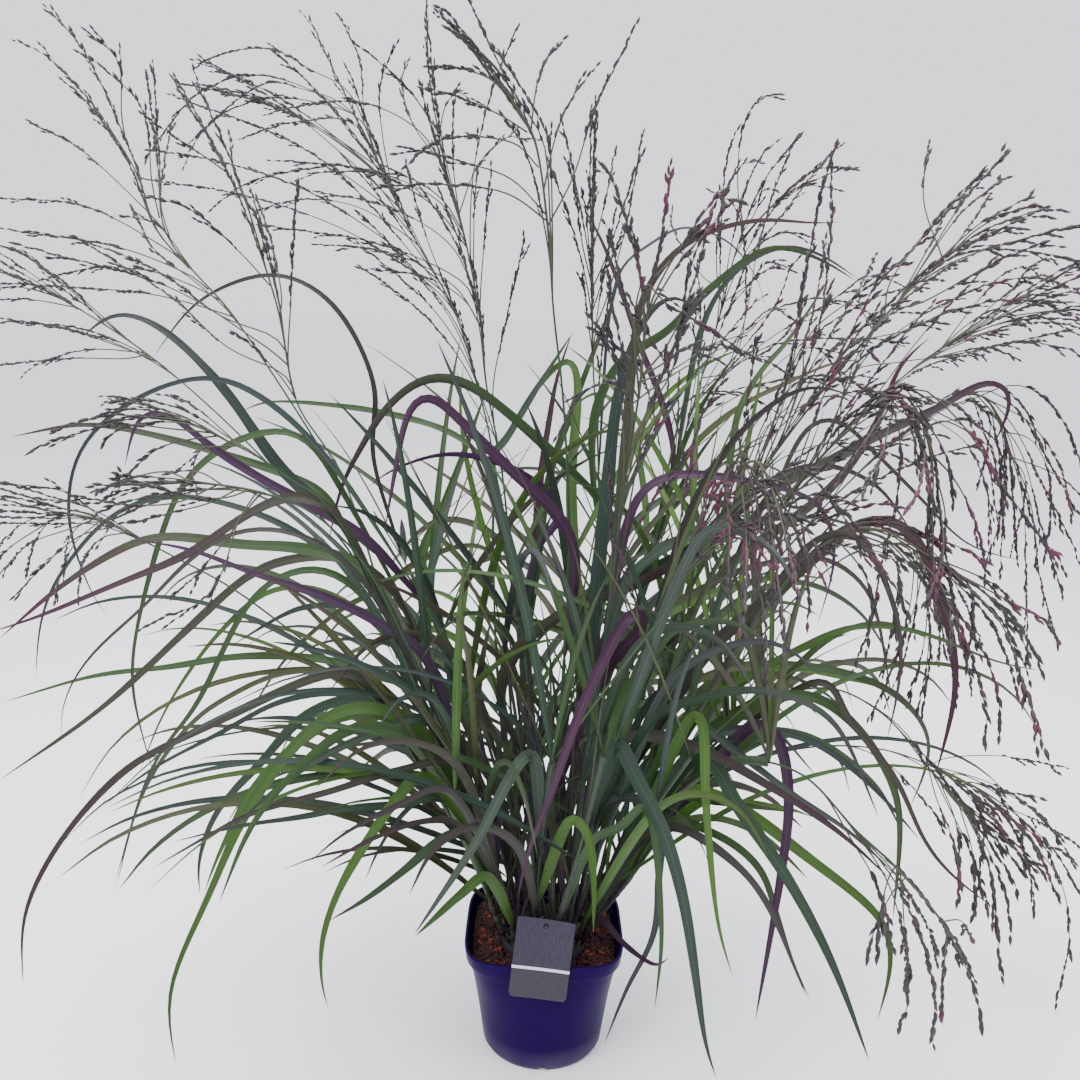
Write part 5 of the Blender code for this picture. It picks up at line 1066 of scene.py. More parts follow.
# Leafy shoots without a flower head
LEAFY = [
    stem(
        (-3.6, 2.9), 10,
        [(-7, 24), (-12, 36), (-17, 46)],
        leaf(36, 9, -2, (-18.5, 51), (-23.5, 56.8), (-28.5, 57.2), (-33.2, 54), (-36.8, 47.6),
             (-40.1, 40.9),
             (-45.6, 33.4), (-50.8, 18.6), tone="green", tip=0.3),
        leaf(30, 8, 10, (-17, 48), (-24, 54.4), (-31, 55), (-36.9, 50), (-40.8, 45), (-44.3, 39.2),
             (-47, 32.7), tone="fresh", tip=0.1),
        leaf(22, 10, 34, (-11, 35), (-17, 40), (-24, 39.6), (-30, 35)),
    ),
    stem(
        (-2.4, 4.1), 20,
        [(-5.5, 30), (-10, 44), (-15, 56), (-19.6, 64)],
        leaf(54, 7, 20, (-19.7, 70), (-19.2, 77), (-22, 84), (-26, 88), (-31, 89), (-38, 86), (-43, 80),
             tone="dark", tip=0.4),
        leaf(42, 12, 26, (-14.4, 58), (-12.2, 64), (-9.8, 70.5), (-7.4, 77.4), tone="fresh", tip=0.05),
        leaf(30, 10, 48, (-10, 44), (-16, 49), (-22, 48), (-27, 44)),
        leaf(20, 11, 40, (-6, 32), (-11, 37), (-17, 37), (-22, 33.6)),
    ),
    stem(
        (-3.0, -3.9), -14,
        [(-4.8, 19), (-7.4, 25), (-10.6, 31)],
        leaf(27, 12, -22, (-13.6, 33), (-17, 30.5), (-20, 26.1), (-23.9, 19.2), (-26.3, 12.3), (-26.6, 6),
             (-25.8, 2.6), tone="fresh", tip=0.05),
        leaf(20, 12, -22, (-9, 25.6), (-12.4, 25), (-16, 21.6), (-21, 17.4), (-25.6, 14.4),
             tone="green", tip=0.1),
        leaf(16.5, 13, -20, (-6.6, 20.4), (-9.6, 18.4), (-12.6, 15.4), (-15.3, 12.6),
             tone="fresh", tip=0.05),
        leaf(24, 9, -30, (-11, 31), (-17, 29.4), (-23.6, 25.6), (-27.6, 22), tone="dark", tip=0.4),
    ),
    stem(
        (-0.8, -4.4), -14,
        [(-0.6, 22), (0, 30), (0.5, 35)],
        leaf(28, 12, -26, (-1.6, 36), (-4.6, 32.4), (-7.9, 25.3), (-11.8, 18.7), (-15.5, 12.7),
             tone="grey", tip=0.1),
        leaf(22, 12, -24, (2.4, 27.6), (4.8, 26.6), (5.8, 20.6), (5.9, 13.4), tone="fresh", tip=0.05),
        leaf(18, 10, -30, (-3, 24), (-8, 27), (-13, 24), (-16, 18)),
    ),
    stem(
        (0.6, -4.7), -20,
        [(3, 20), (5, 29), (6.4, 36)],
        leaf(30, 14, -36, (7.6, 37.6), (9.7, 34.2), (13.5, 27.2), (16.3, 18.5), (18.1, 9.4), (20, -1.5),
             (21.6, -6), tone="blue", tip=0.1),
        leaf(27, 12, -36, (6.6, 36), (11, 38.6), (17.6, 37), (25, 33), (33.7, 27.4), (40.8, 21),
             tone="dark", tip=0.6),
        leaf(18, 9, -30, (5.4, 25.6), (8.4, 26.6), (11.8, 30), (14, 14.6), (13.6, 3.4),
             tone="green", tip=0.1),
    ),
    stem(
        (4.4, -3.0), -20,
        [(7.6, 19), (11.6, 28), (16.4, 36)],
        leaf(32, 10, -32, (16.2, 41), (17.8, 39), (18.2, 32.5), (19.2, 24), (20.7, 14.6), (22.8, 8),
             tone="fresh", tip=0.05),
        leaf(27, 14, -30, (17, 36.4), (22.1, 30), (26.9, 23.5), (31.5, 16), (35.6, 7.9), (40.2, -3.4),
             tone="blue", tip=0.1),
        leaf(21, 13, -14, (13, 30.4), (18, 32), (24.2, 28.7), (30.5, 23.9), (36.8, 19.1), (40.6, 15.1),
             (41.6, 9.4), (40.6, 2.5), tone="fresh", tip=0.1),
        leaf(17, 11, -38, (10.6, 25), (15, 27.4), (21.2, 23.7), (26, 18.3), (31.8, 5.5),
             tone="dark", tip=0.3),
    ),
    stem(
        (4.7, -1.2), -2,
        [(9.4, 20), (15, 29), (21, 36.4)],
        leaf(29, 12, -24, (23, 40), (26.4, 38.4), (28, 31), (27.8, 23.2), (26.9, 13), (25.8, 2),
             tone="violet", tip=0.7),
        leaf(22, 11, 14, (15, 32), (21.6, 37.6), (29, 39), (37.5, 33.4), (41.6, 27), tone="green", tip=0.2),
        leaf(17, 10, 8, (12, 25), (18, 28.6), (25, 26.6), (31, 21)),
    ),
    stem(
        (0.6, 4.5), 26,
        [(2.4, 30), (4, 42), (6, 54)],
        leaf(44, 11, 50, (7, 60), (12, 66), (18, 66), (23, 61)),
        leaf(36, 11, 46, (3, 50), (-1, 57), (-7, 59), (-12, 54)),
        leaf(26, 11, 52, (5, 40), (11, 45), (17, 43), (21, 38)),
        leaf(19, 10, 44, (1, 31), (-4, 37), (-10, 38), (-15, 34.6)),
    ),
    stem(
        (-0.6, 2.4), 18,
        [(-0.8, 26), (-1.6, 38), (-2.4, 50)],
        leaf(42, 11, 44, (-3, 56), (-7, 62), (-13, 63), (-18, 58)),
        leaf(33, 11, 50, (-2, 44), (2, 51), (8, 53), (14, 48)),
        leaf(24, 11, 48, (-4, 36), (-10, 42), (-17, 42.4), (-22, 38)),
    ),
]

# Leaves that lie among those with solids of their own, by the stem that they grow on
AMONG = {
    "culm_06": [
        leaf(33, 12, -16, (-18, 40.6), (-22.6, 42.2), (-27.1, 40.6), (-30.1, 37.8), (-32.8, 34.4),
             (-36.1, 30.9),
             (-38.5, 27.7), (-40.1, 23.9), (-40.8, 20.7), (-40.7, 17.5), tone="blue", tip=0.2),
        leaf(19, 14, -32, (-12, 32), (-17, 38.5), (-22.4, 38.8), (-25.5, 36.7), (-28.8, 33.5),
             (-31.8, 30.1),
             (-33.9, 27.2), (-35.8, 23.4), (-37.3, 19.5), (-38.6, 16.2), tone="green", tip=0.05),
        leaf(22, 14, -22, (-12, 33), (-18, 40.2), (-22.6, 40.7), (-26, 39), (-29.5, 36), (-32.9, 32.5),
             (-35.2, 29.1), (-37.1, 25.2), (-38.9, 21.4), (-40.2, 17.7), tone="fresh", tip=0.05),
        leaf(36, 7, 2, (-20, 44.2), (-24.8, 45.5), (-28.7, 45.5), (-32.5, 44.4), (-36.4, 42.2), (-39.7, 40),
             (-43.9, 35.1), (-47.4, 28.8), (-50.6, 18.2), tone="olive", tip=0.4),
    ],
    "culm_04": [
        leaf(24, 9, -22, (-11.2, 30.2), (-17, 29.4), (-22.8, 28.9), (-28.6, 27.6), (-35.6, 26.4),
             (-43.7, 24.2),
             tone="blue", tip=0.3),
        leaf(30, 10, -26, (-13.5, 39.7), (-18.6, 38.6), (-23.2, 36.7), (-27.3, 34.2), (-30.8, 31.6),
             (-36.6, 26.1), tone="blue", tip=0.2),
    ],
    "culm_05": [
        leaf(27, 8, -30, (-10.6, 34.5), (-15.8, 34), (-20.4, 32.7), (-24.5, 31.1), (-33.8, 28.2),
             (-38.6, 25.6),
             (-46.2, 20.8), tone="dark", tip=0.3),
    ],
    "culm_02": [leaf(44, 9, 8, (-12, 47.5), (-16.8, 49.4), (-21.3, 52.8), (-25.2, 53.2), (-29.1, 52.4),
                     (-35.7, 48.4), tone="blue", tip=0.2)],
    "culm_08": [
        leaf(58, 10, 10, (-6.7, 69.7), (-5.3, 71.9), (-2.7, 76.5), (-0.1, 80.7), (1.7, 83.6),
             tone="blue", tip=0.2),
        leaf(55, 8, 18, (-8, 60.5), (-14.5, 58.6), (-19, 55.1), (-23.5, 52.7), (-29.8, 46.8), (-34.6, 39.5),
             tone="olive", tip=0.3),
        leaf(33, 14, -6, (-5.4, 42), (-4.2, 47.5), (-2.4, 49.9), (1.8, 53), (8.6, 55.9), (12.4, 58),
             (17.2, 61.5), (22.5, 66.6), (25.1, 68.1), tone="dusk", tip=0.5),
    ],
    "culm_10": [
        leaf(62, 11, -4, (4.2, 70), (4.4, 75.5), (7, 80.9), (11.5, 83.6), (14, 86.5), (17, 89.3),
             (20, 91.8), (23, 92.9),
             (27.8, 91.4), (31.3, 89.4), tone="green", tip=0.25),
        leaf(66, 4, 14, (5.2, 80), (5.6, 86), (6.7, 90.7), (9.5, 92.7), (12.2, 94.6), (14.8, 94.4),
             (18.3, 92.8),
             (21.2, 88.9), (22.1, 85.8), tone="grey", tip=0.3),
    ],
    "culm_12": [
        leaf(61, 9, 30, (12.9, 71), (11.2, 77), (9.1, 81.7), (7.2, 86.6), (4.8, 92.4), (2.1, 97.1),
             tone="wine", tip=0.2),
        leaf(60, 9, 24, (14.5, 71), (17.7, 74.5), (21, 76.9), (25, 78.9), (29, 80.8), (33, 81.5),
             tone="olive", tip=0.5),
    ],
    "culm_14": [
        leaf(38, 13, 6, (17.1, 43.8), (21.5, 46.2), (27.1, 47), (33.9, 45.9), (38.6, 44.6), (41.6, 42),
             (43, 39.3),
             tone="lit", tip=0.2),
        leaf(34, 11, -2, (16.1, 40.5), (20.5, 44.2), (25.9, 47.9), (30.8, 50.3), (33.5, 51.1),
             tone="fresh", tip=0.1),
    ],
    "culm_13": [
        leaf(33, 10, -12, (17.4, 38.1), (21.9, 39.5), (26.5, 39.3), (31.1, 37.8), (36, 34.2), (39.7, 30.6),
             (43.6, 26.3),
             tone="blue", tip=0.3),
        leaf(37, 9, -24, (12.6, 44.1), (16.1, 41.5), (19.7, 38.2), (24.5, 34.6), (29.3, 31), (34.2, 28),
             (37.9, 24.9),
             (41.7, 21.2), tone="grey", tip=0.4),
        leaf(64, 7, -4, (19.2, 72), (19.9, 76.3), (22, 80.2), (24.2, 82.8), (26.5, 86.4), (28.5, 90),
             tone="green", tip=0.3),
    ],
    "culm_11": [
        leaf(60, 8, -34, (7.9, 76), (8.2, 81), (8.8, 86.9), (11.8, 91.8), (14.7, 93.8), (18.2, 95),
             (22, 95.6), (26.2, 95.1),
             (29.1, 95.4), tone="dusk", tip=0.5),
        leaf(41, 7, -24, (7.9, 48.7), (12.2, 53.4), (16.5, 55.8), (20.8, 58.2), (29, 59.9), (33, 58.2),
             (36, 54.5), (39, 42.8), tone="dusk", tip=0.5),
        leaf(48, 11, -8, (7.9, 55.4), (12, 60.2), (18, 62.9), (24, 64), (30, 64.2), (35, 62.6),
             tone="blue", tip=0.2),
    ],
    "culm_19": [
        leaf(33, 10, -30, (11.5, 40), (17.1, 43), (22.7, 44.3), (28.5, 43.2), (33.3, 39.7), (38.7, 28.7),
             tone="blue", tip=0.4),
        leaf(40, 12, -20, (9, 48.7), (12.2, 52.5), (16.6, 54.9), (21.5, 56.6), (26.4, 57.7), (30.8, 57.3),
             tone="fresh", tip=0.1),
    ],
    "shoot_09": [
        leaf(44, 10, 22, (-1.5, 58), (-0.5, 68), (1.6, 74.7), (3.1, 79.2), (4.6, 83.4), (6, 87.4),
             (6.5, 90.1), tone="green", tip=0.2),
        leaf(47, 11, 12, (-1.8, 60), (-1.4, 68), (-0.5, 74.7), (0.1, 78.6), (1.6, 83.6),
             tone="wine", tip=0.1),
        leaf(40, 9, 30, (-4, 52), (-7.5, 62), (-9.5, 70), (-10.2, 76), (-9.8, 80), tone="lit", tip=0.0),
    ],
    "shoot_08": [
        leaf(48, 10, 34, (7, 60), (7.5, 68), (10, 75), (15, 80), (20, 82.5), tone="lit", tip=0.0),
    ],
    "shoot_03": [leaf(22.5, 8, -24, (-10, 26.8), (-14.7, 27.3), (-18.2, 26), (-21.7, 24.3), (-26.4, 21.3),
                      tone="dark", tip=0.5)],
    "shoot_05": [
        leaf(24, 9, -34, (6.4, 29.6), (10.5, 31), (13, 28.8), (13.6, 25.7), (13.3, 20.6), (13.4, 15.4),
             (12.5, 11.4),
             (10.3, 6.7), (7.6, -1.6), tone="grey", tip=0.4),
    ],
    "shoot_06": [
        leaf(15.5, 7, -20, (6.7, 15.4), (9.1, 12.6), (11.6, 10.4), (13.6, 9.4), (15, 10.4),
             tone="violet", tip=0.8),
        leaf(26.6, 10, -26, (13.1, 31.1), (17.7, 30.8), (23.6, 30.1), (28.2, 29.5), tone="green", tip=0.1),
    ],
    "shoot_07": [
        leaf(26, 12, -14, (17.8, 30.4), (23, 30.4), (28.2, 29.8), (31.2, 28.8), tone="lit", tip=0.1),
        leaf(23, 9, -12, (14.5, 28.2), (17.9, 27.3), (22.1, 25.2), (25.5, 21.8), (27.3, 17), (29.7, 10.4),
             (32.3, 5.1), tone="green", tip=0.3),
    ],
}


def lengths_along(path):
    """How far along a line each of its points is: the sum of the straight runs before it."""
    return np.concatenate([[0], np.cumsum(np.linalg.norm(np.diff(path, axis=0), axis=1))])


def read_along(path, gone, spots):
    """The points at given distances along a line."""
    return np.column_stack([np.interp(spots, gone, path[:, k]) for k in range(3)])


def smooth_path(points, count):
    """A smooth line through points, read at even steps of its length.

    From b to c, with a before and d after, it is
    b + ((c - a) t + (2a - 5b + 4c - d) t^2 + (3b - a - 3c + d) t^3) / 2.
    """
    p = np.array(points, float)
    p = np.vstack([2 * p[0] - p[1], p, 2 * p[-1] - p[-2]])
    t = np.linspace(0, 1, 10, endpoint=False)[:, None]
    runs = []
    for a, b, c, d in zip(p, p[1:], p[2:], p[3:]):
        bend = (2 * a - 5 * b + 4 * c - d) * t**2 + (3 * b - a - 3 * c + d) * t**3
        runs.append(b + 0.5 * ((c - a) * t + bend))
    fine = np.vstack([*runs, p[-2:-1]])
    gone = lengths_along(fine)
    return read_along(fine, gone, np.linspace(0, gone[-1], count))


def seen_from_eye(point):
    """Where a point in space lies on the upright plane through the axis, as the eye sees it, in cm."""
    shrink = -EYE[1] / (point[1] - EYE[1])
    return np.array([EYE[0] + (point[0] - EYE[0]) * shrink, EYE[2] + (point[2] - EYE[2]) * shrink]) * 100


def drawn_path(root, line, depth):
    """The root, then the drawn points, each slid along its line of sight. Depth grows evenly with length."""
    flat = np.vstack([seen_from_eye(root), np.array(line, float)])
    gone = lengths_along(flat)
    depths = root[1] + (depth / 100 - root[1]) * gone / gone[-1]
    stretch = (depths - EYE[1]) / -EYE[1]
    x = EYE[0] + (flat[:, 0] / 100 - EYE[0]) * stretch
    z = EYE[2] + (flat[:, 1] / 100 - EYE[2]) * stretch
    return np.column_stack([x, depths, z])


def square_to(way, aim):
    """The part of a direction that is square to the line, at each of its points, made one long."""
    return unit(aim - np.sum(aim * way, axis=1)[:, None] * way)


def round_rings(path, radii, sides, first=None, last=None):
    """The rings of a tapering round strand: p + r (s cos t + o sin t), with s and o square to the line."""
    way = directions(path, first, last)
    least = int(np.argmin(np.abs(way).max(axis=0)))
    side = square_to(way, np.tile(np.eye(3)[least], (len(path), 1)))
    other = np.cross(way, side)
    turn = np.arange(sides) * math.tau / sides
    ring = side[:, None] * np.cos(turn)[None, :, None] + other[:, None] * np.sin(turn)[None, :, None]
    return path[:, None] + ring * radii[:, None, None]


def blade_frame(path, face):
    """The side and the up of a blade at each point: its flat side up, turned towards the eye by its face."""
    way = directions(path)
    flat = unit(np.cross(way, EYE - path))
    deep = np.cross(way, flat)
    level = np.cross([0.0, 0.0, 1.0], path[-1] - path[0])
    middle = len(path) // 2
    natural = math.atan2(level @ deep[middle], level @ flat[middle])
    natural -= math.pi * round(natural / math.pi)
    turn = (1 - face) * natural
    side = math.cos(turn) * flat + math.sin(turn) * deep
    up = np.cross(side, way)
    return side, up * np.sign(up[:, 2].sum())


def blade_rings(path, width, face, extra=0.0):
    """The three-cornered rings of a blade's solid, used here to find where blades would touch."""
    side, up = blade_frame(path, face)
    share = np.linspace(0, 1, len(path))
    half = (width / 2000 * blade_spread(share) + extra)[:, None]
    lift = half * SOLID_FOLD
    keel = half * SOLID_KEEL + SOLID_THICK + extra
    left = path - side * half + up * lift
    right = path + side * half + up * lift
    return np.stack([left, path - up * keel, right], axis=1)


def blade_spread(share):
    """A blade's width as a share of its widest: it grows as the root of its length, then runs to a point."""
    return (0.12 + 0.88 * np.clip(share / 0.3, 0, 1) ** 0.5) * (1 - share**2.6) ** 0.8


def shell(rings, pointed=True):
    """Points and faces of a closed strand: walls between rings, a flat foot, and a point or a flat end."""
    count, sides = rings.shape[:2]
    last = count - 1 if pointed else count
    walls = walls_between(last, sides)
    foot = np.arange(sides)[None, ::-1]
    start = (last - 1) * sides
    step = np.arange(sides)
    if pointed:
        end = np.stack([start + step, start + (step + 1) % sides, np.full(sides, last * sides)], axis=-1)
    else:
        end = (start + step)[None]
    return listed(rings, pointed), [walls, foot, end]


def listed(values, pointed=True):
    """The values of every ring in one row. The last ring of a pointed strand becomes its own mean."""
    if not pointed:
        return values.reshape(-1, values.shape[-1])
    return np.vstack([values[:-1].reshape(-1, values.shape[-1]), values[-1].mean(axis=0)[None]])


def outward(shape):
    """The shape with its faces turned out: they are turned over where their signed volume is below zero."""
    points, faces = shape
    volume = 0.0
    for f in faces:
        for k in range(1, f.shape[1] - 1):
            volume += np.sum(points[f[:, 0]] * np.cross(points[f[:, k]], points[f[:, k + 1]]))
    return (points, faces) if volume > 0 else (points, [f[:, ::-1] for f in faces])


def tree_of(rings, pointed=True):
    """A search tree of a strand's surface, to find what touches it."""
    points, faces = shell(rings, pointed)
    return BVHTree.FromPolygons(points.tolist(), [f for part in faces for f in part.tolist()])


class Thicket:
    """Every strand placed so far, with the piece that it belongs to."""

    def __init__(self):
        """Starts with the pot, which leaves keep clear of."""
        angle = np.arange(BARREL_STEPS) * math.tau / BARREL_STEPS
        reach = (RIM_RADIUS + POT_CLEARANCE) * squared(angle, POT_HEIGHT)
        barrel = np.zeros((2, BARREL_STEPS, 3))
        barrel[:] = np.column_stack([reach * np.cos(angle), reach * np.sin(angle), np.zeros(BARREL_STEPS)])
        barrel[:, :, 2] = [[BARREL_FOOT], [POT_HEIGHT + POT_CLEARANCE]]
        self.strands = [("pot", tree_of(barrel, False))]

    def is_clear(self, tree, owners):
        """Whether a strand touches nothing but its own piece."""
        return not any(name not in owners and tree.overlap(other) for name, other in self.strands)

    def settle(self, draw, depth, owners, pointed=True):
        """Finds the depth nearest to the wanted one where the drawn strand touches no other piece's."""
        for attempt in range(DEPTH_TRIES):
            step = (attempt + 1) // 2 * (1 if attempt % 2 else -1)
            found = depth + step * DEPTH_STEP
            tree = tree_of(draw(found), pointed)
            if self.is_clear(tree, owners):
                break
        self.strands.append((owners[0], tree))
        return found


def whole_line(plan, depth):
    """A stem's path to its fork, its head's axis in one line with it, their shared way, and both fine."""
    foot = np.array([plan["foot"][0] / 100, plan["foot"][1] / 100, FEET_HEIGHT])
    below = drawn_path(foot, plan["line"], depth)
    if not plan["flower"]:
        return {"stem": smooth_path(below, 6), "fine": smooth_path(below, 60), "way": None}
    above = drawn_path(below[-1], plan["flower"]["line"], plan["flower"]["depth"])
    fine = smooth_path(np.vstack([below, above[1:]]), 240)
    fork = int(np.argmin(np.linalg.norm(fine - below[-1], axis=1)))
    return {
        "stem": smooth_path(fine[: fork + 1], 8), "fine": fine[: fork + 1],
        "axis": smooth_path(fine[fork:], 5), "fine_axis": fine[fork:], "way": fine[fork + 1] - fine[fork - 1],
    }


def stem_solid(line):
    """The three-cornered rings of a stem's solid, a little swollen, to find where stems would touch."""
    radii = np.linspace(STEM_FOOT_RADIUS, STEM_TOP_RADIUS, len(line["stem"])) + CLEARANCE
    return round_rings(line["stem"], radii, 3, (0, 0, 1), line["way"])


def joint_on(path, height):
    """The point of a stem's path at a height in cm, below any droop of its top."""
    rise = path[: np.argmax(path[:, 2]) + 1]
    return np.array([np.interp(height / 100, rise[:, 2], rise[:, k]) for k in range(3)])


def bend_count(points):
    """How many rings a blade's solid has: more, the more its line bends."""
    way = directions(smooth_path(points, 30))
    turned_by = np.degrees(np.arccos(np.clip(np.sum(way[1:] * way[:-1], axis=1), -1, 1))).sum()
    return int(np.clip(4 + turned_by / BEND_STEP, 5, 10))


def settled_blade(thicket, root, plan, owners):
    """The depth at which a blade's solid is clear of every other piece."""
    count = bend_count(drawn_path(root, plan["line"], plan["depth"]))

    def draw(depth):
        path = smooth_path(drawn_path(root, plan["line"], depth), count)
        return blade_rings(path, plan["width"], plan["face"], CLEARANCE)

    return thicket.settle(draw, plan["depth"], owners)


def strand_places(around, along, on_blade):
    """For each point of a strand: how far round or across, how far along, and whether it is on a blade."""
    shape = (len(along), len(around))
    along = np.broadcast_to(along[:, None], shape)
    return np.stack([np.broadcast_to(around, shape), along, np.full(shape, float(on_blade))], axis=-1)


def fine_blade(path, width, face, tint, tip, rng):
    """A blade as grown: rings of eight points, a fold that opens from the joint, and a closed point.

    A ring's top has its two edges, two quarters and the midrib, at the heights 1, 0.35 and 0 of the lift,
    and its underside lies one thickness below, with a keel under the midrib.
    """
    side, up = blade_frame(path, face)
    share = np.linspace(0, 1, len(path))
    sway = rng.uniform(-0.35, 0.35) * share**1.5
    sway = sway + rng.uniform(-0.12, 0.12) * np.sin(share * rng.uniform(5, 12))
    side, up = (
        side * np.cos(sway)[:, None] + up * np.sin(sway)[:, None],
        up * np.cos(sway)[:, None] - side * np.sin(sway)[:, None],
    )
    half = width / 2000 * blade_spread(share)
    lift = half * (0.22 + 0.55 * np.exp(-share / 0.12))
    ripple = 0.10 * half * np.sin(share * rng.uniform(20, 40) + rng.uniform(0, 6))
    thick = np.minimum(BLADE_THICK, half * 0.3)
    keel = thick + half * 0.08
    reach = np.array([-1, -0.5, 0, 0.5, 1, 0.5, 0, -0.5])
    sides = len(reach)
    top = np.stack([lift + ripple, lift * 0.35, lift * 0, lift * 0.35, lift - ripple], axis=1)
    below = np.stack([lift * 0.35 - thick, -keel, lift * 0.35 - thick], axis=1)
    height = np.concatenate([top, below], axis=1)
    across = side[:, None] * (half[:, None] * reach)[..., None]
    rings = path[:, None] + across + up[:, None] * height[..., None]
    fresh, wine, bright = tint
    fresh, bright = fresh + rng.uniform(-0.12, 0.12), bright * rng.uniform(0.85, 1.2)
    ageing = np.clip((share - 0.35) / 0.6, 0, 1) ** 1.3
    # Painted shade: the brightness falls for the points of a leaf that lie lower in the clump.
    colour = np.column_stack([
        np.full(len(path), np.clip(fresh, 0, 1)), np.clip(wine + (tip - wine * 0.3) * ageing, 0, 1),
        bright * np.clip(SHADED_LEAST + (path[:, 2] - SHADED_BELOW) / SHADED_OVER, SHADED_LEAST, 1),
    ])
    along = share * np.linalg.norm(np.diff(path, axis=0), axis=1).sum()
    place = strand_places(reach * width / 2000, along, 1)
    return outward(shell(rings)), listed(np.repeat(colour[:, None], sides, axis=1)), listed(place)


def eased(path):
    """The path with its bends eased: each point moves to (before + 2 here + after) / 4, five times."""
    for _ in range(5):
        path[1:-1] = (path[:-2] + 2 * path[1:-1] + path[2:]) / 4
    return path


def fine_stem(line, joints, rng):
    """A jointed stem: r falls evenly, plus a sheath's thickness below leaves and a knuckle at joints."""
    path = line["fine"]
    gone = lengths_along(path)
    collars = [gone[int(np.argmin(np.linalg.norm(path - j, axis=1)))] for j in joints]
    knuckles = [max(c - SHEATH_LENGTH * rng.uniform(0.8, 1.2), KNUCKLE_LOWEST) for c in collars]
    extra = [c + d for c in collars for d in COLLAR_RINGS]
    extra += [k + d for k in knuckles for d in KNUCKLE_RINGS]
    spots = np.unique(np.clip(np.concatenate([np.linspace(0, gone[-1], STEM_RINGS), extra]), 0, gone[-1]))
    spots = spots[np.concatenate([[True], np.diff(spots) > LEAST_RUN])]
    fine = read_along(path, gone, spots)
    ends = [STEM_FOOT_RADIUS * STEM_SLIM, STEM_TOP_RADIUS * STEM_SLIM * STEM_END]
    radii = np.interp(spots, [0, gone[-1]], ends)
    ringed = np.zeros(len(spots))
    for collar, knuckle in zip(collars, knuckles):
        wrapped = np.clip((spots - knuckle) / SHEATH_EASE, 0, 1) * (spots <= collar)
        radii = radii + SHEATH_THICK * wrapped * (0.7 + 0.5 * (spots - knuckle) / max(collar - knuckle, 0.01))
        swell = np.exp(-(((spots - knuckle) / KNUCKLE_REACH) ** 2))
        radii = radii + KNUCKLE * swell
        ringed = np.maximum(ringed, swell)
    rings = round_rings(fine, radii, STEM_SIDES, (0, 0, 1), line["way"])
    fresh = rng.uniform(0.15, 0.5)
    flush = 0.10 + 0.55 * ringed + 0.65 * np.exp(-spots / 0.10) * rng.uniform(0.5, 1)
    # Painted shade: a stem is darker near the crown, deep in the clump.
    bright = 0.62 - 0.35 * np.exp(-spots / 0.12)
    colour = np.column_stack([np.full(len(spots), fresh), np.clip(flush, 0, 1), bright])
    around = np.arange(STEM_SIDES) * math.tau / STEM_SIDES * STEM_TOP_RADIUS
    made = outward(shell(rings, False))
    tint = listed(np.repeat(colour[:, None], STEM_SIDES, axis=1), False)
    return made, tint, listed(strand_places(around, spots, 0), False)


# The further leaves: how many, then the ranges of joint height in cm, length in m, first slope and loss of
# slope in degrees, width in mm, how far left and right of the middle they may reach in cm, and their tones.
# In order: rolled leaves at the foot, short low ones, long ones in the clump, short ones high on the stems,
# two kinds that arch out at its sides, and thread-like ones.
FILLERS = (
    (66, (13.9, 17.5), (0.18, 0.40), (66, 89), (0, 24), (3.5, 6.5), (32, 34),
     ("dark", "blue", "violet", "dusk")),
    (34, (16, 28), (0.18, 0.36), (20, 75), (30, 110), (5, 9), (32, 34),
     ("green", "blue", "fresh", "dusk", "grey")),
    (58, (16, 54), (0.22, 0.56), (22, 86), (8, 85), (6, 12), (40, 26), None),
    (30, (44, 62), (0.26, 0.44), (58, 84), (4, 50), (6, 10), (14, 32),
     ("blue", "green", "fresh", "dusk", "green")),
    (84, (18, 40), (0.40, 0.68), (18, 58), (40, 112), (6.5, 12.5), (66, 40), None),
    (46, (15, 34), (0.44, 0.66), (14, 50), (66, 120), (6.5, 12), (-2, 58), None),
    (54, (34, 60), (0.20, 0.42), (45, 84), (0, 40), (2.0, 3.6), (34, 42),
     ("dusk", "olive", "green", "green")),
)
FILLER_FRONT = -0.45
FILLER_BACK = 0.46
FILLER_ROOT = 0.24
FILLER_TRIES = 14
FILLER_POINTS = 9
FILLER_RINGS = 26
FILLER_FACE = 0.5
FILLER_GAP = 0.0003


def filler_path(root, rng, lengths, rises, falls):
    """A leaf's arc: its slope falls from steep to level or hanging as t^1.5, along one heading."""
    share = np.linspace(0, 1, FILLER_POINTS)
    length = rng.uniform(*lengths)
    heading = rng.uniform(0, math.tau)
    rise = math.radians(rng.uniform(*rises))
    fall = rise - math.radians(rng.uniform(*falls))
    slope = rise + (fall - rise) * share**1.5
    level = np.cos(slope)
    step = np.column_stack([level * math.cos(heading), level * math.sin(heading), np.sin(slope)])
    return root + np.vstack([np.zeros(3), np.cumsum(step[:-1], axis=0)]) * length / (FILLER_POINTS - 1)


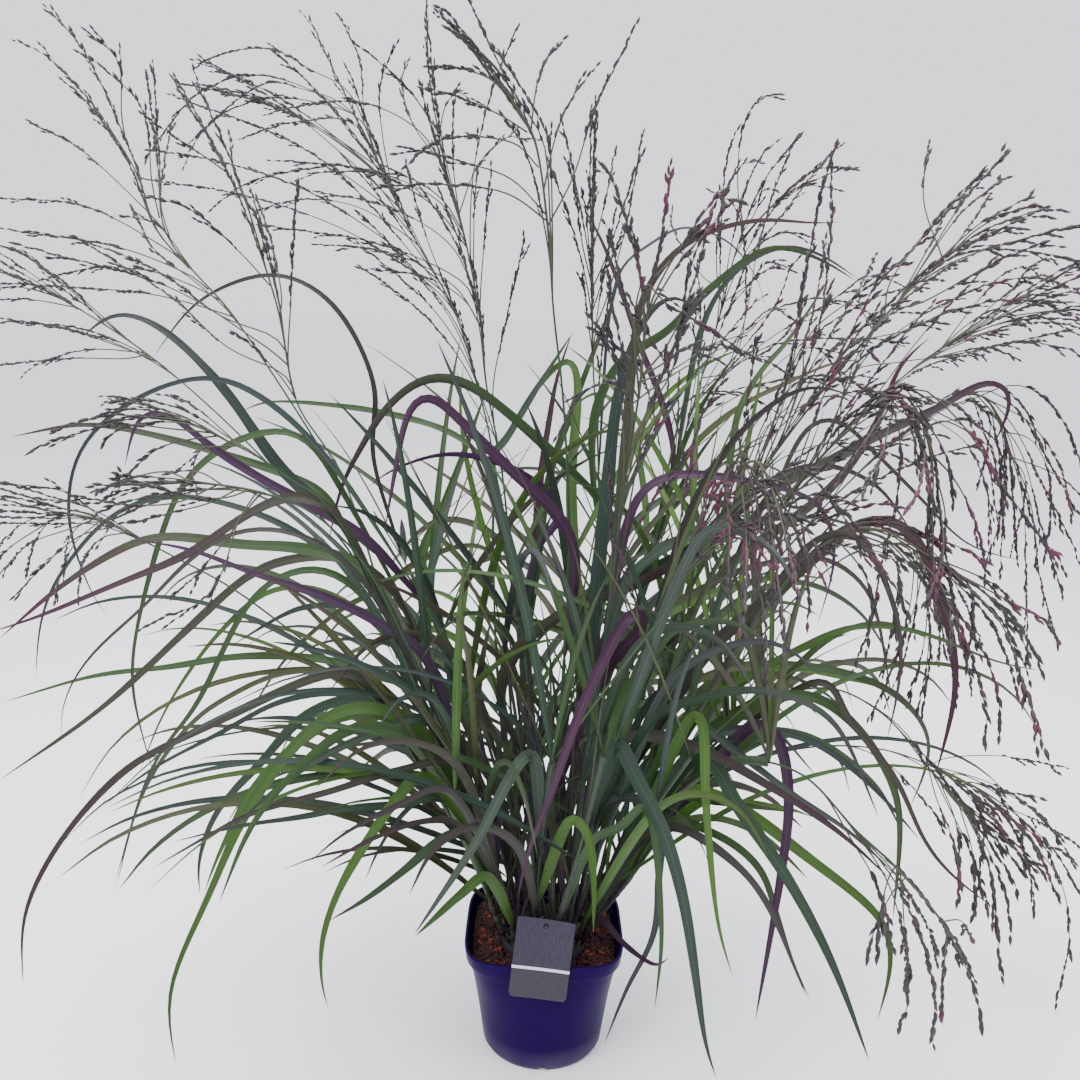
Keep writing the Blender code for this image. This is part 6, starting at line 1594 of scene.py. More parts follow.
def is_hidden_well(path, reach):
    """Whether an arc suits the clump, by where its points look to be to the eye, in cm, and where they are.

    They all stay between the clump's two sides, which draw in above and below its middle. Past the joint
    they keep off the card, the pot and the soil's two back heaps.
    """
    seen = np.array([seen_from_eye(p) for p in path])
    across, up = seen.T
    deep = path[:, 1]
    taper = 0.2 * np.abs(up - 45)
    dense = (across > taper - reach[0]) & (across < reach[1] - taper) & (up < 84)
    on_card = (np.abs(across + 0.3) < 4.6) & (up < 21) & (deep < -0.04)
    on_pot = (np.abs(across) < 11) & (up < 12) & (deep < 0.05)
    in_pot = (path[:, 2] < 0.154) & (np.abs(path[:, :2]).max(axis=1) < 0.104)
    on_heap = (np.abs(np.abs(across) - 7.5) < 2.6) & (up < 21) & (deep < 0.06)
    off_floor = path[:, 2].min() > 0.03 and up.min() > 12
    inside = off_floor and deep.min() > FILLER_FRONT and deep.max() < FILLER_BACK
    return dense.all() and not (on_card | on_pot | in_pot | on_heap)[2:].any() and inside


def fill_clump(thicket, lines, rng):
    """Extra leaves on the stems, kept where they touch nothing and thicken the clump."""
    names = sorted(lines)
    found = {name: [] for name in names}
    for count, joints, lengths, rises, falls, widths, reach, tones in FILLERS:
        kept = 0
        for _ in range(FILLER_TRIES * count):
            name = names[rng.integers(len(names))]
            root = joint_on(lines[name]["stem"], rng.uniform(*joints))
            path = filler_path(root, rng, lengths, rises, falls)
            width = rng.uniform(*widths)
            if not is_hidden_well(path, reach) or abs(root[0]) > FILLER_ROOT:
                continue
            tree = tree_of(blade_rings(path, width, FILLER_FACE, FILLER_GAP))
            if not thicket.is_clear(tree, (name,)):
                continue
            thicket.strands.append((name, tree))
            found[name].append((path, width, tones and tones[rng.integers(len(tones))]))
            kept += 1
            if kept >= count:
                break
    return found


def glaucous_grass():
    """Living grass: a waxy cuticle over green tissue, veined along the blade, flushed wine-purple by sun."""
    made, tree, shader = finish("glaucous_grass")
    tint = add_node(tree, "ShaderNodeAttribute", output="Vector", attribute_name="tint")
    place = add_node(tree, "ShaderNodeAttribute", output="Vector", attribute_name="strand")
    fresh = add_node(tree, "ShaderNodeSeparateXYZ", {0: tint}, "X")
    wine, bright = fresh.node.outputs["Y"], fresh.node.outputs["Z"]
    across = add_node(tree, "ShaderNodeSeparateXYZ", {0: place}, "X")
    greens = {0: fresh, 6: linear(BLUE_GREEN), 7: linear(FRESH_GREEN)}
    green = add_node(tree, "ShaderNodeMix", greens, 2, data_type="RGBA")
    flush = add_node(
        tree, "ShaderNodeMix", {0: fresh, 6: linear(PURPLE), 7: linear(RUSSET)}, 2, data_type="RGBA"
    )
    blotch = add_node(tree, "ShaderNodeTexNoise", {"Vector": place, "Scale": 60, "Detail": 3})
    spread = add_node(
        tree, "ShaderNodeMapRange", {"Value": blotch, 1: 0.3, 2: 0.7, "To Min": -0.16, "To Max": 0.16}
    )
    ripe = add_node(tree, "ShaderNodeMath", {0: wine, 1: spread}, operation="ADD", use_clamp=True)
    skin = add_node(tree, "ShaderNodeMix", {0: ripe, 6: green, 7: flush}, 2, data_type="RGBA")
    veins = add_node(tree, "ShaderNodeMath", {0: across, 1: math.tau / VEIN_SPACING}, operation="MULTIPLY")
    wave = add_node(tree, "ShaderNodeMath", {0: veins}, operation="COSINE")
    rib = add_node(tree, "ShaderNodeMath", {0: across}, operation="ABSOLUTE")
    pale = add_node(tree, "ShaderNodeMapRange", {"Value": rib, 1: 0.0005, 2: 0.00005, "To Max": 0.20})
    on_blade = add_node(tree, "ShaderNodeMath", {0: pale, 1: across.node.outputs["Z"]}, operation="MULTIPLY")
    level = add_node(
        tree, "ShaderNodeMapRange", {"Value": wave, 1: -1, 2: 1, "To Min": -0.07, "To Max": 0.07}
    )
    # The brightness, which holds painted shade and painted light as well as each tone's own lightness, scales
    # the leaf colour.
    lit = add_node(tree, "ShaderNodeMath", {0: bright, 1: level}, operation="ADD")
    gain = add_node(tree, "ShaderNodeMapRange", {"Value": lit, "To Min": 0.13, "To Max": 1.45})
    ribbed = add_node(
        tree, "ShaderNodeMix", {0: on_blade, 6: skin, 7: linear(RIB_GREEN)}, 2, data_type="RGBA"
    )
    feed(tree, shader, {
        "Base Color": add_node(tree, "ShaderNodeVectorMath", {0: ribbed, "Scale": gain}, operation="SCALE"),
        "Roughness": 0.48,
        "Specular IOR Level": 0.22,
        "Normal": add_node(tree, "ShaderNodeBump", {"Height": wave, "Strength": 0.35, "Distance": 0.0002}),
    })
    return made


thicket = Thicket()
plans = {f"culm_{i + 1:02d}": p for i, p in enumerate(FLOWERING)}
plans.update({f"shoot_{i + 1:02d}": p for i, p in enumerate(LEAFY)})
lines = {}
for name, plan in plans.items():
    depth = thicket.settle(lambda d: stem_solid(whole_line(plan, d)), plan["depth"], (name, "pot"), False)
    lines[name] = whole_line(plan, depth)
leaves = {name: [] for name in plans}
sown = [(name, blade) for name, plan in plans.items() for blade in plan["leaves"]]
sown += [(name, blade) for name, blades in AMONG.items() for blade in blades]
for name, blade in sown:
    root = joint_on(lines[name]["stem"], blade["joint"])
    depth = settled_blade(thicket, root, blade, (f"{name}_leaf_{len(leaves[name])}", name))
    path = eased(smooth_path(drawn_path(root, blade["line"], depth), BLADE_RINGS))
    leaves[name].append((root, path, blade))

leaf_rng = np.random.default_rng(LEAF_SEED)
filler = fill_clump(thicket, lines, leaf_rng)
grass = glaucous_grass()
for name in plans:
    lean = lines[name]["stem"][-1][0]
    side = "left" if lean < -0.08 else "middle" if lean < 0.1 else "right"
    joints = [root for root, path, blade in leaves[name]] + [path[0] for path, width, tone in filler[name]]
    grown = [fine_stem(lines[name], joints, leaf_rng)]
    for root, path, blade in leaves[name]:
        tone = TONES[blade["tone"] or MIXED[side][leaf_rng.integers(6)]]
        width = blade["width"] * BLADE_WIDEN
        grown.append(fine_blade(path, width, blade["face"], tone, blade["tip"], leaf_rng))
    for path, width, tone in filler[name]:
        # Leaves at the back may take the lit tone, which is painted light.
        behind = path[-1][1] > 0.14 and abs(path[-1][0]) < 0.34
        tone = TONES[tone or MIXED["back" if behind else side][leaf_rng.integers(6)]]
        tip = leaf_rng.uniform(0, 0.4)
        grown.append(fine_blade(smooth_path(path, FILLER_RINGS), width, FILLER_FACE, tone, tip, leaf_rng))
    mesh = mesh_from(f"grown_{name}", *joined([shape for shape, tint, place in grown]))
    tag(mesh, "tint", np.vstack([tint for shape, tint, place in grown]))
    tag(mesh, "strand", np.vstack([place for shape, tint, place in grown]))
    mesh.set_sharp_from_angle(angle=BLADE_CREASE)
    plant = piece(f"grown_{name}", mesh, grass)
    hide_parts(name)

# The flower heads: sprays of hair-thin branches, bare inside and lined with small pointed spikelets
# outside, close along each branch. Most are dark purple-grey. The young ones on the right are rose-red
# and hang over.

FORK_GAP = 0.0003
HEAD_RADIUS = 0.0011
TWIG_RADIUS = 0.0004
TWIG_SPRAY_RADIUS = 0.0013
AXIS_THIN = (0.00125, 0.00060)
TWIG_THIN = (0.00090, 0.00045)
STALK_THIN = 0.00028
STALK_STEP = 0.0050
STALK_LENGTH = (0.0006, 0.0035)
SPRIG_STEP = 0.020
SPRIG_LENGTH = (0.010, 0.026)
SPIKELET_LENGTH = 0.0084
SPIKELET_RADIUS = 0.00138
PATCH_SIZE = 0.10
HEAD_SEED = 53
DOWN = np.array([0, 0, -1.0])

TWIG_GREEN = "#30331a"
TWIG_DARK = "#2e2a28"
SPIKELET_DARK = "#170b18"
SPIKELET_PALE = "#1f1c1a"
SPIKELET_ROSE = "#470a2b"

# Branches that lie among those with solids of their own, by stem. One whose start is below zero leaves the
# stem so many metres under the fork.
STRAYS = {
    "culm_07": [
        twig(0.42, 34, (-19.5, 103.5), (-23.5, 106.3), (-27.5, 108), (-31.5, 108.6), (-35.1, 107.6),
             (-38.2, 105.6), (-42.3, 100.7)),
        twig(0.38, 28, (-20, 104), (-24.5, 106), (-29.6, 106.4), (-33.7, 105.2), (-36.3, 103.4),
             (-37.7, 101.5)),
        twig(0.45, 38, (-21.5, 105.4), (-26.5, 107.4), (-29.5, 107.9), (-32.1, 106.7), (-35.2, 104.4),
             (-37, 102.7)),
        twig(0.5, 30, (-21.4, 106.9), (-25.4, 109.2), (-28.4, 110.8), (-30.9, 111.1), (-33.5, 110.7),
             (-36, 109.9)),
        twig(0.4, 36, (-21, 104), (-26.6, 104.2), (-29.7, 103.5), (-31.7, 102.8)),
        twig(0.3, 26, (-20.5, 99.6), (-26.7, 99.5), (-31.9, 98.2), (-34.8, 96.4)),
    ],
    "culm_12": [
        twig(-0.10, 40, (18, 80), (19.8, 85.3), (20.7, 92.4), (22.1, 98.4), (23.6, 102.8)),
        twig(-0.08, 34, (18.3, 80), (19.7, 84.2), (19.6, 90.4), (18.6, 95.9), (17, 97.6)),
        twig(-0.14, 44, (15.5, 77.3), (17.4, 81.1), (19.9, 84.2), (22.4, 86.4), (24.7, 85.6)),
        twig(-0.15, 28, (14.5, 75.7), (17.5, 79), (21.6, 82.2), (25.7, 83.3), (32.1, 83.6), (36.8, 83.3)),
        twig(-0.16, 36, (15.6, 74.7), (19.7, 77.4), (24.4, 79.3), (30.3, 79.4), (36.3, 77.2)),
        twig(-0.12, 24, (18, 79.8), (20.1, 81.1), (22.1, 82), (23.6, 83.3), (25.1, 85.2)),
        twig(-0.03, 36, (20.1, 84), (21.4, 85.3), (23.1, 86.5), (25, 87.2), (27, 87.6), (29.7, 87.4),
             (32.7, 86.3)),
        twig(-0.12, 38, (16.8, 77.1), (18.5, 80), (23.1, 83.8), (28.1, 87), (30.6, 88.9), (32.4, 90),
             (35.3, 89.5)),
        twig(-0.22, 26, (12.6, 74.1), (14.4, 76.8), (17, 77.7), (20.3, 77.5), (23, 76.1)),
        twig(-0.14, 30, (14.8, 76), (15.4, 77.6), (15.5, 81), (14.5, 84.1), (15, 86.7)),
        twig(-0.20, 40, (17.9, 74), (21.8, 79), (27.8, 84.4), (32.8, 87.6), (37.1, 89.1)),
        twig(-0.14, 26, (15.5, 77.3), (20, 82.7), (22.9, 86.9), (24.2, 90.5)),
        twig(-0.22, 30, (14.6, 73.6), (17.8, 77.3), (21.8, 78.6), (26, 79.3), (30.3, 79.2), (33.2, 80.1)),
    ],
    "culm_11": [
        twig(-0.12, -30, (9.2, 73.5), (10.7, 76.7), (12.4, 79.9), (13, 84.1), (13.8, 90.3), (15.4, 95.1)),
        twig(0.03, -30, (8.2, 84), (8.6, 88.4), (9.7, 88.6), (11.3, 86.9), (14, 85.5), (16.7, 84),
             (19.5, 82.2), (23.3, 80.7)),
        twig(-0.06, -28, (10.4, 75.5), (10.1, 76.9), (9, 79.6), (7, 81.7), (4.6, 82.4)),
        twig(-0.09, -32, (11.5, 76.2), (11.9, 79.7), (10.4, 82.5), (8.8, 84.9), (7.8, 87.1)),
        twig(-0.08, -24, (8.4, 75.5), (7.4, 77.5), (5.4, 78.4), (3.2, 77.4), (1.6, 75.2)),
    ],
    "culm_13": [
        twig(-0.18, -6, (25.8, 82.3), (30.7, 87.5), (35.6, 91.5), (39.3, 96.3), (43.2, 100.6)),
        twig(-0.20, -14, (24.5, 78), (25.4, 83.3), (25.7, 88.5), (26.3, 93.5), (27, 98.5), (28, 102.7)),
        twig(-0.17, -2, (26, 79.1), (27.6, 84.4), (28.1, 90.6), (28.2, 95.6), (27.6, 101.7)),
        twig(-0.14, -16, (28, 80.7), (33, 85.5), (37.8, 90.2), (41.7, 93), (49.6, 97)),
        twig(-0.14, -8, (26.2, 79.5), (26.2, 82.4), (28, 82.3), (29.7, 80.6), (33, 78.2), (35.8, 76.5)),
        twig(-0.20, 4, (22.7, 73.6), (25.1, 76.5), (27.5, 81.3), (29.8, 85.5), (32.1, 89.2), (35.6, 91.5)),
        twig(-0.26, 2, (20.5, 72.6), (26, 79.1), (31, 83.9), (37.5, 87.4)),
        twig(-0.22, -18, (23.2, 72.7), (29.3, 78.7), (34.2, 83), (38.8, 85.4)),
        twig(-0.24, -8, (21.8, 72.6), (23.5, 77), (24.8, 81.2), (25.3, 85.4), (25.8, 91)),
        twig(-0.22, 6, (23.2, 72.7), (25.7, 81.2), (27.1, 87.5), (27.7, 93.6)),
    ],
    "culm_14": [
        twig(-0.16, 18, (32.3, 80.8), (36.2, 84.5), (40.2, 87.2), (44.7, 89.3), (49.3, 90.2), (54.1, 89.2)),
        twig(-0.14, 8, (32.2, 82.4), (36.2, 84.3), (41.3, 86.5), (46.4, 87.8), (53.8, 87.8)),
        twig(-0.12, 20, (31.3, 79.8), (36.5, 81.2), (41.7, 82), (46.9, 83.2), (53.9, 84.9)),
        twig(-0.24, 10, (22.1, 72.6), (25.2, 75.7), (29.3, 77.5), (33.6, 78.1), (37.3, 77.6)),
        twig(-0.22, 12, (23.4, 69.4), (26.5, 71.6), (30.8, 72.5), (35.2, 71.8), (39.6, 70.3)),
    ],
}


def axis_solid(path, first):
    """The three-cornered rings of a head's axis, a little swollen, to find what it would touch."""
    radii = np.linspace(HEAD_RADIUS, HEAD_RADIUS * 0.8, len(path)) + CLEARANCE
    return round_rings(path, radii, 3, first)


def twig_solid(root, plan, depth):
    """The rings of a flower branch's solid, a little swollen: thin at first, thicker in its spray."""
    path = smooth_path(drawn_path(root, plan["line"], depth), 4)
    radii = np.array([TWIG_RADIUS, TWIG_SPRAY_RADIUS, TWIG_SPRAY_RADIUS, 0]) + CLEARANCE
    return round_rings(path, radii, 3)


def spikelet_unit():
    """A spikelet: a spindle of three rings of four, with radii 0.75, 1 and 0.55, between two points."""
    stations = np.array([0.2, 0.45, 0.75])
    radii = np.array([0.75, 1.0, 0.55])
    turn = np.arange(4) * math.tau / 4
    ring = np.stack([
        np.outer(radii, np.cos(turn)), np.outer(radii, np.sin(turn)), np.repeat(stations[:, None], 4, axis=1)
    ], axis=-1).reshape(-1, 3)
    points = np.vstack([ring, [[0, 0, 0], [0, 0, 1]]])
    step = np.arange(4)
    after = (step + 1) % 4
    foot = np.stack([after, step, np.full(4, len(ring))], axis=-1)
    tip = np.stack([8 + step, 8 + after, np.full(4, len(ring) + 1)], axis=-1)
    return points, [walls_between(len(radii), 4), np.vstack([foot, tip])]


def leaning(way, rng, low, high, pull):
    """Directions that lean off the given ones by some degrees to a random side, then sag by the pull."""
    side = unit(np.cross(way, rng.normal(size=way.shape)))
    angle = np.radians(rng.uniform(low, high, len(way)))[:, None]
    return unit(way * np.cos(angle) + side * np.sin(angle) + np.array([0, 0, -pull]))


def pointing(way, rng):
    """Two axes square to each direction, and the direction itself as the third."""
    side = unit(np.cross(way, rng.normal(size=way.shape)))
    return np.stack([side, np.cross(way, side), way], axis=1)


def between(axis, twigs, rng):
    """A branch among the drawn ones: a blend of two, turned about the axis and cut, sagging as t^2.5."""
    one, two = rng.integers(len(twigs), size=2)
    share = rng.random()
    line = (twigs[one] - twigs[one][0]) * share + (twigs[two] - twigs[two][0]) * (1 - share)
    spot = int(rng.uniform(0.0, 0.6) * (len(axis) - 1))
    pole = axis[-1] - axis[0]
    pole /= np.linalg.norm(pole)
    turn = rng.normal(scale=0.4)
    turned_line = line * math.cos(turn) + np.cross(pole, line) * math.sin(turn)
    turned_line += pole * (line @ pole)[:, None] * (1 - math.cos(turn))
    made = turned_line * rng.uniform(0.6, 1.0)
    sag = DOWN * rng.uniform(0, 0.22) * np.linalg.norm(made[-1])
    return axis[spot] + made + sag * (np.linspace(0, 1, len(made)) ** 2.5)[:, None]


def alongside(whole, fork, low, rng):
    """A branch that runs up beside the axis: the axis's own line, plus a drift that grows as t^1.4."""
    gone = lengths_along(whole)
    start = gone[fork] + rng.uniform(-low, 0.45 * (gone[-1] - gone[fork]))
    end = min(start + rng.uniform(0.12, 0.26), gone[-1] + 0.01)
    share = np.linspace(0, 1, 16)
    base = read_along(whole, gone, start + (end - start) * share)
    drift = np.cross(base[-1] - base[0], rng.normal(size=3))
    drift *= rng.uniform(0.08, 0.34 + 0.5 * low) * (end - start) / np.linalg.norm(drift)
    sag = DOWN * rng.uniform(0, 0.12) * (end - start)
    return base + drift * (share**1.4)[:, None] + sag * (share**2.5)[:, None]


def spots_on(branches, step, rng):
    """Places and ways along the outer part of each branch, one place in each step of its length."""
    starts, ways = [], []
    for branch, bare in branches:
        length = np.linalg.norm(np.diff(branch, axis=0), axis=1).sum()
        count = max(int(length * (1 - bare) / step), 2)
        spot = (bare + (1 - bare) * (np.arange(count) + rng.random(count)) / count) * (len(branch) - 1)
        low = np.minimum(spot.astype(int), len(branch) - 2)
        starts.append(branch[low] + (branch[low + 1] - branch[low]) * (spot - low)[:, None])
        ways.append(directions(branch)[low])
    return np.vstack(starts), np.vstack(ways)


def stray_path(line, plan):
    """A stray branch: its root on the axis, or so far below the fork, then its drawn line."""
    place, path = plan["start"], line["fine_axis"]
    if place < 0:
        path = line["fine"][::-1]
        gone = lengths_along(path)
        root = path[int(np.argmin(np.abs(gone + place)))]
    else:
        root = path[int(place * (len(path) - 1))]
    return drawn_path(root, plan["line"], plan["depth"])


def flower_head(line, plan, twigs, strays, rng):
    """The whole head: axis, drawn and extra branches, sprigs, short stalks, and a spikelet on each stalk.

    A point's kind is below 1 on branches and stalks, and on a spikelet it is 1 plus the spikelet's shade.
    """
    rose, grain = plan["rose"], plan["grain"]
    axis = smooth_path(line["fine_axis"], 28)
    drawn = [smooth_path(t, 20) for t in twigs]
    whole = np.vstack([line["fine"], line["fine_axis"][1:]])
    fork = len(line["fine"]) - 1
    extra = [between(axis, drawn, rng) for _ in range(plan["full"] // 2)]
    extra += [alongside(whole, fork, plan["low"], rng) for _ in range(plan["full"])]
    branches = [(b, rng.uniform(0.30, 0.52)) for b in drawn + extra]
    branches += [(smooth_path(t, 24), rng.uniform(0.4, 0.55)) for t in strays]
    shapes, kinds = [], []

    def grow(shape, kind):
        shapes.append(shape)
        kinds.append(np.full(len(shape[0]), kind))

    grow(outward(shell(round_rings(axis, np.linspace(*AXIS_THIN, len(axis)), 5, line["way"]))), 0.1)
    for branch, bare in branches:
        grow(outward(shell(round_rings(branch, np.linspace(*TWIG_THIN, len(branch)), 4))), 0.3)
    laden = [*branches, (axis, 0.4)]
    starts, ways = spots_on(laden, SPRIG_STEP * grain, rng)
    ways = leaning(ways, rng, 3, 11, 0.12 * rose)
    share = np.linspace(0, 1, 4)
    reach = rng.uniform(*SPRIG_LENGTH, len(starts))[:, None] * share
    sag = DOWN * (0.08 + 0.25 * rose)
    sprigs = starts[:, None] + ways[:, None] * reach[..., None] + sag * (reach * share)[..., None]
    grow(swept(sprigs, np.full(sprigs.shape[:2], STALK_THIN), 3), 0.45)
    sprig_way = directions(sprigs)
    starts, ways = spots_on(laden, STALK_STEP * grain, rng)
    roots = np.vstack([starts, sprigs[:, 1], sprigs[:, 2], sprigs[:, 3]])
    aims = np.vstack([ways, sprig_way[:, 1], sprig_way[:, 2], sprig_way[:, 3]])
    aims = leaning(aims, rng, 2, 10, 0.10 * rose)
    ends = roots + aims * rng.uniform(*STALK_LENGTH, len(roots))[:, None]
    grow(swept(np.stack([roots, ends], axis=1), np.full((len(roots), 2), STALK_THIN), 3), 0.6)
    aims = leaning(aims, rng, 0, 8, 0.08 * rose)
    size = grain * rng.uniform(0.75, 1.2, len(ends))[:, None, None]
    scale = np.array([SPIKELET_RADIUS, SPIKELET_RADIUS, SPIKELET_LENGTH])[None, :, None]
    corners, faces = spikelet_unit()
    stalks = np.full(sum(len(k) for k in kinds), rose * 0.15)
    shapes.append(copies(corners, faces, pointing(aims, rng) * scale * size, ends))
    kinds.append(np.repeat(1 + rng.random(len(ends)) * 0.999, len(corners)))
    patch = lumps(ends[:, 0], ends[:, 2], rng, PATCH_SIZE, 0.55)
    bloom = np.clip(1.6 * (rose + patch - 0.58) + rng.normal(scale=0.12, size=len(ends)), 0, 1) * (rose > 0)
    return shapes, kinds, np.concatenate([stalks, np.repeat(bloom, len(corners))])


def ripe_panicle():
    """Spikelets and their stalks: papery scales, dark purple-grey when ripe and rose-red when they open."""
    made, tree, shader = finish("ripe_panicle")
    kind = add_node(tree, "ShaderNodeAttribute", output="Fac", attribute_name="kind")
    rose = add_node(tree, "ShaderNodeAttribute", output="Fac", attribute_name="rose")
    stalks = {0: kind, 6: linear(TWIG_GREEN), 7: linear(TWIG_DARK)}
    stalk = add_node(tree, "ShaderNodeMix", stalks, 2, data_type="RGBA")
    which = add_node(tree, "ShaderNodeMath", {0: kind, 1: 1.0}, operation="SUBTRACT")
    darks = {0: which, 6: linear(SPIKELET_DARK), 7: linear(SPIKELET_PALE)}
    dark = add_node(tree, "ShaderNodeMix", darks, 2, data_type="RGBA")
    is_grain = add_node(tree, "ShaderNodeMath", {0: kind, 1: 0.9}, operation="GREATER_THAN")
    skin = add_node(tree, "ShaderNodeMix", {0: is_grain, 6: stalk, 7: dark}, 2, data_type="RGBA")
    pink = add_node(tree, "ShaderNodeMix", {0: rose, 6: skin, 7: linear(SPIKELET_ROSE)}, 2, data_type="RGBA")
    feed(tree, shader, {"Base Color": pink, "Roughness": 0.6})
    return made


head_rng = np.random.default_rng(HEAD_SEED)
panicle = ripe_panicle()
for number, (name, plan) in enumerate((n, p["flower"]) for n, p in plans.items() if p["flower"]):
    own = f"panicle_{number + 1:02d}"
    line = lines[name]
    path = line["axis"].copy()
    path[0] += line["way"] / np.linalg.norm(line["way"]) * FORK_GAP
    thicket.settle(lambda d: axis_solid(path, line["way"]), 0, (own, name))
    twigs = []
    for branch in plan["twigs"]:
        at = branch["start"] * (len(path) - 1)
        low = min(int(at), len(path) - 2)
        root = path[low] + (path[low + 1] - path[low]) * (at - low)
        depth = thicket.settle(lambda d: twig_solid(root, branch, d), branch["depth"], (own, name))
        twigs.append(drawn_path(root, branch["line"], depth))
    strays = [stray_path(line, t) for t in STRAYS.get(name, [])]
    shapes, kinds, bloom = flower_head(line, plan, twigs, strays, head_rng)
    mesh = mesh_from(f"open_{own}", *joined(shapes))
    tag(mesh, "kind", np.concatenate(kinds))
    tag(mesh, "rose", bloom)
    flower = piece(f"open_{own}", mesh, panicle)
    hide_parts(own)

# The label: a thin printed plastic card, a little bowed, that leans on the rim. Its print is left plain:
# a grey-violet field, a pale band across and a mottled lower part. It hangs by a hole near its top edge.

CARD_WIDTH = 0.064
CARD_HEIGHT = 0.090
CARD_THICK = 0.0006
CARD_CENTRE = np.array([-0.0025, -0.0942, 0.160])
CARD_LEAN = math.radians(-9.5)
CARD_ROLL = math.radians(-6.0)
CARD_CORNER = 0.0014
HOLE_RADIUS = 0.0028
HOLE_DROP = 0.008
HOLE_UP = CARD_HEIGHT / 2 - HOLE_DROP
CURL = 0.0016
BOW_SHARE = 0.6
CURL_SHARE = 2.5
CURL_FROM = 0.35
CARD_STEPS = 128
CARD_RUNS = 22
CARD_CREASE = math.radians(40)

CARD_FIELD = "#221c2d"
CARD_BAND = "#c9c9d2"
CARD_STREAK = "#2e293b"
CARD_LOW = "#24202f"
CARD_GREEN = "#28332f"
CARD_FLECK = "#3a2734"
BAND_HEIGHT = -0.0115
BAND_DEPTH = 0.0016


def card_points(across, up, out):
    """Points on the card: across and up from its centre, rolled, then leaned back, and out of its front."""
    x = across * math.cos(CARD_ROLL) - up * math.sin(CARD_ROLL)
    rise = across * math.sin(CARD_ROLL) + up * math.cos(CARD_ROLL)
    y = -rise * math.sin(CARD_LEAN) - out * math.cos(CARD_LEAN)
    z = rise * math.cos(CARD_LEAN) - out * math.sin(CARD_LEAN)
    return CARD_CENTRE + np.stack([x, y, z], axis=-1)


def card_outline(turn):
    """A rectangle with round corners about the hole: the nearest of its sides along each direction."""
    x, y = np.cos(turn), np.sin(turn)
    reach_x = CARD_WIDTH / 2 / np.maximum(np.abs(x), 1e-6)
    reach_y = np.where(y > 0, HOLE_DROP, CARD_HEIGHT - HOLE_DROP) / np.maximum(np.abs(y), 1e-6)
    reach = np.minimum(reach_x, reach_y)
    px, py = x * reach, y * reach + HOLE_UP
    inner_x, inner_y = CARD_WIDTH / 2 - CARD_CORNER, CARD_HEIGHT / 2 - CARD_CORNER
    over_x, over_y = np.abs(px) - inner_x, np.abs(py) - inner_y
    corner = (over_x > 0) & (over_y > 0)
    far = np.hypot(over_x, over_y)
    shrink = np.where(corner, np.minimum(1, CARD_CORNER / np.maximum(far, 1e-9)), 1)
    px = np.where(corner, np.sign(px) * (inner_x + over_x * shrink), px)
    py = np.where(corner, np.sign(py) * (inner_y + over_y * shrink), py)
    return px, py


def label_card():
    """The card as rings round its hole: front from hole to edge and back again, bowed and curled."""
    turn = np.arange(CARD_STEPS) * math.tau / CARD_STEPS
    edge_x, edge_y = card_outline(turn)
    hole_x = HOLE_RADIUS * np.cos(turn)
    hole_y = HOLE_RADIUS * np.sin(turn) + CARD_HEIGHT / 2 - HOLE_DROP
    share = np.linspace(0, 1, CARD_RUNS)[:, None]
    x = hole_x + (edge_x - hole_x) * share
    y = hole_y + (edge_y - hole_y) * share
    bow = CURL * ((x / CARD_WIDTH * 2) ** 2 - 0.4) * BOW_SHARE
    curl = CURL * CURL_SHARE * np.clip((x / CARD_WIDTH + y / CARD_HEIGHT) - CURL_FROM, 0, 1)
    out = bow + curl
    front = card_points(x, y, out + CARD_THICK / 2)
    back = card_points(x, y, out - CARD_THICK / 2)[::-1]
    rings = np.concatenate([front, back])
    faces = walls_between(len(rings) + 1, CARD_STEPS) % (len(rings) * CARD_STEPS)
    spots = np.concatenate([np.stack([x, y, x * 0 + 1], axis=-1), np.stack([x, y, x * 0], axis=-1)[::-1]])
    return outward((rings.reshape(-1, 3), [faces])), spots.reshape(-1, 3)


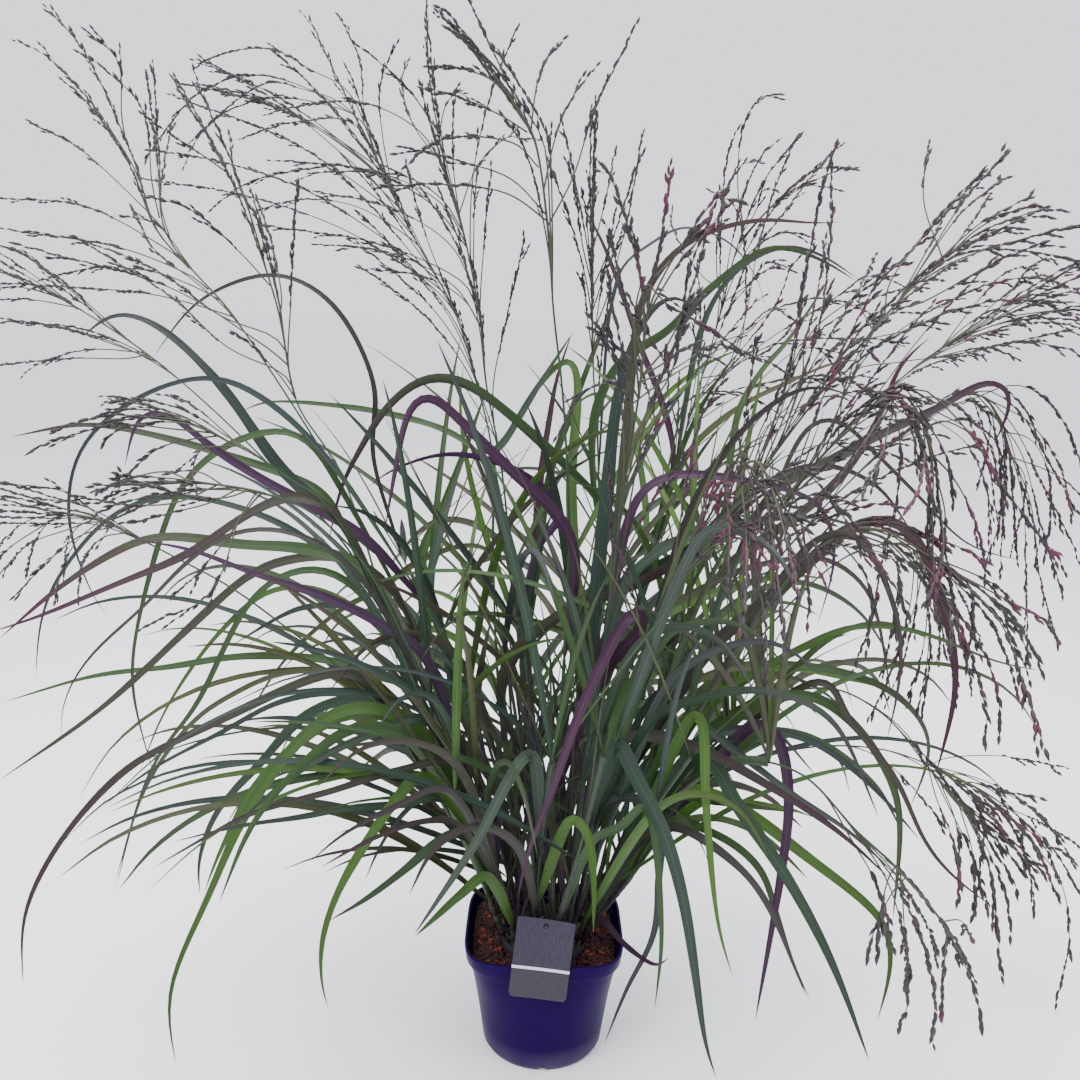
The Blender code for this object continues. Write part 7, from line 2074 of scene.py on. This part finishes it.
def printed_card():
    """Printed plastic card: a satin face with a faintly streaked field, a pale band and a mottled part."""
    made, tree, shader = finish("printed_card")
    spot = add_node(tree, "ShaderNodeAttribute", output="Vector", attribute_name="spot")
    up = add_node(tree, "ShaderNodeSeparateXYZ", {0: spot}, "Y")
    mottling = {"Vector": spot, "Scale": 260, "Detail": 5, "Roughness": 0.7}
    mottle = add_node(tree, "ShaderNodeTexNoise", mottling)
    inks = add_node(tree, "ShaderNodeValToRGB", {"Fac": mottle})
    stops = inks.node.color_ramp.elements
    stops[0].position, stops[0].color = 0.38, linear(CARD_GREEN)
    stops[1].position, stops[1].color = 0.62, linear(CARD_FLECK)
    stops.new(0.5).color = linear(CARD_LOW)
    slant = {"Vector": spot, "Rotation": (0, 0, 0.7), "Scale": (900, 90, 1)}
    slanted = add_node(tree, "ShaderNodeMapping", slant)
    streaks = add_node(tree, "ShaderNodeTexNoise", {"Vector": slanted, "Scale": 1.0, "Detail": 2})
    faint = add_node(tree, "ShaderNodeMapRange", {"Value": streaks, 1: 0.45, 2: 0.65})
    fields = {0: faint, 6: linear(CARD_FIELD), 7: linear(CARD_STREAK)}
    streaked = add_node(tree, "ShaderNodeMix", fields, 2, data_type="RGBA")
    below = add_node(tree, "ShaderNodeMath", {0: up, 1: BAND_HEIGHT}, operation="LESS_THAN")
    field = add_node(tree, "ShaderNodeMix", {0: below, 6: streaked, 7: inks}, 2, data_type="RGBA")
    offset = add_node(tree, "ShaderNodeMath", {0: up, 1: BAND_HEIGHT}, operation="SUBTRACT")
    away = add_node(tree, "ShaderNodeMath", {0: offset}, operation="ABSOLUTE")
    band = add_node(tree, "ShaderNodeMath", {0: away, 1: BAND_DEPTH}, operation="LESS_THAN")
    ink = add_node(tree, "ShaderNodeMix", {0: band, 6: field, 7: linear(CARD_BAND)}, 2, data_type="RGBA")
    feed(tree, shader, {"Base Color": ink, "Roughness": 0.42, "Specular IOR Level": 0.3})
    return made


card_shape, card_spots = label_card()
card_mesh = mesh_from("hanging_label", *card_shape)
tag(card_mesh, "spot", card_spots)
card_mesh.set_sharp_from_angle(angle=CARD_CREASE)
card = piece("hanging_label", card_mesh, printed_card())
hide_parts("plant_label")

# The tie: a thin dark plastic thread from a small bead in front of the card, through its hole, and back. It
# ends beside the nearest stems.

TIE_RADIUS = 0.0007
TIE_SLACK = 0.016
TIE_RINGS = 48
TIE_SIDES = 12
TIE_FRONT = 0.0035
TIE_BACK = -0.005
BEAD_RADIUS = 0.0019
BEAD_MIDDLE = 0.0014
BEAD_HALF = 0.0016
HELD_AT = np.array([-0.018, -0.052, 0.170])
TIE_BLACK = "#17161a"
TIE_WORN = "#2c2a30"


def tie_shape():
    """A tube of even radius along a smooth line, whose front end swells to a bead by the root of 1 - t^2."""
    front = card_points(0.0, HOLE_UP, TIE_FRONT)
    back = card_points(0.0, HOLE_UP, TIE_BACK)
    middle = (back + HELD_AT) / 2 + np.array([0, 0, -TIE_SLACK / 4])
    path = smooth_path([front, back, middle, HELD_AT], TIE_RINGS)
    share = (lengths_along(path) - BEAD_MIDDLE) / BEAD_HALF
    bead = np.sqrt(np.clip(1 - share**2, 0, 1)) * BEAD_RADIUS
    return outward(shell(round_rings(path, np.maximum(bead, TIE_RADIUS), TIE_SIDES), False))


def mottled(name, scale, one, two, roughness):
    """A material whose one colour drifts into another, by soft noise."""
    made, tree, shader = finish(name)
    place = add_node(tree, "ShaderNodeTexCoord", output="Object")
    cloud = add_node(tree, "ShaderNodeTexNoise", {"Vector": place, "Scale": scale, "Detail": 2})
    skin = add_node(tree, "ShaderNodeMix", {0: cloud, 6: linear(one), 7: linear(two)}, 2, data_type="RGBA")
    feed(tree, shader, {"Base Color": skin, "Roughness": roughness})
    return made


# Extruded dark plastic: smooth, a little worn where it rubs.
dark_thread = mottled("dark_thread", 400, TIE_BLACK, TIE_WORN, 0.5)
tie = piece("thin_tie", mesh_from("thin_tie", *tie_shape()), dark_thread)
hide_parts("label_tie")

# The stage: a plain pale floor and soft studio light, seen from the photograph's angle.

FLOOR_PALE = "#fafafb"
FLOOR_SHADE = "#f5f5f7"
FLOOR_REACH = 60
ROOM_PALE = "#d3d3da"
ROOM_STRENGTH = 2.3
LENS = 36.67
SENSOR = 36.0
PITCH = math.radians(78)
ROLL = math.radians(1.1)

# Each light's name, place, aim, size and power
LIGHTS = (
    ("key", (-1.4, -1.6, 2.6), (0, 0, 0.5), 1.6, 90),
    ("fill", (2.0, -1.2, 1.6), (0, 0, 0.5), 1.8, 22),
    ("top", (0.2, 0.6, 3.0), (0, 0, 0.4), 2.0, 95),
)


def soft_light(name, place, aim, size, power):
    """A square area light that faces a point."""
    lamp = bpy.data.lights.new(name, "AREA")
    lamp.size = size
    lamp.energy = power
    made = bpy.data.objects.new(name, lamp)
    made.location = place
    made.rotation_euler = (Vector(aim) - Vector(place)).to_track_quat("-Z", "Y").to_euler()
    bpy.context.scene.collection.objects.link(made)


# A matt studio sheet, very slightly uneven in tone.
pale_floor = mottled("pale_floor", 1.2, FLOOR_PALE, FLOOR_SHADE, 0.85)
floor_mesh = bpy.data.meshes.new("studio_floor")
ground = [(x * FLOOR_REACH, y * FLOOR_REACH, 0) for x, y in ((-1, -1), (1, -1), (1, 1), (-1, 1))]
floor_mesh.from_pydata(ground, [], [(0, 1, 2, 3)])
floor = bpy.data.objects.new("studio_floor", floor_mesh)
floor_mesh.materials.append(pale_floor)
bpy.context.scene.collection.objects.link(floor)

world = bpy.data.worlds.new("studio")
world.use_nodes = True
backdrop = {"Color": linear(ROOM_PALE), "Strength": ROOM_STRENGTH}
feed(world.node_tree, world.node_tree.nodes["Background"], backdrop)
bpy.context.scene.world = world
for light in LIGHTS:
    soft_light(*light)

lens = bpy.data.cameras.new("photo_camera")
lens.lens = LENS
lens.sensor_width = SENSOR
camera = bpy.data.objects.new("photo_camera", lens)
camera.location = EYE
camera.rotation_mode = "QUATERNION"
camera.rotation_quaternion = (
    Matrix.Rotation(PITCH, 4, "X") @ Matrix.Rotation(ROLL, 4, "Z")
).to_quaternion()
bpy.context.scene.collection.objects.link(camera)
bpy.context.scene.camera = camera

bpy.context.view_layer.update()
